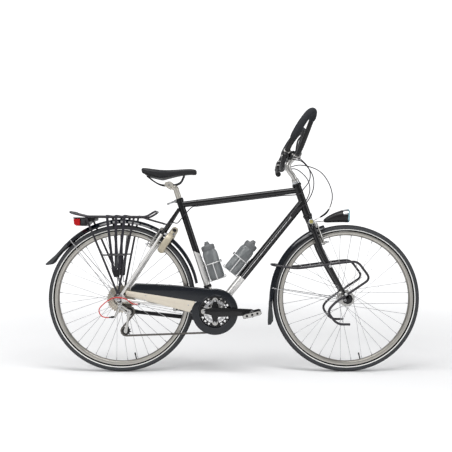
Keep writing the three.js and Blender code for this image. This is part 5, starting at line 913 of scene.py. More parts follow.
def make_frame():
    shape = Shape()
    frame_main_tubes(shape)
    for side in BOTH:
        frame_seat_stay(shape, side)
        frame_chain_stay(shape, side)
        frame_dropout(shape, side)
    shape.bar(lerp(SEAT_STAY_TOP, REAR, 0.16), STAY_SPREAD, 5.6 * MM, BLACK, 20)
    frame_bracket(shape)
    frame_fittings(shape)
    brake_bosses(shape, STAY_BACK, "rear_left_brake_close", 41.6 * MM)
    materials = [BLACK_PAINT, SILVER_PAINT, BLACK_ALLOY, STEEL]
    piece("frame_tubes", shape, "main_frame", materials, ["frame"])


make_frame()


# Fork and headset

BLADE_SHARES = [
    (1, 0.1, 1), (0.985, 0.4, 1), (0.94, 0.82, 1), (0.88, 0.98, 1), (0.66, 1.02, 1), (0.42, 1.08, 0.92),
    (0.2, 1.18, 0.72), (0.04, 1.27, 0.5),
]
BLADE_BEND_FROM = 0.66
TIP_SIDE = 50 * MM
TIP_THICKNESS = 6 * MM


def blade_point(height, side, way):
    bend = max(0.0, 1 - height / BLADE_BEND_FROM) ** 1.25
    return on_steer(height * FORK_CROWN, bend * FORK_RAKE, way * side * BLADE_SPREAD)


def fork_blade(shape, way):
    """A blade, with the plate that holds the axle and the eyelet above it."""
    rows = smooth_path(BLADE_SHARES, 8)
    path = [blade_point(row.x, row.y, way) for row in rows]
    shape.tube(path, [BLADE_RADIUS * row.z for row in rows], BLACK, 24)
    tip = [(FRONT, 15 * MM), (blade_point(0.08, 1, way), 6.5 * MM)]
    eyelet = [(FRONT + mm(-4, 0, 22), 5.5 * MM), (FRONT, 8 * MM)]
    for circles in (tip, eyelet):
        shape.prism(hull_outline(circles, way * TIP_SIDE), ACROSS * (way * TIP_THICKNESS), BLACK)


def make_fork():
    shape = Shape()
    for way in BOTH:
        fork_blade(shape, way)
    neck = HEAD_FOOT - HEAD_CUP_HEIGHT - GAP - FORK_CROWN + BLADE_RADIUS
    crown = in_mm((0, 0), (14, 0), (17, 10))
    crown += [(18.5 * MM, neck - 4 * MM), (21.5 * MM, neck - 3 * MM), (21.5 * MM, neck), (0, neck)]
    shape.lathe(crown, on_steer(FORK_CROWN - BLADE_RADIUS), STEER_UP, BLACK, 40)
    top = HEAD_TOP + HEAD_CUP_HEIGHT + GAP
    shape.lathe(in_mm((14.3, 0), (20, 0), (20, 2.5), (14.3, 2.5)), on_steer(top), STEER_UP, TRIM, 40, True)
    nut = [on_steer(top + 2.5 * MM) + (STEER_FORE * c + ACROSS * s) * 19.5 * MM for c, s in circle(6)]
    shape.prism(nut, STEER_UP * 6.5 * MM, TRIM)
    shape.bolt(on_steer(FORK_CROWN - 6 * MM, BLADE_RADIUS), STEER_FORE, 6 * MM, 5 * MM, STEEL_PART)
    disc = in_mm((0, 0), (12.5, 0), (12.5, 3.4), (11, 5), (0, 5))
    cap = in_mm((0, 4.6), (9.5, 4.6), (8.5, 7), (0, 7.4))
    for way in BOTH:
        side = on_steer(FORK_CROWN - 2 * MM, 2 * MM, way * BLADE_SPREAD * 0.9)
        shape.lathe(disc, side, ACROSS * way, TRIM, 28)
        shape.lathe(cap, side, ACROSS * way, GOLD_PART, 28)
    brake_bosses(shape, STEER_FORE, "front_left_brake_close", 52 * MM)
    materials = [BLACK_PAINT, SILVER_PAINT, CHROME, STEEL, GOLD_ALLOY]
    piece("fork_blades", shape, "steering", materials, ["fork"], 0.3 * MM)


make_fork()


# Stem, handlebar, grips and controls

BAR_CENTRE = mm(302.807, 0, 1032.73)
BAR_ALONG = Vector((0.438, 0, 0.899)).normalized()
BAR_NORMAL = Vector((-BAR_ALONG.z, 0, BAR_ALONG.x))
BAR_RADIUS = 11.1 * MM
BAR_BULGE = 1.14
BAR_BULGE_HALF = 40 * MM
BAR_HALF = 274 * MM
BAR_REACH = 55 * MM
BAR_SHARES = [
    (0, 0, 0), (0, 0, 0.16), (0.1, 0.02, 0.25), (0.25, 0.1, 0.36), (0.42, 0.22, 0.5), (0.54, 0.34, 0.68),
    (0.575, 0.52, 0.84), (0.5, 0.74, 0.95), (0.35, 0.9, 1), (0.15, 1, 0.99), (-0.05, 1.02, 0.93),
    (-0.2, 1, 0.82), (-0.32, 0.9, 0.68), (-0.39, 0.78, 0.52), (-0.41, 0.7, 0.4),
]
GRIP_RADIUS = 16.4 * MM
GRIP_STEPS = 40
GRIP_STEP_RANGE = (5, 12)
BAR_STEPS = 18
STEM_BASE = HEAD_TOP + HEAD_CUP_HEIGHT + 9.6 * MM
STEM_RISE = 122 * MM
STEM_REACH = 52 * MM
STEM_RADIUS = 13 * MM
STEM_SHARES = [(-0.5, 0), (0.04, 0), (0.22, -0.04), (0.5, -0.22), (0.72, -0.14), (0.86, 0.3), (1, 0.98)]


def bar_point(a, b, y, way):
    middle = BAR_CENTRE + BAR_ALONG * (a * BAR_HALF) + BAR_NORMAL * (b * BAR_REACH)
    return middle + ACROSS * (y * BAR_HALF * way)


def bar_path(way):
    return resample(smooth_path([bar_point(a, b, y, way) for a, b, y in BAR_SHARES], 14), 241)


def make_stem():
    shape = Shape()
    neck = [on_steer(STEM_BASE + up * STEM_RISE, fore * STEM_REACH) for up, fore in STEM_SHARES]
    shape.tube(smooth_path(neck, 12), STEM_RADIUS, 0, 32)
    half = in_mm((16.5, 22), (18.6, 20), (19, 16))
    bore = BAR_RADIUS + GAP
    clamp = [(bore, -22 * MM)] + [(r, -a) for r, a in half] + half[::-1] + [(bore, 22 * MM)]
    shape.lathe(clamp, BAR_CENTRE, ACROSS, 0, 48, True)
    cheek = BAR_CENTRE - BAR_NORMAL * 17 * MM - BAR_ALONG * 8 * MM
    for way in (-1, 1):
        start = cheek + ACROSS * (way * 14 * MM)
        shape.tube([start, start - BAR_ALONG * 16 * MM], 4.4 * MM, 1, 20)
    hinge = on_steer(712.8 * MM, 28.6 * MM)
    shape.bar(hinge, 20 * MM, 6 * MM, 0, 24)
    for way in (-1, 1):
        shape.bolt(hinge + ACROSS * (way * 20 * MM), ACROSS * way, 4.6 * MM, 2 * MM, 1)
    shape.bolt(on_steer(STEM_BASE + 0.5 * STEM_RISE + 12 * MM, -26 * MM), STEER_UP, 5 * MM, 2.4 * MM, 1)
    collar = in_mm((13.2, 0), (16.5, 0), (17, 2), (17, 11), (16.2, 13), (13.2, 13))
    shape.lathe(collar, on_steer(STEM_BASE), STEER_UP, 0, 40, True)
    piece("stem_neck", shape, "steering", [STEM_SILVER, STEEL], ["stem"], 0.4 * MM)


def make_bar():
    shape = Shape()
    right, left = bar_path(-1), bar_path(1)
    path = right[::-1] + left[1:]
    shape.tube(path, [BAR_RADIUS * (BAR_BULGE if abs(p.y) < BAR_BULGE_HALF else 1) for p in path], 0, 24)
    plug = in_mm((0, 0), (12.4, 0), (13.2, 1.4), (13.2, 4.4), (11, 6.4), (0, 7))
    for half in (right, left):
        heading = (half[-1] - half[-2]).normalized()
        shape.lathe(plug, half[-1] - heading * 3 * MM, heading, 1, 28)
    piece("handlebar_round", shape, "steering", [SATIN_BLACK, BLACK_PLASTIC], ["handlebar"])


def bar_stretch(way, start, end):
    """The stretch of one half of the bar between two of the frame's control steps."""
    fine = smooth_path([bar_point(a, b, y, way) for a, b, y in BAR_SHARES[1:]], 24)
    low, high = (int(step / BAR_STEPS * (len(fine) - 1)) for step in (start, end))
    return resample(fine[low:high + 1], GRIP_STEPS)


def make_grip(name, way):
    """A thick foam sleeve, thinner and rolled at its ends, with a soft dent where the hand rests."""
    radii = []
    for i in range(GRIP_STEPS):
        share = i / (GRIP_STEPS - 1)
        roll = min(1.0, (min(share, 1 - share) * GRIP_STEPS / 3.0 + 0.05)) ** 0.5
        dent = 1 - 0.05 * math.cos(TURN * share * 2)
        radii.append(BAR_RADIUS + GAP + (GRIP_RADIUS - BAR_RADIUS) * roll * dent)
    shape = Shape().tube(bar_stretch(way, *GRIP_STEP_RANGE), radii, 0, 32)
    piece(name + "_foam", shape, "steering", [FOAM], [name])


def control_places(way):
    """A function that gives a place on a control, in millimetres along the bar, out from it and up."""
    along = Vector((0.245, -0.699, 0.672)).normalized()
    out = Vector((0.899, 0, -0.438)).normalized()
    up = along.cross(out).normalized()
    up = up if up.z > 0 else -up
    flip = Vector((1, -way, 1))
    centre, along, out, up = (v * flip for v in (mm(229.95, -218.86, 1004.91), along, out, up))
    return lambda a, o, u: centre + along * (a * MM) + out * (o * MM) + up * (u * MM)


def control_axes(at):
    """The directions along the bar, out from it and up, at a control."""
    return [(at(*step) - at(0, 0, 0)).normalized() for step in ((1, 0, 0), (0, 1, 0), (0, 0, 1))]


def lever_pivot(way):
    return pivot_of(("right" if way < 0 else "left") + "_brake_lever_pull")


def make_control(name, way):
    """A brake and shifter body: clamp bands, the body, the shifter's pod with its window, and adjusters."""
    at = control_places(way)
    along, out, up = control_axes(at)
    shape = Shape()
    bore, wide = 11.6, 16.4
    for start, end, mark in ((-21, -11, 1), (-10, 12, 0), (13, 21, 1)):
        band = in_mm((bore, start), (wide - 1, start), (wide, start + 1))
        band += in_mm((wide, end - 1), (wide - 1, end), (bore, end))
        shape.lathe(band, at(0, 0, 0), along, mark, 36, True)
    body = smooth_path([at(-20, 20, 0), at(-8, 22, 0), at(8, 22, 0), at(20, 18, 2)], 5)
    last = len(body) - 1
    shape.tube(body, [8 * MM + 4.5 * MM * math.sin(math.pi * i / last) for i in range(last + 1)], 0, 20)
    pod = in_mm((0, -18), (11, -18), (13.5, -14), (14, 8), (12, 15), (8, 18), (0, 18))
    shape.lathe(pod, at(0, 2, -22), along, 0, 32)
    window = [at(-9, 13, -32), at(9, 13, -32), at(9, 13, -26), at(-9, 13, -26)]
    shape.prism(window, out * 2 * MM, 2)
    barrel = in_mm((0, 0), (5.4, 0), (5.4, 9), (4, 10), (4, 17), (0, 17))
    shape.lathe(barrel, at(-20, 20, 0), -along, 1, 20)
    shape.lathe(barrel, at(-16, 4, -22), -along, 0, 20)
    pivot = lever_pivot(way)
    for end in (-1, 1):
        shape.bolt(pivot + up * (end * 9 * MM), up * end, 4.6 * MM, 1.6 * MM, 1)
    shape.tube([pivot - up * 9 * MM, pivot + up * 9 * MM], 4 * MM, 1, 16)
    for end in (-1, 1):
        level = 7.6 * end
        middle = pivot + up * (level * MM)
        lug = [at(6, 20, level), at(14, 20, level), middle + out * 5 * MM + along * 3 * MM,
               middle + along * 6 * MM - out * 3 * MM, at(10, 12, level)]
        shape.prism(lug, up * (end * 2.2 * MM), 0)
    materials = [BLACK_PLASTIC, ALLOY, CLEAR_LENS]
    piece(name + "_body", shape, "steering", materials, [name], 0.4 * MM)


LEVER_SHARES = ((0, 3), (0.16, 9), (0.42, 4), (0.72, 0), (0.93, 4), (1, 5))


def make_lever(name, way, body):
    """A brake lever with a hooked blade."""
    pivot = lever_pivot(way)
    run = mm(282.5, 299.0 * way, 1070.1) - pivot
    out, up = control_axes(control_places(way))[1:]
    path = smooth_path([pivot + run * share + out * lift * MM for share, lift in LEVER_SHARES], 8)
    rings = []
    for i, place in enumerate(path):
        share = i / (len(path) - 1)
        heading = path_heading(path, i, False)
        thick = heading.cross(up).normalized()
        slim_wide, slim_thick = (1, 1) if share < 0.96 else (0.75, 0.6)
        wide = up * (lerp(7.4, 5.2, share) * MM * slim_wide)
        half_thick = lerp(4.6, 3.0, share) * MM * slim_thick
        rings.append([place + wide * c + thick * (half_thick * math.copysign(abs(s) ** 0.7, s))
                      for c, s in circle(20)])
    shape = Shape().rings(rings)
    shape.lathe(in_mm((3.4, -6.4), (8, -6.4), (8, 6.4), (3.4, 6.4)), pivot, up, 0, 24, True)
    piece(name + "_blade", shape, body, [BLACK_ALLOY], [name], 0.3 * MM)


def make_shifter(name, way, body):
    """A shifter lever with a thumb pad."""
    at = control_places(way)
    side, out = control_axes(at)[:2]
    hub = in_mm((3.2, 17.6), (6.2, 17.6), (6.6, 21), (3.2, 21.6))
    shape = Shape().lathe(hub, at(0, 0, -22), out, 0, 24, True)
    path = smooth_path([at(1, 19.4, -25), at(2, 20, -36), at(3, 20.5, -46), at(4, 20, -55)], 5)
    rings = []
    for i, place in enumerate(path):
        share = i / (len(path) - 1)
        wide = (3 + 4.4 * min(1, share * 1.7) * (1 if share < 0.9 else 0.8)) * MM
        rings.append([place + side * (wide * c) + out * (2.3 * MM * s) for c, s in circle(18)])
    shape.rings(rings)
    piece(name + "_pad", shape, body, [BLACK_PLASTIC], [name], 0.2 * MM)


HANDS = (("right", -1), ("left", 1))
make_stem()
make_bar()
for hand, way in HANDS:
    make_grip("grip_" + hand, way)
for hand, way in HANDS:
    make_control("control_" + hand, way)
for hand, way in HANDS:
    make_lever("brake_lever_" + hand, way, hand + "_brake_lever")
for hand, way in HANDS:
    make_shifter("shifter_lever_" + hand, way, hand + "_shifter")


# Saddle, its rails and the seat post

SADDLE_SECTIONS = [
    (0, 0.30, 0.02, 0.45), (0.03, 0.42, 0.06, 0.75), (0.1, 0.49, 0.02, 1), (0.22, 0.5, -0.1, 1.1),
    (0.34, 0.42, -0.18, 1.22), (0.46, 0.29, -0.18, 1.08), (0.6, 0.19, -0.12, 0.92), (0.75, 0.145, -0.04, 0.8),
    (0.88, 0.13, 0, 0.75), (0.97, 0.1, -0.08, 0.7), (1, 0.05, -0.3, 0.3),
]
SADDLE_OUTLINE = [
    (0, -0.06, 0), (0.3, 0, 0), (0.6, -0.02, 0), (0.85, -0.14, 0), (1, -0.38, 0), (0.97, -0.7, 0),
    (0.88, -1, 0),
]
SADDLE_TAIL = mm(-433.03, 0, 961)
SADDLE_LENGTH = 256 * MM
SADDLE_WIDTH = 156 * MM
SADDLE_THICKNESS = 34 * MM
POST_HEAD = mm(-305.03, 0, 883.89)
RAIL_RADIUS = 3.5 * MM
RAIL_HALF = 22 * MM
RAIL_SHARES = [
    (-0.4, 0.045, 1.5), (-0.28, -0.045, 1), (-0.17, -0.1, 1), (-0.04, -0.115, 1), (0.1, -0.105, 1),
    (0.2, -0.06, 0.7), (0.27, 0.067, 0.7),
]
POST_RADIUS = 13.6 * MM
POST_NECK_RADIUS = 13.2 * MM


def saddle_rows():
    """Each section of the saddle: its share of the length, place, half width, top and depth."""
    for along, half, rise, depth in smooth_rows(SADDLE_SECTIONS, 6):
        top = SADDLE_TAIL.z + rise * SADDLE_THICKNESS
        yield along, SADDLE_TAIL.x + along * SADDLE_LENGTH, half, top, depth


def make_saddle():
    outline = smooth_path(SADDLE_OUTLINE, 5)
    rings = []
    for along, x, half, top, depth in saddle_rows():

        def at(p, way):
            dent = 0.12 * math.exp(-(p.x / 0.22) ** 2) * (1 if 0.1 < along < 0.72 else 0.3)
            return Vector((x, way * p.x * half * SADDLE_WIDTH, top + (p.y - dent) * depth * SADDLE_THICKNESS))

        rings.append([at(p, -1) for p in outline] + [at(p, 1) for p in outline[:0:-1]])
    shape = Shape().rings(rings)
    made = piece("saddle_cover", shape, "seat", [SADDLE_COVER], ["saddle"], 0, 60)


def make_saddle_edge():
    """The trim along each lower edge of the cover."""
    shape = Shape()
    for way in BOTH:
        edge = []
        for _, x, half, top, depth in list(saddle_rows())[4:-5]:
            edge.append(Vector((x, way * 0.93 * half * SADDLE_WIDTH, top - 0.97 * depth * SADDLE_THICKNESS)))
        shape.tube(edge, 1.7 * MM, 0, 10)
    piece("saddle_edge", shape, "seat", [BLACK_PLASTIC], ())


def make_rails():
    shape = Shape()
    origin = POST_HEAD + mm(0, 0, 28.16)
    ends = []
    for way in BOTH:
        points = []
        for a, b, wide in RAIL_SHARES:
            points.append(origin + Vector((a * SADDLE_LENGTH, way * RAIL_HALF * wide, b * SADDLE_LENGTH)))
        path = smooth_path(points, 10)
        shape.tube(path, RAIL_RADIUS, 0, 16)
        ends.append((path[0], path[-1]))
    for a, b in zip(*ends):
        shape.tube([a, b], RAIL_RADIUS, 0, 16)
    piece("saddle_rails_round", shape, "seat", [BLACK_ALLOY], ["saddle_rails"])


def make_post():
    """The post, its head with the clamp's cheeks, and a scale of six fine lines."""
    shape = Shape()
    neck = [on_seat(597 * MM), on_seat(606 * MM, 1 * MM), lerp(on_seat(609.8 * MM), POST_HEAD, 0.5),
            POST_HEAD - mm(0, 0, 8)]
    path = [on_seat(440 * MM), on_seat(585 * MM)] + smooth_path(neck, 6)
    shape.tube(path, [POST_RADIUS] * 2 + [POST_NECK_RADIUS] * (len(path) - 2), 0, 32)
    half = in_mm((0, 30), (13, 30), (16, 27.5), (17, 24))
    shape.lathe([(r, -a) for r, a in half] + half[::-1], POST_HEAD, ACROSS, 0, 40)
    outline = ((-21, -2), (-17, -9), (12, -11), (19, -4), (19, 7), (13, 12), (-15, 14), (-21, 9))
    for way in BOTH:
        side = POST_HEAD + ACROSS * (way * 30 * MM)
        shape.prism([side + mm(x, 0, z) for x, z in outline], ACROSS * (way * 4 * MM), 0)
        shape.bolt(side + ACROSS * (way * 4 * MM), ACROSS * way, 5 * MM, 3 * MM, 1)
    line = in_mm((13.62, -0.4), (13.75, 0), (13.62, 0.4))
    for k in range(6):
        shape.lathe(line, on_seat((566 + k * 4) * MM), SEAT_UP, 1, 32, False, math.radians(60))
    piece("seatpost_round", shape, "seat", [POST_SILVER, STEEL], ["seatpost"], 0.4 * MM)


make_saddle()
make_saddle_edge()
make_rails()
make_post()


# Rear rack, its straps and the rear light

RACK_ORIGIN = Vector((REAR.x, 0, 0.735))
RACK_LENGTH = 398 * MM
RACK_HALF = 60 * MM
RACK_TUBE = 5 * MM
RACK_BACK, RACK_LEG, RACK_BAR, RACK_FRONT = -0.4, 0.17, -0.07, 0.23
RACK_FOOT = Vector((-0.537, 0, 0.374))
RACK_FOOT_SIDE = 78.8 * MM
RAIL_CORNERS = [
    (-0.588, -0.9, 0.052), (-0.555, -1, 0.036), (-0.4, -1, 0), (0.31, -1, -0.006), (0.385, -1, 0.04),
    (0.412, -0.9, 0.058),
]


def rack_place(x, y=0, z=0):
    return RACK_ORIGIN + Vector((x * RACK_LENGTH, y * RACK_HALF, z * RACK_LENGTH))


def rack_side(shape, way):
    """The legs of one side with the bar between them, the strut to the seat stay, the foot and the bolts."""
    low = flat_at(RACK_FOOT, way * RACK_FOOT_SIDE)
    for share in (RACK_BACK, RACK_LEG):
        top = rack_place(share, way)
        shape.tube(rounded([top, lerp(top, low, 0.06), lerp(top, low, 0.94), low], 12 * MM), RACK_TUBE, 0, 16)
    bar = [lerp(rack_place(share, way), low, 0.5) for share in (RACK_BACK, RACK_LEG)]
    shape.tube(bar, RACK_TUBE * 0.7, 0, 12)
    end = lerp(SEAT_STAY_TOP, DROPOUT_SEAT_FOOT, 0.2) + STAY_BACK * 12.2 * MM + ACROSS * (way * STAY_SPREAD)
    top = rack_place(0.25, way)
    strut = smooth_path([top, top + mm(14, 0, -8), end - (end - top) * 0.1, end], 8)
    shape.tube(strut, RACK_TUBE * 0.8, 0, 12)
    foot = hull_outline([(low, 8.6 * MM), (low + mm(0, 0, 14), 5 * MM)], low.y - way * 4.5 * MM)
    shape.prism(foot, ACROSS * (way * 5 * MM), 0)
    shape.bolt(low + ACROSS * (way * 0.6 * MM), ACROSS * way, 5 * MM, 3.4 * MM, 1)
    shape.bolt(end + ACROSS * (way * 2 * MM), ACROSS * way, 4.2 * MM, 3 * MM, 1)


def make_rack():
    shape = Shape()
    loop = [rack_place(x, y, z) for x, y, z in RAIL_CORNERS]
    loop += [rack_place(x, -y, z) for x, y, z in reversed(RAIL_CORNERS)]
    shape.tube(rounded_loop(loop, 17 * MM, 5, 0.45), RACK_TUBE, 0, 16, True)
    for way in BOTH:
        rack_side(shape, way)
    for share in (RACK_BACK, RACK_BAR, RACK_FRONT):
        shape.tube([rack_place(share, -1), rack_place(share, 1)], RACK_TUBE * 0.8, 0, 14)
    shape.tube([rack_place(RACK_BACK), rack_place(RACK_FRONT)], RACK_TUBE * 0.8, 0, 14)
    piece("rack_tubes", shape, "main_frame", [RACK_PAINT, STEEL], ["rear_rack"])


STRAP_SHARES = ((-0.145, -0.07), (-0.04, -0.04), (0.06, -0.01))
STRAP_HALF = 1.25 * MM
STRAP_DROP = 262 * MM
STRAP_SIDE = RACK_HALF + RACK_TUBE + 0.9 * MM
STRAP_TOP = RACK_ORIGIN.z + 0.82 * RACK_TUBE + GAP
STRAP_FOOT = STRAP_TOP - STRAP_DROP


def make_strap(shape, share, foot_share):
    """One strap, from its foot on the right over the rack to the left, with a rib down each side."""
    x = RACK_ORIGIN.x + share * RACK_LENGTH
    out = STRAP_SIDE + STRAP_HALF
    run = [Vector((RACK_ORIGIN.x + foot_share * RACK_LENGTH, -out, STRAP_FOOT)),
           Vector((x, -out, STRAP_TOP - 6 * MM)), Vector((x, -STRAP_SIDE + 3 * MM, STRAP_TOP + STRAP_HALF))]
    run += [Vector((p.x, -p.y, p.z)) for p in reversed(run)]
    shape.band(rounded(run, 5 * MM, 5), 6 * MM, STRAP_HALF, AHEAD)
    for way, low, high in ((1, run[-1], run[-2]), (-1, run[0], run[1])):
        shift = ACROSS * (way * 1.4 * MM)
        rib = [low + shift, high + shift]
        shape.band([lerp(*rib, 0.02), lerp(*rib, 0.97)], 1.4 * MM, 0.35 * MM, AHEAD)


def make_strap_end(shape, way):
    """The piece that gathers the straps on one side, with its hook and its finger grip."""
    base = Vector((RACK_ORIGIN.x, way * (STRAP_SIDE - 1.2 * MM), STRAP_FOOT + 6 * MM))
    corners = [(-0.088, 0), (0.008, 0), (0, -0.08), (-0.06, -0.08)]
    outline = [base + Vector((x * RACK_LENGTH, 0, z * RACK_LENGTH)) for x, z in corners]
    shape.prism(outline, ACROSS * (way * 6.2 * MM), 1)
    top = Vector((RACK_ORIGIN.x - 0.02 * RACK_LENGTH, way * (STRAP_SIDE + 2.5 * MM), STRAP_FOOT - 18 * MM))
    low = top + mm(0, way * 5, -39.8)
    curl = [top, lerp(top, low, 0.7), low, low + mm(7, 0, 1), low + mm(9, 0, 9)]
    shape.tube(smooth_path(curl, 6), 2 * MM, 2, 12)
    inside = base + ACROSS * (way * 3.6 * MM)
    grip = [inside + mm(x, 0, z) for x, z in ((-18, 10), (-6, 10), (-8, 62), (-14, 62))]
    shape.prism(grip, ACROSS * (way * 2.6 * MM), 3)


def make_straps():
    """Three elastic straps, flat over the rack and gathered in an end piece with a hook on each side."""
    shape = Shape()
    for shares in STRAP_SHARES:
        make_strap(shape, *shares)
    for way in BOTH:
        make_strap_end(shape, way)
    materials = [STRAP_RUBBER, BLACK_PLASTIC, STEEL, DARK_GREY]
    piece("straps", shape, "main_frame", materials, ["rack_straps"], 0.4 * MM)


LIGHT_FRONT = RACK_ORIGIN.x + RACK_BACK * RACK_LENGTH
LIGHT_TOP = RACK_ORIGIN.z - RACK_TUBE * 0.8 - GAP
LIGHT_HALF = 44 * MM
LIGHT_LENGTH = 100 * MM
LIGHT_HEIGHT = 40 * MM
LIGHT_CASE = [
    (-0.30, 0.0), (-0.30, -0.9), (-0.26, -1), (-0.1, -1), (0.02, -0.8), (0.1, -0.55), (0.38, -0.3),
    (0.38, 0.0),
]
LIGHT_CASE_ROWS = [(1, 0.88), (0.96, 0.97), (0.85, 1)]
LIGHT_ROOF = [(-0.62, 0.0), (-0.62, -0.14), (-0.3, -0.14), (-0.3, 0.0)]
LIGHT_LENS = [(-0.615, -0.16), (-0.62, -0.3), (-0.6, -0.8), (-0.5, -0.99), (-0.31, -0.99), (-0.31, -0.16)]
LIGHT_LENS_ROWS = [(1, 0.9), (0.93, 0.98), (0.8, 1)]
LIGHT_MIRROR = [(-0.24, -0.2), (-0.24, -0.72), (-0.08, -0.72), (-0.06, -0.2)]


def light_section(corners, y, size=1, about=(0, 0)):
    """One upright section of the rear light, drawn smaller about a point of it."""
    x0, z0 = about
    return [Vector((LIGHT_FRONT + (x0 + (x - x0) * size) * LIGHT_LENGTH, y * LIGHT_HALF,
                    LIGHT_TOP + (z0 + (z - z0) * size) * LIGHT_HEIGHT)) for x, z in corners]


def light_body(shape, corners, half_rows, about, mark):
    rows = [(-y, size) for y, size in half_rows] + half_rows[::-1]
    shape.rings([light_section(corners, y, size, about) for y, size in rows], mark)


def make_rear_light():
    """A rear light: a black case with a sloped top, a red lens round its back and sides, and a reflector."""
    shape = Shape()
    light_body(shape, LIGHT_CASE, LIGHT_CASE_ROWS, (0, -0.5), 0)
    shape.rings([light_section(LIGHT_ROOF, -1), light_section(LIGHT_ROOF, 1)])
    light_body(shape, LIGHT_LENS, LIGHT_LENS_ROWS, (-0.31, -0.57), 1)
    for way in BOTH:
        shape.prism(light_section(LIGHT_MIRROR, way * 0.985), ACROSS * (way * 0.9 * MM), 2)
    materials = [BLACK_PLASTIC, RED_LENS, DARK_GREY]
    piece("rear_light_case", shape, "main_frame", materials, ["rear_light"], 0.8 * MM, 50)


make_rack()
make_straps()
make_rear_light()


# Low rider and headlight

LOWRIDER_LENGTH = 444 * MM
LOWRIDER_HALF = 88 * MM
LOWRIDER_SHARES = [
    (-0.797, 0, 0.36), (-0.79, -0.6, 0.358), (-0.54, -1, 0.326), (-0.02, -1, 0.394), (0.09, -1, 0.4),
    (0.222, -1, 0.22), (-0.15, -1, -0.03), (-0.228, -1, -0.12), (-0.125, -1, -0.254), (0.002, -1, -0.254),
]
LOWRIDER_MOUNTS = ((0.44, 1.08, 0.92), (0.077, 1.25, 0.54))


def make_lowrider():
    """A bent tube on each side with an end plug, held off the fork blade by two stubs with bolts."""
    shape = Shape()
    plug = in_mm((0, 0), (5.4, 0), (5.4, 3), (0, 4))
    washer = in_mm((0, 0), (7, 0), (7, 3), (5, 4.4), (0, 4.4))
    for way in BOTH:
        points = []
        for x, y, z in LOWRIDER_SHARES:
            side = -y * way * LOWRIDER_HALF
            points.append(FRONT + Vector((x * LOWRIDER_LENGTH, side, z * LOWRIDER_LENGTH)))
        shape.tube(rounded(points, 27.75 * MM, 8), 5.6 * MM, 0, 18)
        shape.lathe(plug, points[-1], AHEAD, 1, 18)
        for height, side, radius in LOWRIDER_MOUNTS:
            blade = blade_point(height, side, way)
            near = flat_at(blade, way * (abs(blade.y) + radius * BLADE_RADIUS + GAP))
            far = flat_at(blade, way * (LOWRIDER_HALF + 3 * MM))
            shape.tube([near, far], 4 * MM, 0, 14)
            shape.lathe(washer, far, ACROSS * way, 0, 20)
            shape.bolt(far + ACROSS * (way * 4.4 * MM), ACROSS * way, 6 * MM, 3 * MM, 2)
    materials = [RACK_PAINT, BLACK_PLASTIC, WHITE_WIRE]
    piece("lowrider_tubes", shape, "steering", materials, ["lowrider"])


LAMP_BACK = Vector((427.57, 0, 739.4))
LAMP_LENGTH = 120
LAMP_RADIUS = 32
LAMP_FOOT = mm(377.2, 0, 709.3)
LAMP_ROWS = [(0, -0.75, 0.2), (0.1, -0.62, 0.4), (0.4, -0.3, 0.7), (0.75, -0.06, 0.92), (0.93, 0, 1)]
LAMP_BODY, LAMP_TOP, LAMP_BOWL, LAMP_LENS, LAMP_BOLT, LAMP_BEZEL = range(6)


def lamp_middle(x, z):
    return (LAMP_BACK + Vector((x * LAMP_LENGTH, 0, z * LAMP_RADIUS))) * MM


def lamp_body(shape):
    """The pointed body, bright on top of its front quarter, with five raised ribs round its back."""
    rings = []
    for x, z, size in smooth_rows(LAMP_ROWS, 6):
        radius = size * LAMP_RADIUS * MM
        rings.append([lamp_middle(x, z) + (ACROSS * c + Vector((0, 0, s))) * radius for c, s in circle(40)])
    split = len(rings) * 3 // 4
    shape.rings(rings[:split + 1], LAMP_BODY, False)
    start = len(shape.faces)
    shape.rings(rings[split:], LAMP_BODY, False)
    axis = lerp(rings[split][0], rings[split][len(rings[split]) // 2], 0.5)
    for k in range(start, len(shape.faces)):
        centre = sum((shape.points[i] for i in shape.faces[k]), Vector()) / len(shape.faces[k])
        if centre.z > axis.z + 6 * MM:
            shape.marks[k] = LAMP_TOP
    shape.face_ring(rings[0][::-1], LAMP_BODY)


def make_headlight():
    """A bullet-shaped lamp: a dark body, a bright bezel, a mirror bowl and a clear lens."""
    shape = Shape()
    lamp_body(shape)
    face = lamp_middle(0.93, 0)
    rim = in_mm((32, 0), (32.2, 2), (31.6, 6), (30.4, 8.2), (28.6, 8.2), (28.4, 3), (31, 0))
    shape.lathe(rim, face, AHEAD, LAMP_BEZEL, 56, True)
    bowl = in_mm((28.4, 2), (26, -4), (20, -12), (10, -18), (0, -20))
    bowl += in_mm((0, -21), (10.5, -19), (21, -13), (27, -4), (29, 1.6))
    shape.lathe(bowl, face, AHEAD, LAMP_BOWL, 56)
    lens = in_mm((0, 8.4), (12, 8), (22, 6.8), (28.5, 5), (28.5, 3.6), (0, 5.4))
    shape.lathe(lens, face, AHEAD, LAMP_LENS, 56)
    for i in range(5):
        radius = (0.47 + i * 0.045) * LAMP_RADIUS
        rib = in_mm((radius, -0.8), (radius + 1.2, -0.6), (radius + 1.2, 0.6), (radius, 0.8))
        shape.lathe(rib, lamp_middle(0.2 + i * 0.05, -0.5 + i * 0.05), AHEAD, LAMP_BODY, 36, True)
    end = lamp_middle(0.15, -0.5)
    bracket = smooth_path([LAMP_FOOT, LAMP_FOOT + mm(22, 0, 2), end - mm(14, 0, 8), end], 6)
    shape.band(bracket, 7 * MM, 1.6 * MM, ACROSS, LAMP_BODY)
    shape.bolt(LAMP_FOOT + mm(1, 0, 0), STEER_FORE, 5.4 * MM, 4 * MM, LAMP_BOLT)
    materials = [BLACK_PLASTIC, CHROME, REFLECTOR, CLEAR_LENS, STEEL, BEZEL]
    piece("headlight_bullet", shape, "steering", materials, ["headlight"], 0, 40)


make_lowrider()
make_headlight()


# Bottles and their wire cages

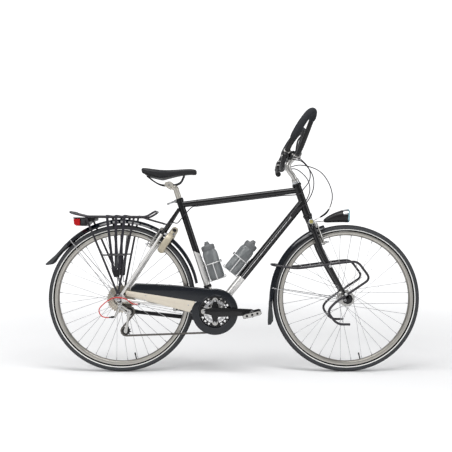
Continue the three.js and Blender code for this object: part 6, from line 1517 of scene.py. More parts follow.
BOTTLE_LENGTH = 184 * MM
BOTTLE_RADIUS = 36.5 * MM
BOTTLE_RIBS = 30
CAGE_REACH = 40.69 * MM
CAGE_WIRE = 2.5 * MM
CAGE_HOOP = 0.42
BOTTLE_PROFILE = [
    (0.84, 0), (0.93, 0.012), (0.98, 0.04), (0.985, 0.2), (0.98, 0.3), (0.955, 0.36), (0.98, 0.42),
    (0.955, 0.48), (0.98, 0.54), (0.98, 0.66), (0.94, 0.7), (0.80, 0.77),
]
LID_PROFILE = [
    (0.78, 0.765), (0.84, 0.77), (0.86, 0.8), (0.84, 0.88), (0.74, 0.905), (0.4, 0.91), (0.34, 0.93),
    (0.34, 0.955), (0.26, 0.965), (0.26, 0.985), (0.2, 1),
]


def bottle_places(on_tube, height, out):
    """A function that gives a place on a bottle: a share of its length, and ahead of and beside its axis."""
    return lambda along, ahead=0.0, side=0.0: on_tube(height + along * BOTTLE_LENGTH, out + ahead, side)


def bottle_profile(profile):
    """A profile closed on the bottle's axis at both ends."""
    closed = [(0, profile[0][1]), *profile, (0, profile[-1][1])]
    return [(r * BOTTLE_RADIUS, a * BOTTLE_LENGTH) for r, a in closed]


def make_bottle(name, body, place, up):
    """A bottle with a darker lower half and a ribbed lid."""
    rows = bottle_profile(BOTTLE_PROFILE)
    shape = Shape().lathe(rows, place(0), up)
    shape.marks = [2 if k % len(rows) < 8 else 0 for k in range(len(shape.faces))]
    shape.lathe(bottle_profile(LID_PROFILE), place(0), up, 1)
    side, other = cross_pair(up)
    for c, s in circle(BOTTLE_RIBS):
        out = side * c + other * s
        foot = place(0) + up * (0.785 * BOTTLE_LENGTH) + out * (0.852 * BOTTLE_RADIUS)
        shape.band([foot, foot + up * (0.09 * BOTTLE_LENGTH)], 1 * MM, 0.7 * MM, up.cross(out), 1)
    materials = [BOTTLE_PLASTIC, BOTTLE_LID, BOTTLE_LOWER]
    piece(name + "_turned", shape, body, materials, [name], 0, 50)


def make_cage(name, place, up, fore):
    """A bent wire cage: a hoop round the bottle, a stirrup below it and a spine bolted to the tube."""
    shape = Shape()
    reach = CAGE_REACH
    shape.tube([place(CAGE_HOOP, reach * c, reach * s) for c, s in circle(72)], CAGE_WIRE, 0, 12, True)
    low = (-CAGE_WIRE - GAP) / BOTTLE_LENGTH
    turns = ((CAGE_HOOP, reach), (low, reach), (low, -reach), (CAGE_HOOP, -reach))
    stirrup = [place(height, 0, side) for height, side in turns]
    shape.tube(rounded(stirrup, 11 * MM, 8), CAGE_WIRE, 0, 12)
    spine = [place(0.52, -reach), place(low, -reach), place(low, reach), place(low + 0.06, reach)]
    shape.tube(rounded(spine, 5 * MM), CAGE_WIRE, 0, 12)
    outline = ((0.02, -1), (0.02, 1), (0.56, 1), (0.6, 0.4), (0.6, -0.4), (0.56, -1))
    bracket = [place(a, -reach - 2.4 * MM, s * 6 * MM) for a, s in outline]
    shape.prism(bracket, fore * 1.2 * MM, 1)
    for share in (0.09, 0.44):
        shape.bolt(place(share, -reach + 0.2 * MM), fore, 4 * MM, 2.2 * MM, 2)
    clip = [place(CAGE_HOOP, reach * 0.99, side * MM) for side in (-6, 6)]
    shape.band(clip, 6 * MM, 2.8 * MM, up, 1)
    piece(name + "_wire", shape, "main_frame", [WHITE_WIRE, BLACK_PLASTIC, STEEL], [name])


SEAT_BOTTLE = bottle_places(on_seat, 140 * MM, 58.18 * MM)
DOWN_BOTTLE = bottle_places(on_down, 190 * MM, 62.79 * MM)
make_bottle("bottle_seat_tube", "seat_tube_bottle", SEAT_BOTTLE, SEAT_UP)
make_bottle("bottle_down_tube", "down_tube_bottle", DOWN_BOTTLE, DOWN_UP)
make_cage("bottle_cage_seat_tube", SEAT_BOTTLE, SEAT_UP, SEAT_FORE)
make_cage("bottle_cage_down_tube", DOWN_BOTTLE, DOWN_UP, DOWN_FORE)


# Control cables, each smooth along the frame's own route

BOW = [(0.32, 0.02), (0.64, 0.3), (0.66, 0.6), (0.44, 0.9)]
BOW_REACH = 144 * MM
BEND_END = 60
REAR_BRAKE_TOP = mm(-324.8, 0, 673)
FRONT_BRAKE_TOP = mm(364.96, 0, 697.9)
TAIL_SHARES = [
    (-0.78, -0.136, 0.08), (-0.85, -0.165, 0.087), (-0.92, -0.197, 0.14), (-1, -0.203, 0.155),
    (-1.05, -0.203, 0.148), (-1.13, -0.203, 0.1), (-1.19, -0.203, 0.03), (-1.17, -0.203, -0.03),
    (-1.12, -0.195, -0.052), (-1.07, -0.185, -0.05),
]
TAIL_PATH = smooth_path([BRACKET + Vector(p) * CHAINSTAY_LENGTH for p in TAIL_SHARES], 10)


def ferrule(way, lower):
    """The place where a housing leaves a control; lower is 0 for a brake and 0.7 for a shifter."""
    return control_places(way)(-lower * 17, 37.04, 0)


def bow(start, end, swing):
    """The free bow of a housing in front of the bicycle."""
    points = []
    for i, (ahead, fall) in enumerate(BOW):
        y = lerp(start.y, end.y, math.sin(math.pi / 2 * (i + 1) / len(BOW)))
        points.append(Vector((start.x + ahead * BOW_REACH * swing, y, lerp(start.z, end.z, fall))))
    return points


def under_top_tube(share, side):
    drop = TOP_TUBE_RADIUS + CABLE_RADIUS + GAP
    return lerp(TOP_TUBE_BACK, TOP_TUBE_FRONT, share) + Vector((0, side * TOP_TUBE_RADIUS * 0.5, -drop))


def beside_down_tube(share, side):
    return lerp(BRACKET, DOWN_TUBE_TOP, share) + ACROSS * (side * (DOWN_TUBE_RADIUS + CABLE_RADIUS + GAP))


def under_shell(ahead, side):
    drop = 1.15 * (SHELL_RADIUS + CABLE_RADIUS + 2 * GAP)
    return BRACKET + Vector((ahead * SHELL_RADIUS, side * SHELL_HALF * 2 / 3, -drop))


def crossing(path):
    """The two bodies that a cable joins, and where it starts and ends its bend."""
    return ("steering", "main_frame", tuple(path[0]), tuple(path[BEND_END]))


def make_rear_brake_cable():
    start = ferrule(-1, 0)
    end = on_steer(HEAD_TOP - 39 * MM, 0, -23.3 * MM)
    clip, last = under_top_tube(0.8, -1), under_top_tube(0.14, -1)
    front = smooth_path([start, *bow(start, end, 0.95), end, under_top_tube(0.86, -1), clip], 14)
    run = [lerp(clip, last, i / 14) for i in range(1, 14)]
    loop = [REAR_BRAKE_TOP + mm(*step) for step in ((57.2, -17, 31.2), (31.2, 0, 33.3), (8.3, 0, 12.5))]
    tail = smooth_path([last, under_top_tube(0.1, -1), on_seat(464 * MM, -15.9 * MM, -23.1 * MM), *loop], 10)
    shape = Shape()
    shape.tube(front, CABLE_RADIUS, 0, 14)
    shape.tube([front[-1], *run, tail[0]], CABLE_RADIUS, 0, 12)
    shape.tube(tail, CABLE_RADIUS, 0, 14)
    replaced = ["rear_brake_cable"]
    piece("rear_brake_housing", shape, crossing(front), [CABLE_HOUSING], replaced)


def make_gear_cable(name, side, swing):
    """Housing down to a stop on the down tube, then bare wire round the bottom bracket."""
    start = ferrule(side, 0.7)
    stop, low = beside_down_tube(0.85, side), beside_down_tube(0.14, side)
    end = beside_down_tube(0.93, side) + ACROSS * (side * 2 * CABLE_RADIUS)
    front = smooth_path([start, *bow(start, end, swing), end, stop], 14)
    shape = Shape().tube(front, CABLE_RADIUS, 0, 14)
    cap = in_mm((0, -8), (3.6, -8), (3.6, 3), (2, 6), (0, 6))
    shape.lathe(cap, stop, (low - stop).normalized(), 1, 16)
    points = [stop, low, under_shell(0.7, side)]
    if side < 0:
        leave = under_shell(-0.7, side)
        points += [leave, TAIL_PATH[0] - (TAIL_PATH[0] - leave).normalized() * GAP]
    shape.tube(rounded(points, 14 * MM), 1.1 * MM, 1, 8)
    piece(name + "_run", shape, crossing(front), [CABLE_HOUSING, STEEL], [name])


def make_front_brake_cable():
    """Housing down to a bent guide pipe, with a rubber boot over the bare wire beside the brake."""
    start = ferrule(1, 0)
    points = [start] + [start + mm(*step) for step in ((72, -54.8, 11.5), (165.6, -137, -36))]
    points += [FRONT_BRAKE_TOP + mm(*step) for step in ((103.7, 0, 136.8), (79.2, 0, 60.5), (14.4, 0, 17.3))]
    path = resample(smooth_path(points, 16), 121)
    pipe, boot_start, boot_end, boot_steps = 97, 99, 113, 43
    shape = Shape().tube(path[:pipe + 1], CABLE_RADIUS, 0, 14)
    shape.tube(path[pipe:], 2 * MM, 1, 14)
    cap = in_mm((0, -12), (3.4, -12), (3.4, -1), (2.6, 1), (0, 1))
    shape.lathe(cap, path[pipe], (path[pipe + 1] - path[pipe - 1]).normalized(), 1, 16)
    radii = []
    for i in range(boot_steps):
        fold = (5.4 if i % 4 in (1, 2) else 4.1) * MM
        radii.append(fold * (0.75 + 0.25 * math.sin(math.pi * i / (boot_steps - 1))))
    shape.tube(resample(path[boot_start:boot_end], boot_steps), radii, 2, 20)
    materials = [CABLE_HOUSING, ALLOY, BOOT_RUBBER]
    piece("front_brake_housing", shape, "steering", materials, ["front_brake_cable"])


def make_tail_housing():
    """The red housing behind the chain stay, with a cap on each end."""
    shape = Shape().tube(TAIL_PATH, CABLE_RADIUS, 0, 16)
    cap = in_mm((0, -10), (3.2, -10), (3.2, -1), (2.2, 0.3), (0, 0.3))
    for end, inner in ((0, 2), (-1, -3)):
        shape.lathe(cap, TAIL_PATH[end], (TAIL_PATH[end] - TAIL_PATH[inner]).normalized(), 1, 16)
    materials = [RED_HOUSING, BLACK_PLASTIC]
    piece("tail_housing", shape, "main_frame", materials, ["derailleur_housing"])


make_rear_brake_cable()
make_gear_cable("rear_gear_cable", -1, 1.15)
make_gear_cable("front_gear_cable", 1, 1.1)
make_front_brake_cable()
make_tail_housing()


# Chain rings and pedals

RING_TEETH = (48, 36, 26)
RING_SPACING = 7 * MM
RING_WEBS = ((70, 42, 0), (56, 28, 3), (40, 28, 0))
RING_BOLTS = 52 * MM
SMALL_BOLTS = 34 * MM
RING_THICK = 2.2 * MM
RING_ARMS = 4
TOOTH_LIFTS = (2.2, -3.6, -3.6, 2.2)
SLOT_RADIUS = 64
CHAIN_PITCH = 12.7 * MM
PEDAL_TILT_DEG = 14
PEDAL_OUTLINE = ((-1, -0.5), (-0.8, -1), (0.8, -1), (1, -0.5), (1, 0.5), (0.8, 1), (-0.8, 1), (-1, 0.5))


def tip_angle(node, centre):
    """The angle of one tooth tip of a toothed node."""
    points = [frame["nodes"][node].matrix_world @ v.co - centre for v in frame["nodes"][node].data.vertices]
    tip = max(points, key=lambda p: math.hypot(p.x, p.z))
    return math.atan2(tip.z, tip.x)


def ring_loops(teeth, web, tab, slots, tip):
    """The toothed outline of a ring and its openings, as pairs of an angle and a radius."""
    pitch = CHAIN_PITCH / (2 * math.sin(math.pi / teeth))
    steps = teeth * 4
    outer = [(tip + TURN * (k + 0.5) / steps, pitch + TOOTH_LIFTS[k % 4] * MM) for k in range(steps)]
    inner = []
    for k in range(96):
        angle = TURN * k / 96
        near_bolt = max(0.0, math.cos(2 * angle) ** 2 - 0.72) / 0.28
        inner.append((angle, lerp(web, tab, near_bolt ** 0.6) * MM))
    loops = [outer, inner]
    for arm in range(RING_ARMS):
        for k in range(slots):
            middle = TURN * (arm + 0.5 + (k - 1) * 0.2) / RING_ARMS
            slot = [(middle + c * 5.2 / SLOT_RADIUS, (SLOT_RADIUS + 4.6 * s) * MM) for c, s in circle(16)]
            loops.append(slot)
    return loops


def make_chainrings():
    """Three toothed rings, each with an opening drawn in at the four bolts; the middle one has slots too."""
    shape = Shape()
    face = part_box("chainrings")[0].y + RING_THICK / 2
    tip = tip_angle("chainrings", BRACKET)
    for i, (teeth, web) in enumerate(zip(RING_TEETH, RING_WEBS)):
        loops = ring_loops(teeth, *web, tip)
        faces = []
        for half in (-RING_THICK / 2, RING_THICK / 2):
            side = face + i * RING_SPACING + half
            faces.append([[around(BRACKET, a, r, side) for a, r in loop] for loop in loops])
        shape.holed_plate(*faces, i)
    pad = in_mm((0, -0.15), (13, -0.15), (13, 0.2), (6, 0.2), (6, 9), (0, 9))
    for k in range(RING_ARMS):
        turn = TURN * k / RING_ARMS
        shape.lathe(pad, around(BRACKET, turn, RING_BOLTS, face - RING_THICK / 2), ACROSS, 3, 32)
        small = around(BRACKET, turn, SMALL_BOLTS, face + RING_SPACING)
        shape.tube([small, small + ACROSS * RING_SPACING * 1.3], 4 * MM, 2, 16)
    materials = [BLACK_ALLOY, BLACK_ALLOY, STEEL, ALLOY]
    piece("chainrings_cut", shape, "cranks", materials, ["chainrings"])


def make_spider_bolts():
    """The heads of the ring bolts on the spider's arms, but for the arm that is the crank."""
    shape = Shape()
    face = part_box("chainrings")[0].y - 4.4 * MM
    for k in range(1, RING_ARMS):
        shape.bolt(around(BRACKET, TURN * k / RING_ARMS, RING_BOLTS, face), -ACROSS, 6 * MM, 1.6 * MM)
    piece("spider_bolts", shape, "cranks", [STEEL], ())


def make_pedal_plates(name, body):
    """Bright side plates with round holes, on the front and the back of a pedal."""
    shape = Shape()
    low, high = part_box(name)
    middle = (low + high) / 2
    tilt = math.radians(PEDAL_TILT_DEG)
    along = Vector((math.cos(tilt), 0, math.sin(tilt)))
    upward = Vector((-math.sin(tilt), 0, math.cos(tilt)))
    loops = [[(a * 41 * MM, b * 9 * MM) for a, b in PEDAL_OUTLINE]]
    for x in (-24, 0, 24):
        loops.append([((x + c * 5.5) * MM, s * 5.5 * MM) for c, s in circle(20)])
    loops = [[middle + along * a + upward * b for a, b in loop] for loop in loops]
    for side, way in ((low.y, -1), (high.y, 1)):
        levels = (side - way * 0.6 * MM, side + way * 0.8 * MM)
        shape.holed_plate(*[[[flat_at(p, level) for p in loop] for loop in loops] for level in levels])
    piece(name + "_plates", shape, body, [ALLOY], ())


make_chainrings()
make_spider_bolts()
make_pedal_plates("pedal_right", "right_pedal")
make_pedal_plates("pedal_left", "left_pedal")


# Chain guard

GUARD_RADIUS = 108 * MM
GUARD_OPENING = 73 * MM
GUARD_FACE = -64 * MM
GUARD_BACK = -61.5 * MM
GUARD_INWARD = -52.8 * MM
GUARD_SHELL = 1.6 * MM
GUARD_TAIL = [(-0.19, 0.103), (-0.872, 0.21), (-0.886, 0.24), (-0.83, 0.296)]
GUARD_CREST_STEPS = 48
GUARD_UNDER_STEPS = 15
GUARD_DEEP_STEPS = 16
GUARD_ROLL_STEPS = 6
GUARD_ROLL = (2.2, 8.5)
PLATE_CORNERS = [(-0.930, 0.223), (-0.203, 0.108), (-0.262, -0.004), (-0.925, 0.172)]
PLATE_NEAR = -64.3 * MM
PLATE_THICK = 2 * MM


def on_stay_plane(x, z):
    """A place in the upright plane of the bicycle, in shares of the chain stay's length from the bracket."""
    return BRACKET + Vector((x, 0, z)) * CHAINSTAY_LENGTH


def flat_loop(points, offset, side):
    """A loop in an upright plane, drawn in by an offset that may differ from point to point."""
    loop = []
    for k, p in enumerate(points):
        heading = (points[(k + 1) % len(points)] - points[k - 1]).normalized()
        loop.append(flat_at(p + ACROSS.cross(heading) * offset[k], side[k]))
    return loop


def guard_outline():
    """The outline of the cover: round the big chain ring, back along its tail and forward over the chain."""
    crest = []
    for i in range(GUARD_CREST_STEPS + 1):
        crest.append(around(BRACKET, math.radians(100 - 300 * i / GUARD_CREST_STEPS), GUARD_RADIUS))
    tail = [on_stay_plane(x, z) for x, z in GUARD_TAIL]
    top = [lerp(tail[3], crest[0], i / 14) + mm(0, 0, 5 * math.sin(math.pi * i / 14)) for i in range(1, 14)]
    low = [lerp(crest[-1], tail[0], i / 4) for i in range(1, 4)]
    long = [lerp(tail[0], tail[1], i / 12) for i in range(12)]
    return crest + low + long + rounded(tail[1:], 14 * MM, 4) + top


def guard_depths(outline):
    """How deep the edge is rolled at each point: fully over the chain, hardly under it, with soft changes."""
    count = len(outline)
    first_under = GUARD_CREST_STEPS + 1
    deep = []
    for k, place in enumerate(outline):
        over = place.z > BRACKET.z + 45 * MM or k < GUARD_DEEP_STEPS
        under = first_under <= k < first_under + GUARD_UNDER_STEPS
        deep.append(1.0 if over and not under else 0.0)
    return [sum(deep[(k + j) % count] for j in range(-3, 4)) / 7 for k in range(count)]


def make_chain_guard():
    """A glossy cover: a ring over the big chainring and a tail over the chain, both with a rolled edge."""
    outline = guard_outline()
    deep = guard_depths(outline)
    roll = [lerp(*GUARD_ROLL, d) * MM for d in deep]
    reach = [lerp(GUARD_BACK, GUARD_INWARD, d) for d in deep]

    def rolled(step, wall):
        turn = math.pi / 2 * step / GUARD_ROLL_STEPS
        inset = [r * (1 - math.sin(turn)) + wall * math.sin(turn) for r in roll]
        side = [GUARD_FACE + wall + (r - wall * 0.5) * (1 - math.cos(turn)) for r in roll]
        return flat_loop(outline, inset, [min(y, limit) for y, limit in zip(side, reach)])

    steps = range(GUARD_ROLL_STEPS + 1)
    loops = [rolled(step, 0) for step in steps]
    loops += [flat_loop(outline, [inset] * len(outline), reach) for inset in (0.0, GUARD_SHELL)]
    loops += [rolled(step, GUARD_SHELL) for step in reversed(steps)]
    shape = Shape().rings(loops, 0, False)
    hole = [BRACKET + Vector((c, 0, s)) * GUARD_OPENING for c, s in circle(72)]
    for loop, side in ((loops[0], GUARD_FACE), (loops[-1], GUARD_FACE + GUARD_SHELL)):
        shape.holed([loop, [flat_at(p, side) for p in hole]])
    back = GUARD_SHELL / MM
    lip = in_mm((0, back), (0, -1), (1.4, -1.8), (4, -1.6), (6, -0.1), (6, back))
    lip = [(GUARD_OPENING + r, GUARD_FACE + a) for r, a in lip]
    shape.lathe(lip, flat_at(BRACKET, 0), ACROSS, 0, 72, True)
    tab_top = Vector((GUARD_BOSS.x, 0, BRACKET.z + 0.14 * CHAINSTAY_LENGTH))
    tab = hull_outline([(tab_top, 8 * MM), (GUARD_BOSS, 6.4 * MM)], GUARD_BACK)
    shape.prism(tab, -ACROSS * 2.4 * MM)
    piece("chain_guard_cover", shape, "main_frame", [GUARD_BLACK], ["chain_guard"], 0, 50)


def make_guard_plate():
    """The pale plate under the cover, with rounded corners, a pressed rib and its bolts."""
    corners = [on_stay_plane(x, z) for x, z in PLATE_CORNERS]
    outline = rounded_loop(corners, 7 * MM, 4, 0.49)
    middle = sum(outline, Vector()) / len(outline)
    far = PLATE_NEAR - PLATE_THICK
    face = [Vector((lerp(p.x, middle.x, 0.012), far, lerp(p.z, middle.z, 0.05))) for p in outline]
    edges = [[flat_at(p, side) for p in outline] for side in (PLATE_NEAR, PLATE_NEAR - PLATE_THICK * 0.6)]
    shape = Shape().rings([*edges, face])
    rib_back = lerp(corners[0], corners[3], 0.5) + mm(16, 0, 0)
    rib_front = lerp(corners[1], corners[2], 0.32) - mm(24, 0, 0)
    shape.band([flat_at(p, far) for p in (rib_back, rib_front)], 3 * MM, 0.5 * MM, (0, 0, 1))
    for x, z in ((-411, 366), (-414, 345), (-212, 322)):
        shape.bolt(flat_at(mm(x, 0, z), PLATE_NEAR - 1.9 * MM), -ACROSS, 3.2 * MM, 1.6 * MM, 1)
    materials = [PALE_PLASTIC, STEEL]
    piece("guard_side_plate", shape, "main_frame", materials, ["chain_guard_plate"])


make_chain_guard()
make_guard_plate()


# Rear derailleur

GUIDE = flat_at(pivot_of("upper_pulley_turn"), 0)
TENSION = flat_at(pivot_of("lower_pulley_turn"), 0)
KNUCKLE = flat_at(HANGER, 0)
CAGE_SHARES = [
    (-0.13, 0.0), (-0.1, 0.075), (0, 0.11), (0.16, 0.1), (0.4, 0.055), (0.65, 0.055), (0.86, 0.085), (1, 0.1),
    (1.08, 0.075), (1.12, 0.0),
]


def derailleur_link(shape, a, b, radius):
    """One of the links between the knuckles, narrower on its outer face, with a pin at each end."""
    low = hull_outline([(a, radius * MM), (b, radius * MM)], -74.5 * MM)
    top = hull_outline([(a, radius * 0.8 * MM), (b, radius * 0.8 * MM)], -81.5 * MM)
    shape.rings([low, [p + ACROSS * -5 * MM for p in low], top])
    for end in (a, b):
        shape.bolt(flat_at(end, -81.2 * MM), -ACROSS, 2.6 * MM, 1.2 * MM, 1)


def make_derailleur():
    """The derailleur: its knuckles, the two links between them, the spring cover and the cable arm."""
    shape = Shape()
    knuckle = in_mm((0, -73.8), (9, -73.8), (10.5, -75.5), (10.5, -81), (8.6, -84), (5, -84.6), (0, -83))
    shape.lathe(knuckle, KNUCKLE, ACROSS, 0, 36)
    shape.bolt(KNUCKLE - ACROSS * 84 * MM, -ACROSS, 4.6 * MM, 1.8 * MM, 1)
    cover = in_mm((0, -61.5), (11.5, -61.5), (13, -63.5), (13, -74), (11.5, -78), (7, -80.8), (0, -81))
    shape.lathe(cover, GUIDE, ACROSS, 0, 40)
    shape.bolt(GUIDE - ACROSS * 80.6 * MM, -ACROSS, 4 * MM, 1.4 * MM, 1)
    along = (GUIDE - KNUCKLE).normalized()
    cross = ACROSS.cross(along)
    for shift, radius in ((8, 4.6), (-7, 4.2)):
        derailleur_link(shape, KNUCKLE + cross * shift * MM * 0.7, GUIDE + cross * shift * MM, radius)
    way = (TAIL_PATH[-1] - TAIL_PATH[-4]).normalized()
    stop = TAIL_PATH[-1] + way * 2.5 * MM
    shape.lathe(in_mm((0, -3), (4.6, -3), (5, 1), (5, 8), (3.6, 10), (3.6, 18), (0, 18)), stop, way, 2, 24)
    elbow = flat_at(lerp(KNUCKLE, stop + way * 16 * MM, 0.5), -81 * MM)
    arm = smooth_path([KNUCKLE - ACROSS * 78 * MM, elbow, stop + way * 15 * MM], 6)
    shape.tube(arm, [6.6 * MM] * 5 + [5.4 * MM] * 4 + [4.6 * MM] * 4, 0, 20)
    wire_end = KNUCKLE + cross * 8 * MM + along * 16 * MM - ACROSS * 82.5 * MM
    shape.tube([stop + way * 18 * MM, wire_end], 0.8 * MM, 1, 8)
    shape.lathe(in_mm((0, -1), (4, -1), (4, 1.6), (0, 1.6)), wire_end, -ACROSS, 1, 6)
    socket = flat_at(HANGER, -70 * MM)
    shape.tube([socket, socket - ACROSS * 6 * MM], 4.6 * MM, 1, 16)
    materials = [ALLOY, STEEL, BLACK_PLASTIC]
    piece("derailleur_links", shape, "main_frame", materials, ["rear_derailleur"], 0.4 * MM)


def pulley_plate(side):
    """A slim plate round the two pulleys, waisted between them."""
    run = TENSION - GUIDE
    along = run.normalized()
    cross = ACROSS.cross(along)
    loop = []
    for way, shares in ((1, CAGE_SHARES), (-0.8, CAGE_SHARES[-2:0:-1])):
        loop += [GUIDE + along * (a * run.length) + cross * (b * run.length * way) for a, b in shares]
    return [flat_at(p, side) for p in smooth_path(loop, 5, True)]


def make_pulley_cage():
    shape = Shape()
    for side, thick in ((-60.2, -2), (-47.8, 2)):
        shape.prism(pulley_plate(side * MM), ACROSS * thick * MM)
    for core in (GUIDE, TENSION):
        shape.bolt(core - ACROSS * 62.1 * MM, -ACROSS, 4.2 * MM, 2 * MM, 1)
        shape.bolt(core - ACROSS * 45.9 * MM, ACROSS, 4.2 * MM, 2 * MM, 1)
        shape.tube([core - ACROSS * 61.5 * MM, core - ACROSS * 46.5 * MM], 2.4 * MM, 1, 16)
    replaced = ["derailleur_cage"]
    piece("derailleur_cage_plates", shape, "chain_tensioner", [ALLOY, STEEL], replaced, 0.3 * MM)


make_derailleur()
make_pulley_cage()


# Frame lock

LOCK_CENTRE = mm(-322.83, 0, 606.61)
LOCK_RADIUS = 57 * MM
LOCK_WALL = 9 * MM
LOCK_THIN_WALL = 1.5 * MM
LOCK_HALF = 16 * MM
LOCK_START_DEG = -56
LOCK_SWEEP_DEG = 292
LOCK_STEPS = 60
LOCK_BODY_ROWS = [
    (46, 34, 12), (50, 39.5, 15), (58, 41, 16), (68, 39.5, 16), (78, 35, 15), (85, 28, 12.5), (89, 20, 9.5),
    (91, 12, 6),
]
KEY_OUTLINE = ((-7, 0), (-6, 5), (0, 7), (6, 5), (7, 0), (5, -3), (-5, -3))


def lock_place(side, up, ahead):
    return LOCK_CENTRE + STAY_UP * up - STAY_BACK * ahead + ACROSS * side


def rounded_square(power, sides):
    """Points round a circle that is squared off, more so as the power falls."""
    return [(math.copysign(abs(c) ** power, c), math.copysign(abs(s) ** power, s)) for c, s in circle(sides)]


def lock_ring(i):
    """One section of the ring, smaller at its ends, and thin where the bolt's slot is."""
    degrees = LOCK_START_DEG + LOCK_SWEEP_DEG * i / LOCK_STEPS
    turn = math.radians(degrees)
    size = 0.35 + 0.65 * min(min(i, LOCK_STEPS - i) / 2.5, 1)
    ring = []
    for radial, ahead in rounded_square(0.62, 40):
        slot = degrees < 60 and radial > 0.5 and abs(ahead) < 0.36
        reach = LOCK_RADIUS + (LOCK_THIN_WALL if slot else radial * LOCK_WALL * size)
        ring.append(lock_place(reach * math.cos(turn), reach * math.sin(turn), ahead * LOCK_HALF * size))
    return ring


def make_lock():
    """A frame lock: an open ring round the tyre, with its body, its cylinder, its key and its bolt's slot."""
    shape = Shape().rings([lock_ring(i) for i in range(LOCK_STEPS + 1)])
    body = []
    for up, side, ahead in smooth_rows(LOCK_BODY_ROWS, 4):
        body.append([lock_place(side * c * MM, up * MM, ahead * s * MM) for c, s in rounded_square(0.7, 40)])
    shape.rings(body)
    for way in (-1, 1):
        foot = lock_place(way * 43 * MM, 38 * MM, -10 * MM)
        shape.tube([foot, foot + STAY_BACK * 20 * MM], 5.2 * MM, 2, 16)
    barrel = in_mm((0, 0), (9.5, 0), (9.5, 4), (8, 6), (4, 6.4), (0, 5))
    shape.lathe(barrel, lock_place(-33 * MM, 76 * MM, 2 * MM), -ACROSS, 1, 32)
    foot = lock_place(-37 * MM, 60 * MM, 9 * MM)
    shape.tube([foot, foot - ACROSS * 8 * MM], 2 * MM, 2, 12)
    grip = [foot + STAY_UP * (a * MM) - STAY_BACK * (b * MM) - ACROSS * 6 * MM for a, b in KEY_OUTLINE]
    shape.prism(grip, -ACROSS * 2 * MM, 2)
    materials = [BEIGE_PLASTIC, BLACK_PLASTIC, STEEL]
    piece("lock_case", shape, "main_frame", materials, ["lock_housing"], 0, 50)


make_lock()


# Wheels

SPOKES = 36
SPOKE_CROSS_DEG = 60
SPOKE_RADIUS = 1.1 * MM
ELBOW_RADIUS = 1.3 * MM
AXLE_BORE = 5.4 * MM
VALVE_TURN = -1.34
TYRE_SIDES = 44
TREAD_GROOVES = (2, 4, TYRE_SIDES - 2, TYRE_SIDES - 4)
SHOULDER_BLOCKS = 110
BLOCK_CORNERS = ((-0.010, 0.55), (0.008, 0.55), (0.016, 0.8), (-0.002, 0.8))


def tyre_profile():
    middle = (TYRE_RADIUS + RIM_RADIUS) / 2
    profile = []
    for k, (c, s) in enumerate(circle(TYRE_SIDES)):
        high = (TYRE_RADIUS - middle) * math.copysign(abs(c) ** 0.9, c)
        wide = TYRE_HALF * math.copysign(abs(s) ** 0.8, s)
        if c < -0.55:
            wide *= 0.72
        groove = 0.7 * MM if k in TREAD_GROOVES else 0
        profile.append((max(middle + high - groove, RIM_RADIUS + GAP), wide))
    return profile


def make_tyre(name, centre, body, material):
    """A round tyre with grooves round its tread and slanted blocks at its shoulders."""
    shape = Shape().lathe(tyre_profile(), centre, ACROSS, 0, 160, True)
    half_high = TYRE_RADIUS - (TYRE_RADIUS + RIM_RADIUS) / 2
    for i in range(SHOULDER_BLOCKS):
        for side in BOTH:
            turn = TURN * (i + (0.5 if side > 0 else 0)) / SHOULDER_BLOCKS
            low, high = [], []
            for step, share in BLOCK_CORNERS:
                drop = half_high * (1 - (1 - share ** 2.5) ** 0.5) * 0.9
                for ring, lift in ((low, -1.5 * MM), (high, 0.2 * MM)):
                    out = TYRE_RADIUS - drop + lift
                    ring.append(around(centre, turn + step, out, side * TYRE_HALF * share))
            shape.rings([low, high])
    piece(name + "_round", shape, body, [material], [name])


def make_rim(name, centre, body, material):
    """A hooked rim with a machined brake track, spoke nipples and a tyre valve."""
    inner, outer = RIM_RADIUS - RIM_DEPTH, RIM_RADIUS
    half = [
        (inner, 0.42), (inner + 1.6 * MM, 0.72), (inner + 5.2 * MM, 0.95), (inner + 6 * MM, 1),
        (outer - 1.4 * MM, 1), (outer - 0.2 * MM, 0.98), (outer, 0.9), (outer - 0.5 * MM, 0.8),
        (outer - 6 * MM, 0.76), (outer - 7.5 * MM, 0.3),
    ]
    profile = [(r, -RIM_HALF * y) for r, y in half] + [(r, RIM_HALF * y) for r, y in reversed(half)]
    shape = Shape().lathe(profile, centre, ACROSS, 0, 180, True)
    across = len(profile)
    sides = (0, 1, across - 3, across - 2, across - 1)
    shape.marks = [3 if k % across in sides else 0 for k in range(len(shape.faces))]
    stem = in_mm((0, 0), (2.8, 0), (2.8, 20), (3.6, 21), (3.6, 32), (2.4, 33), (0, 33))
    shape.lathe(stem, around(centre, VALVE_TURN, inner + 2 * MM), around(Vector(), VALVE_TURN, -1), 1, 16)
    nipple = in_mm((0, 0), (3.1, 0), (3.1, 1.4), (2, 2.4), (1.8, 13), (0, 13.4))
    for i in range(SPOKES):
        side = -1 if i % 2 == 0 else 1
        turn = TURN * (i + 0.5) / SPOKES
        place = around(centre, turn, inner + 0.6 * MM, side * RIM_HALF / 4)
        shape.lathe(nipple, place, around(Vector(), turn, -1), 2, 10)
    piece(name + "_hooked", shape, body, [material, BLACK_PLASTIC, STEEL, DARK_RIM], [name])


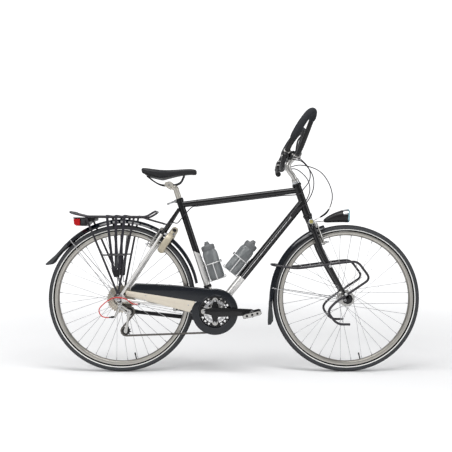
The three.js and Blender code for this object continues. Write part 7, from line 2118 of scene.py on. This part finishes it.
def hub_profile(flange, left, right, shell, cap):
    """A hub's outline from right to left: its cap, its flanges and the waist between them."""
    thick = 1.7 * MM
    return [
        (AXLE_BORE, right - 12 * MM), (cap * 0.8, right - 12 * MM), (cap, right - 9 * MM),
        (cap, right - thick),
        (flange - 1 * MM, right - thick), (flange, right - thick * 0.5), (flange, right + thick * 0.5),
        (flange - 1 * MM, right + thick), (shell * 1.2, right + thick + 1 * MM), (shell, right + 6 * MM),
        (shell * 0.86, lerp(right, left, 0.3)), (shell * 0.86, lerp(right, left, 0.7)),
        (shell, left - 6 * MM),
        (shell * 1.2, left - thick - 1 * MM), (flange - 1 * MM, left - thick), (flange, left - thick * 0.5),
        (flange, left + thick * 0.5), (flange - 1 * MM, left + thick), (cap, left + thick),
        (cap, left + 9 * MM),
        (cap * 0.8, left + 12 * MM), (AXLE_BORE, left + 12 * MM),
    ]


def make_hub(name, centre, body, flange, left, right, shell, cap):
    """A hub with turned flanges, its cap and its 36 crossed spokes."""
    shape = Shape().lathe(hub_profile(flange, left, right, shell, cap), centre, ACROSS, 0, 72, True)
    rivet = in_mm((0, 0), (2.1, 0), (1.6, 0.9), (0, 1.1))
    for i in range(SPOKES):
        level, side = (right, -1) if i % 2 == 0 else (left, 1)
        way = 1 if i // 2 % 2 == 0 else -1
        turn = TURN * (i + 0.5) / SPOKES
        rim_end = around(centre, turn, RIM_RADIUS - RIM_DEPTH - 10 * MM, side * RIM_HALF / 4)
        crossed = turn + way * math.radians(SPOKE_CROSS_DEG)
        elbow = around(centre, crossed, flange - 3.2 * MM, level + way * 2.2 * MM)
        head = elbow - ACROSS * (way * 4.6 * MM)
        radii = [ELBOW_RADIUS, ELBOW_RADIUS, SPOKE_RADIUS, SPOKE_RADIUS]
        shape.tube([head, elbow, lerp(elbow, rim_end, 0.015), rim_end], radii, 1, 8)
        shape.lathe(rivet, head, ACROSS * -way, 1, 10)
    piece(name + "_laced", shape, body, [ALLOY, STEEL], [name])


make_tyre("front_tyre", FRONT, "front_wheel", FRONT_TYRE)
make_tyre("rear_tyre", REAR, "rear_wheel", REAR_TYRE)
make_rim("front_rim", FRONT, "front_wheel", FRONT_RIM)
make_rim("rear_rim", REAR, "rear_wheel", REAR_RIM)
make_hub("front_hub_spokes", FRONT, "front_wheel", 37 * MM, 27 * MM, -27 * MM, 30 * MM, 25 * MM)
make_hub("rear_hub_spokes", REAR, "rear_wheel", 24 * MM, 33 * MM, -17 * MM, 14 * MM, 12 * MM)


# Mudguards with their wire stays

GUARD_ARCH = 18 * MM
GUARD_WIDTH = 50 * MM
GUARD_WALL = 2 * MM
GUARD_STEPS = 72
FLAP_STEPS = 16
FLAP_OVERLAP_DEG = 1.5
ARCH_STEPS = 14
GUARD_STAY_RADIUS = 1.9 * MM
END_ARCH_DEG = 55
FLAP_SIZES = [
    (0, 18 * MM, 0), (0.3, 13 * MM, 1 * MM), (0.55, 15 * MM, 6 * MM), (0.8, 23 * MM, 17 * MM),
    (0.92, 24 * MM, 24 * MM), (1, 12 * MM, 28 * MM),
]


def flap_size(share):
    """How deep the arch is and how far it stands out, at a share of the flap's length."""
    for (a, arch_a, out_a), (b, arch_b, out_b) in zip(FLAP_SIZES, FLAP_SIZES[1:]):
        if share <= b:
            t = (share - a) / (b - a)
            return lerp(arch_a, arch_b, t), lerp(out_a, out_b, t)
    return FLAP_SIZES[-1][1:]


def guard_ring(centre, radius, degrees, span, start_arch):
    """One section of a mudguard: an arch, flatter near the start and wider out along the flap."""
    start, flap_from, _, end = span
    arch, flare = flap_size(max(0.0, (degrees - flap_from) / (end - flap_from)))
    arch *= lerp(start_arch, 1, min((degrees - start) / END_ARCH_DEG, 1))
    turn = math.radians(degrees)
    outer, inner = [], []
    for k in range(ARCH_STEPS + 1):
        y = k / ARCH_STEPS - 0.5
        out = radius + flare - arch * (2 * abs(y)) ** 2.2
        outer.append(around(centre, turn, out, y * GUARD_WIDTH))
        inner.append(around(centre, turn, out - GUARD_WALL, y * (GUARD_WIDTH - 2 * GUARD_WALL)))
    return outer + inner[::-1]


def guard_stay(shape, centre, radius, turn, foot, side):
    """One wire from the guard's edge to the frame, with its clamp, its bolt and the eye at its foot."""
    edge = around(centre, turn, radius - GUARD_ARCH, side * (GUARD_WIDTH / 2 + 1 * MM))
    over = around(centre, turn, radius - GUARD_ARCH * 0.4, side * (GUARD_WIDTH / 2 + 0.8 * MM))
    end = Vector((foot[0], side * foot[1], foot[2]))
    shape.tube([over, edge, end], GUARD_STAY_RADIUS, 2, 10)
    clamp = in_mm((0, -3), (2.8, -3), (3.2, -2), (3.2, 6), (2.2, 8), (0, 8))
    shape.lathe(clamp, edge, (end - edge).normalized(), 2, 16)
    shape.bolt(edge + ACROSS * (side * 3 * MM), ACROSS * side, 2.6 * MM, 2 * MM, 2)
    shape.lathe(in_mm((3, -1), (6, -1), (6, 1), (3, 1)), end, ACROSS, 2, 20, True)


def make_guard(name, body, centre, radius, span, start_arch, bridge_deg, stay_deg, stay_foot):
    """A mudguard with a rubber flap; span has the degrees of its start, widening, rubber and end."""
    start, _, rubber_from, end = span
    shape = Shape()
    turns = [lerp(start, rubber_from, i / GUARD_STEPS) for i in range(GUARD_STEPS + 1)]
    shape.rings([guard_ring(centre, radius, turn, span, start_arch) for turn in turns])
    flap_start = rubber_from - FLAP_OVERLAP_DEG
    turns = [lerp(flap_start, end, i / FLAP_STEPS) for i in range(FLAP_STEPS + 1)]
    shape.rings([guard_ring(centre, radius + 0.6 * MM, turn, span, start_arch) for turn in turns], 1)
    turn = math.radians(lerp(flap_start, end, 0.08))
    for share in (-0.15, 0.15):
        rivet = around(centre, turn, radius - GUARD_ARCH * 0.05, share * GUARD_WIDTH)
        shape.bolt(rivet, around(Vector(), turn, 1), 2.4 * MM, 1.2 * MM, 2, False)
    for side in BOTH:
        guard_stay(shape, centre, radius, math.radians(stay_deg), stay_foot, side)
    bridge = around(centre, math.radians(bridge_deg), radius - GUARD_WALL)
    shape.bolt(bridge, (bridge - centre).normalized(), 4 * MM, 2 * MM, 2, False)
    piece(name + "_curved", shape, body, [GUARD_BLACK, GUARD_RUBBER, STEEL], [name])


make_guard("front_mudguard", "steering", FRONT, 363 * MM, (107, 172, 184, 199), 1, 104, 172,
           (0.520, 0.0581, 0.3435))
make_guard("rear_mudguard", "main_frame", REAR + mm(0, 0, 8), 367 * MM, (10, 138, 138, 157), 0.55, 60, 132,
           (-0.547, 0.0756, 0.348))


# The small machine parts stay as the frame has them; each has a material and the width of its rounded edges

KEPT_NODES = {
    "front_derailleur": (BLACK_ALLOY, 0.4), "rear_axle": (STEEL, 0.3), "front_axle": (BLACK_ALLOY, 0.3),
    "chain": (CHAIN_STEEL, 0), "cassette": (SPROCKETS, 0.2),
    "crank_right": (BLACK_ALLOY, 1.2), "crank_left": (BLACK_ALLOY, 1.2),
    "pedal_right": (BLACK_PLASTIC, 0.6), "pedal_left": (BLACK_PLASTIC, 0.6),
    "kickstand_leg": (SATIN_BLACK, 0.5), "lock_bolt": (STEEL, 0.3),
    "guide_pulley": (BLACK_PLASTIC, 0.2), "tension_pulley": (BLACK_PLASTIC, 0.2),
    "front_brake_arm_left": (ALLOY, 0.5), "front_brake_arm_right": (ALLOY, 0.5),
    "rear_brake_arm_left": (ALLOY, 0.5), "rear_brake_arm_right": (ALLOY, 0.5),
}


for node, (material, edge) in KEPT_NODES.items():
    dress(node, material, edge * MM)
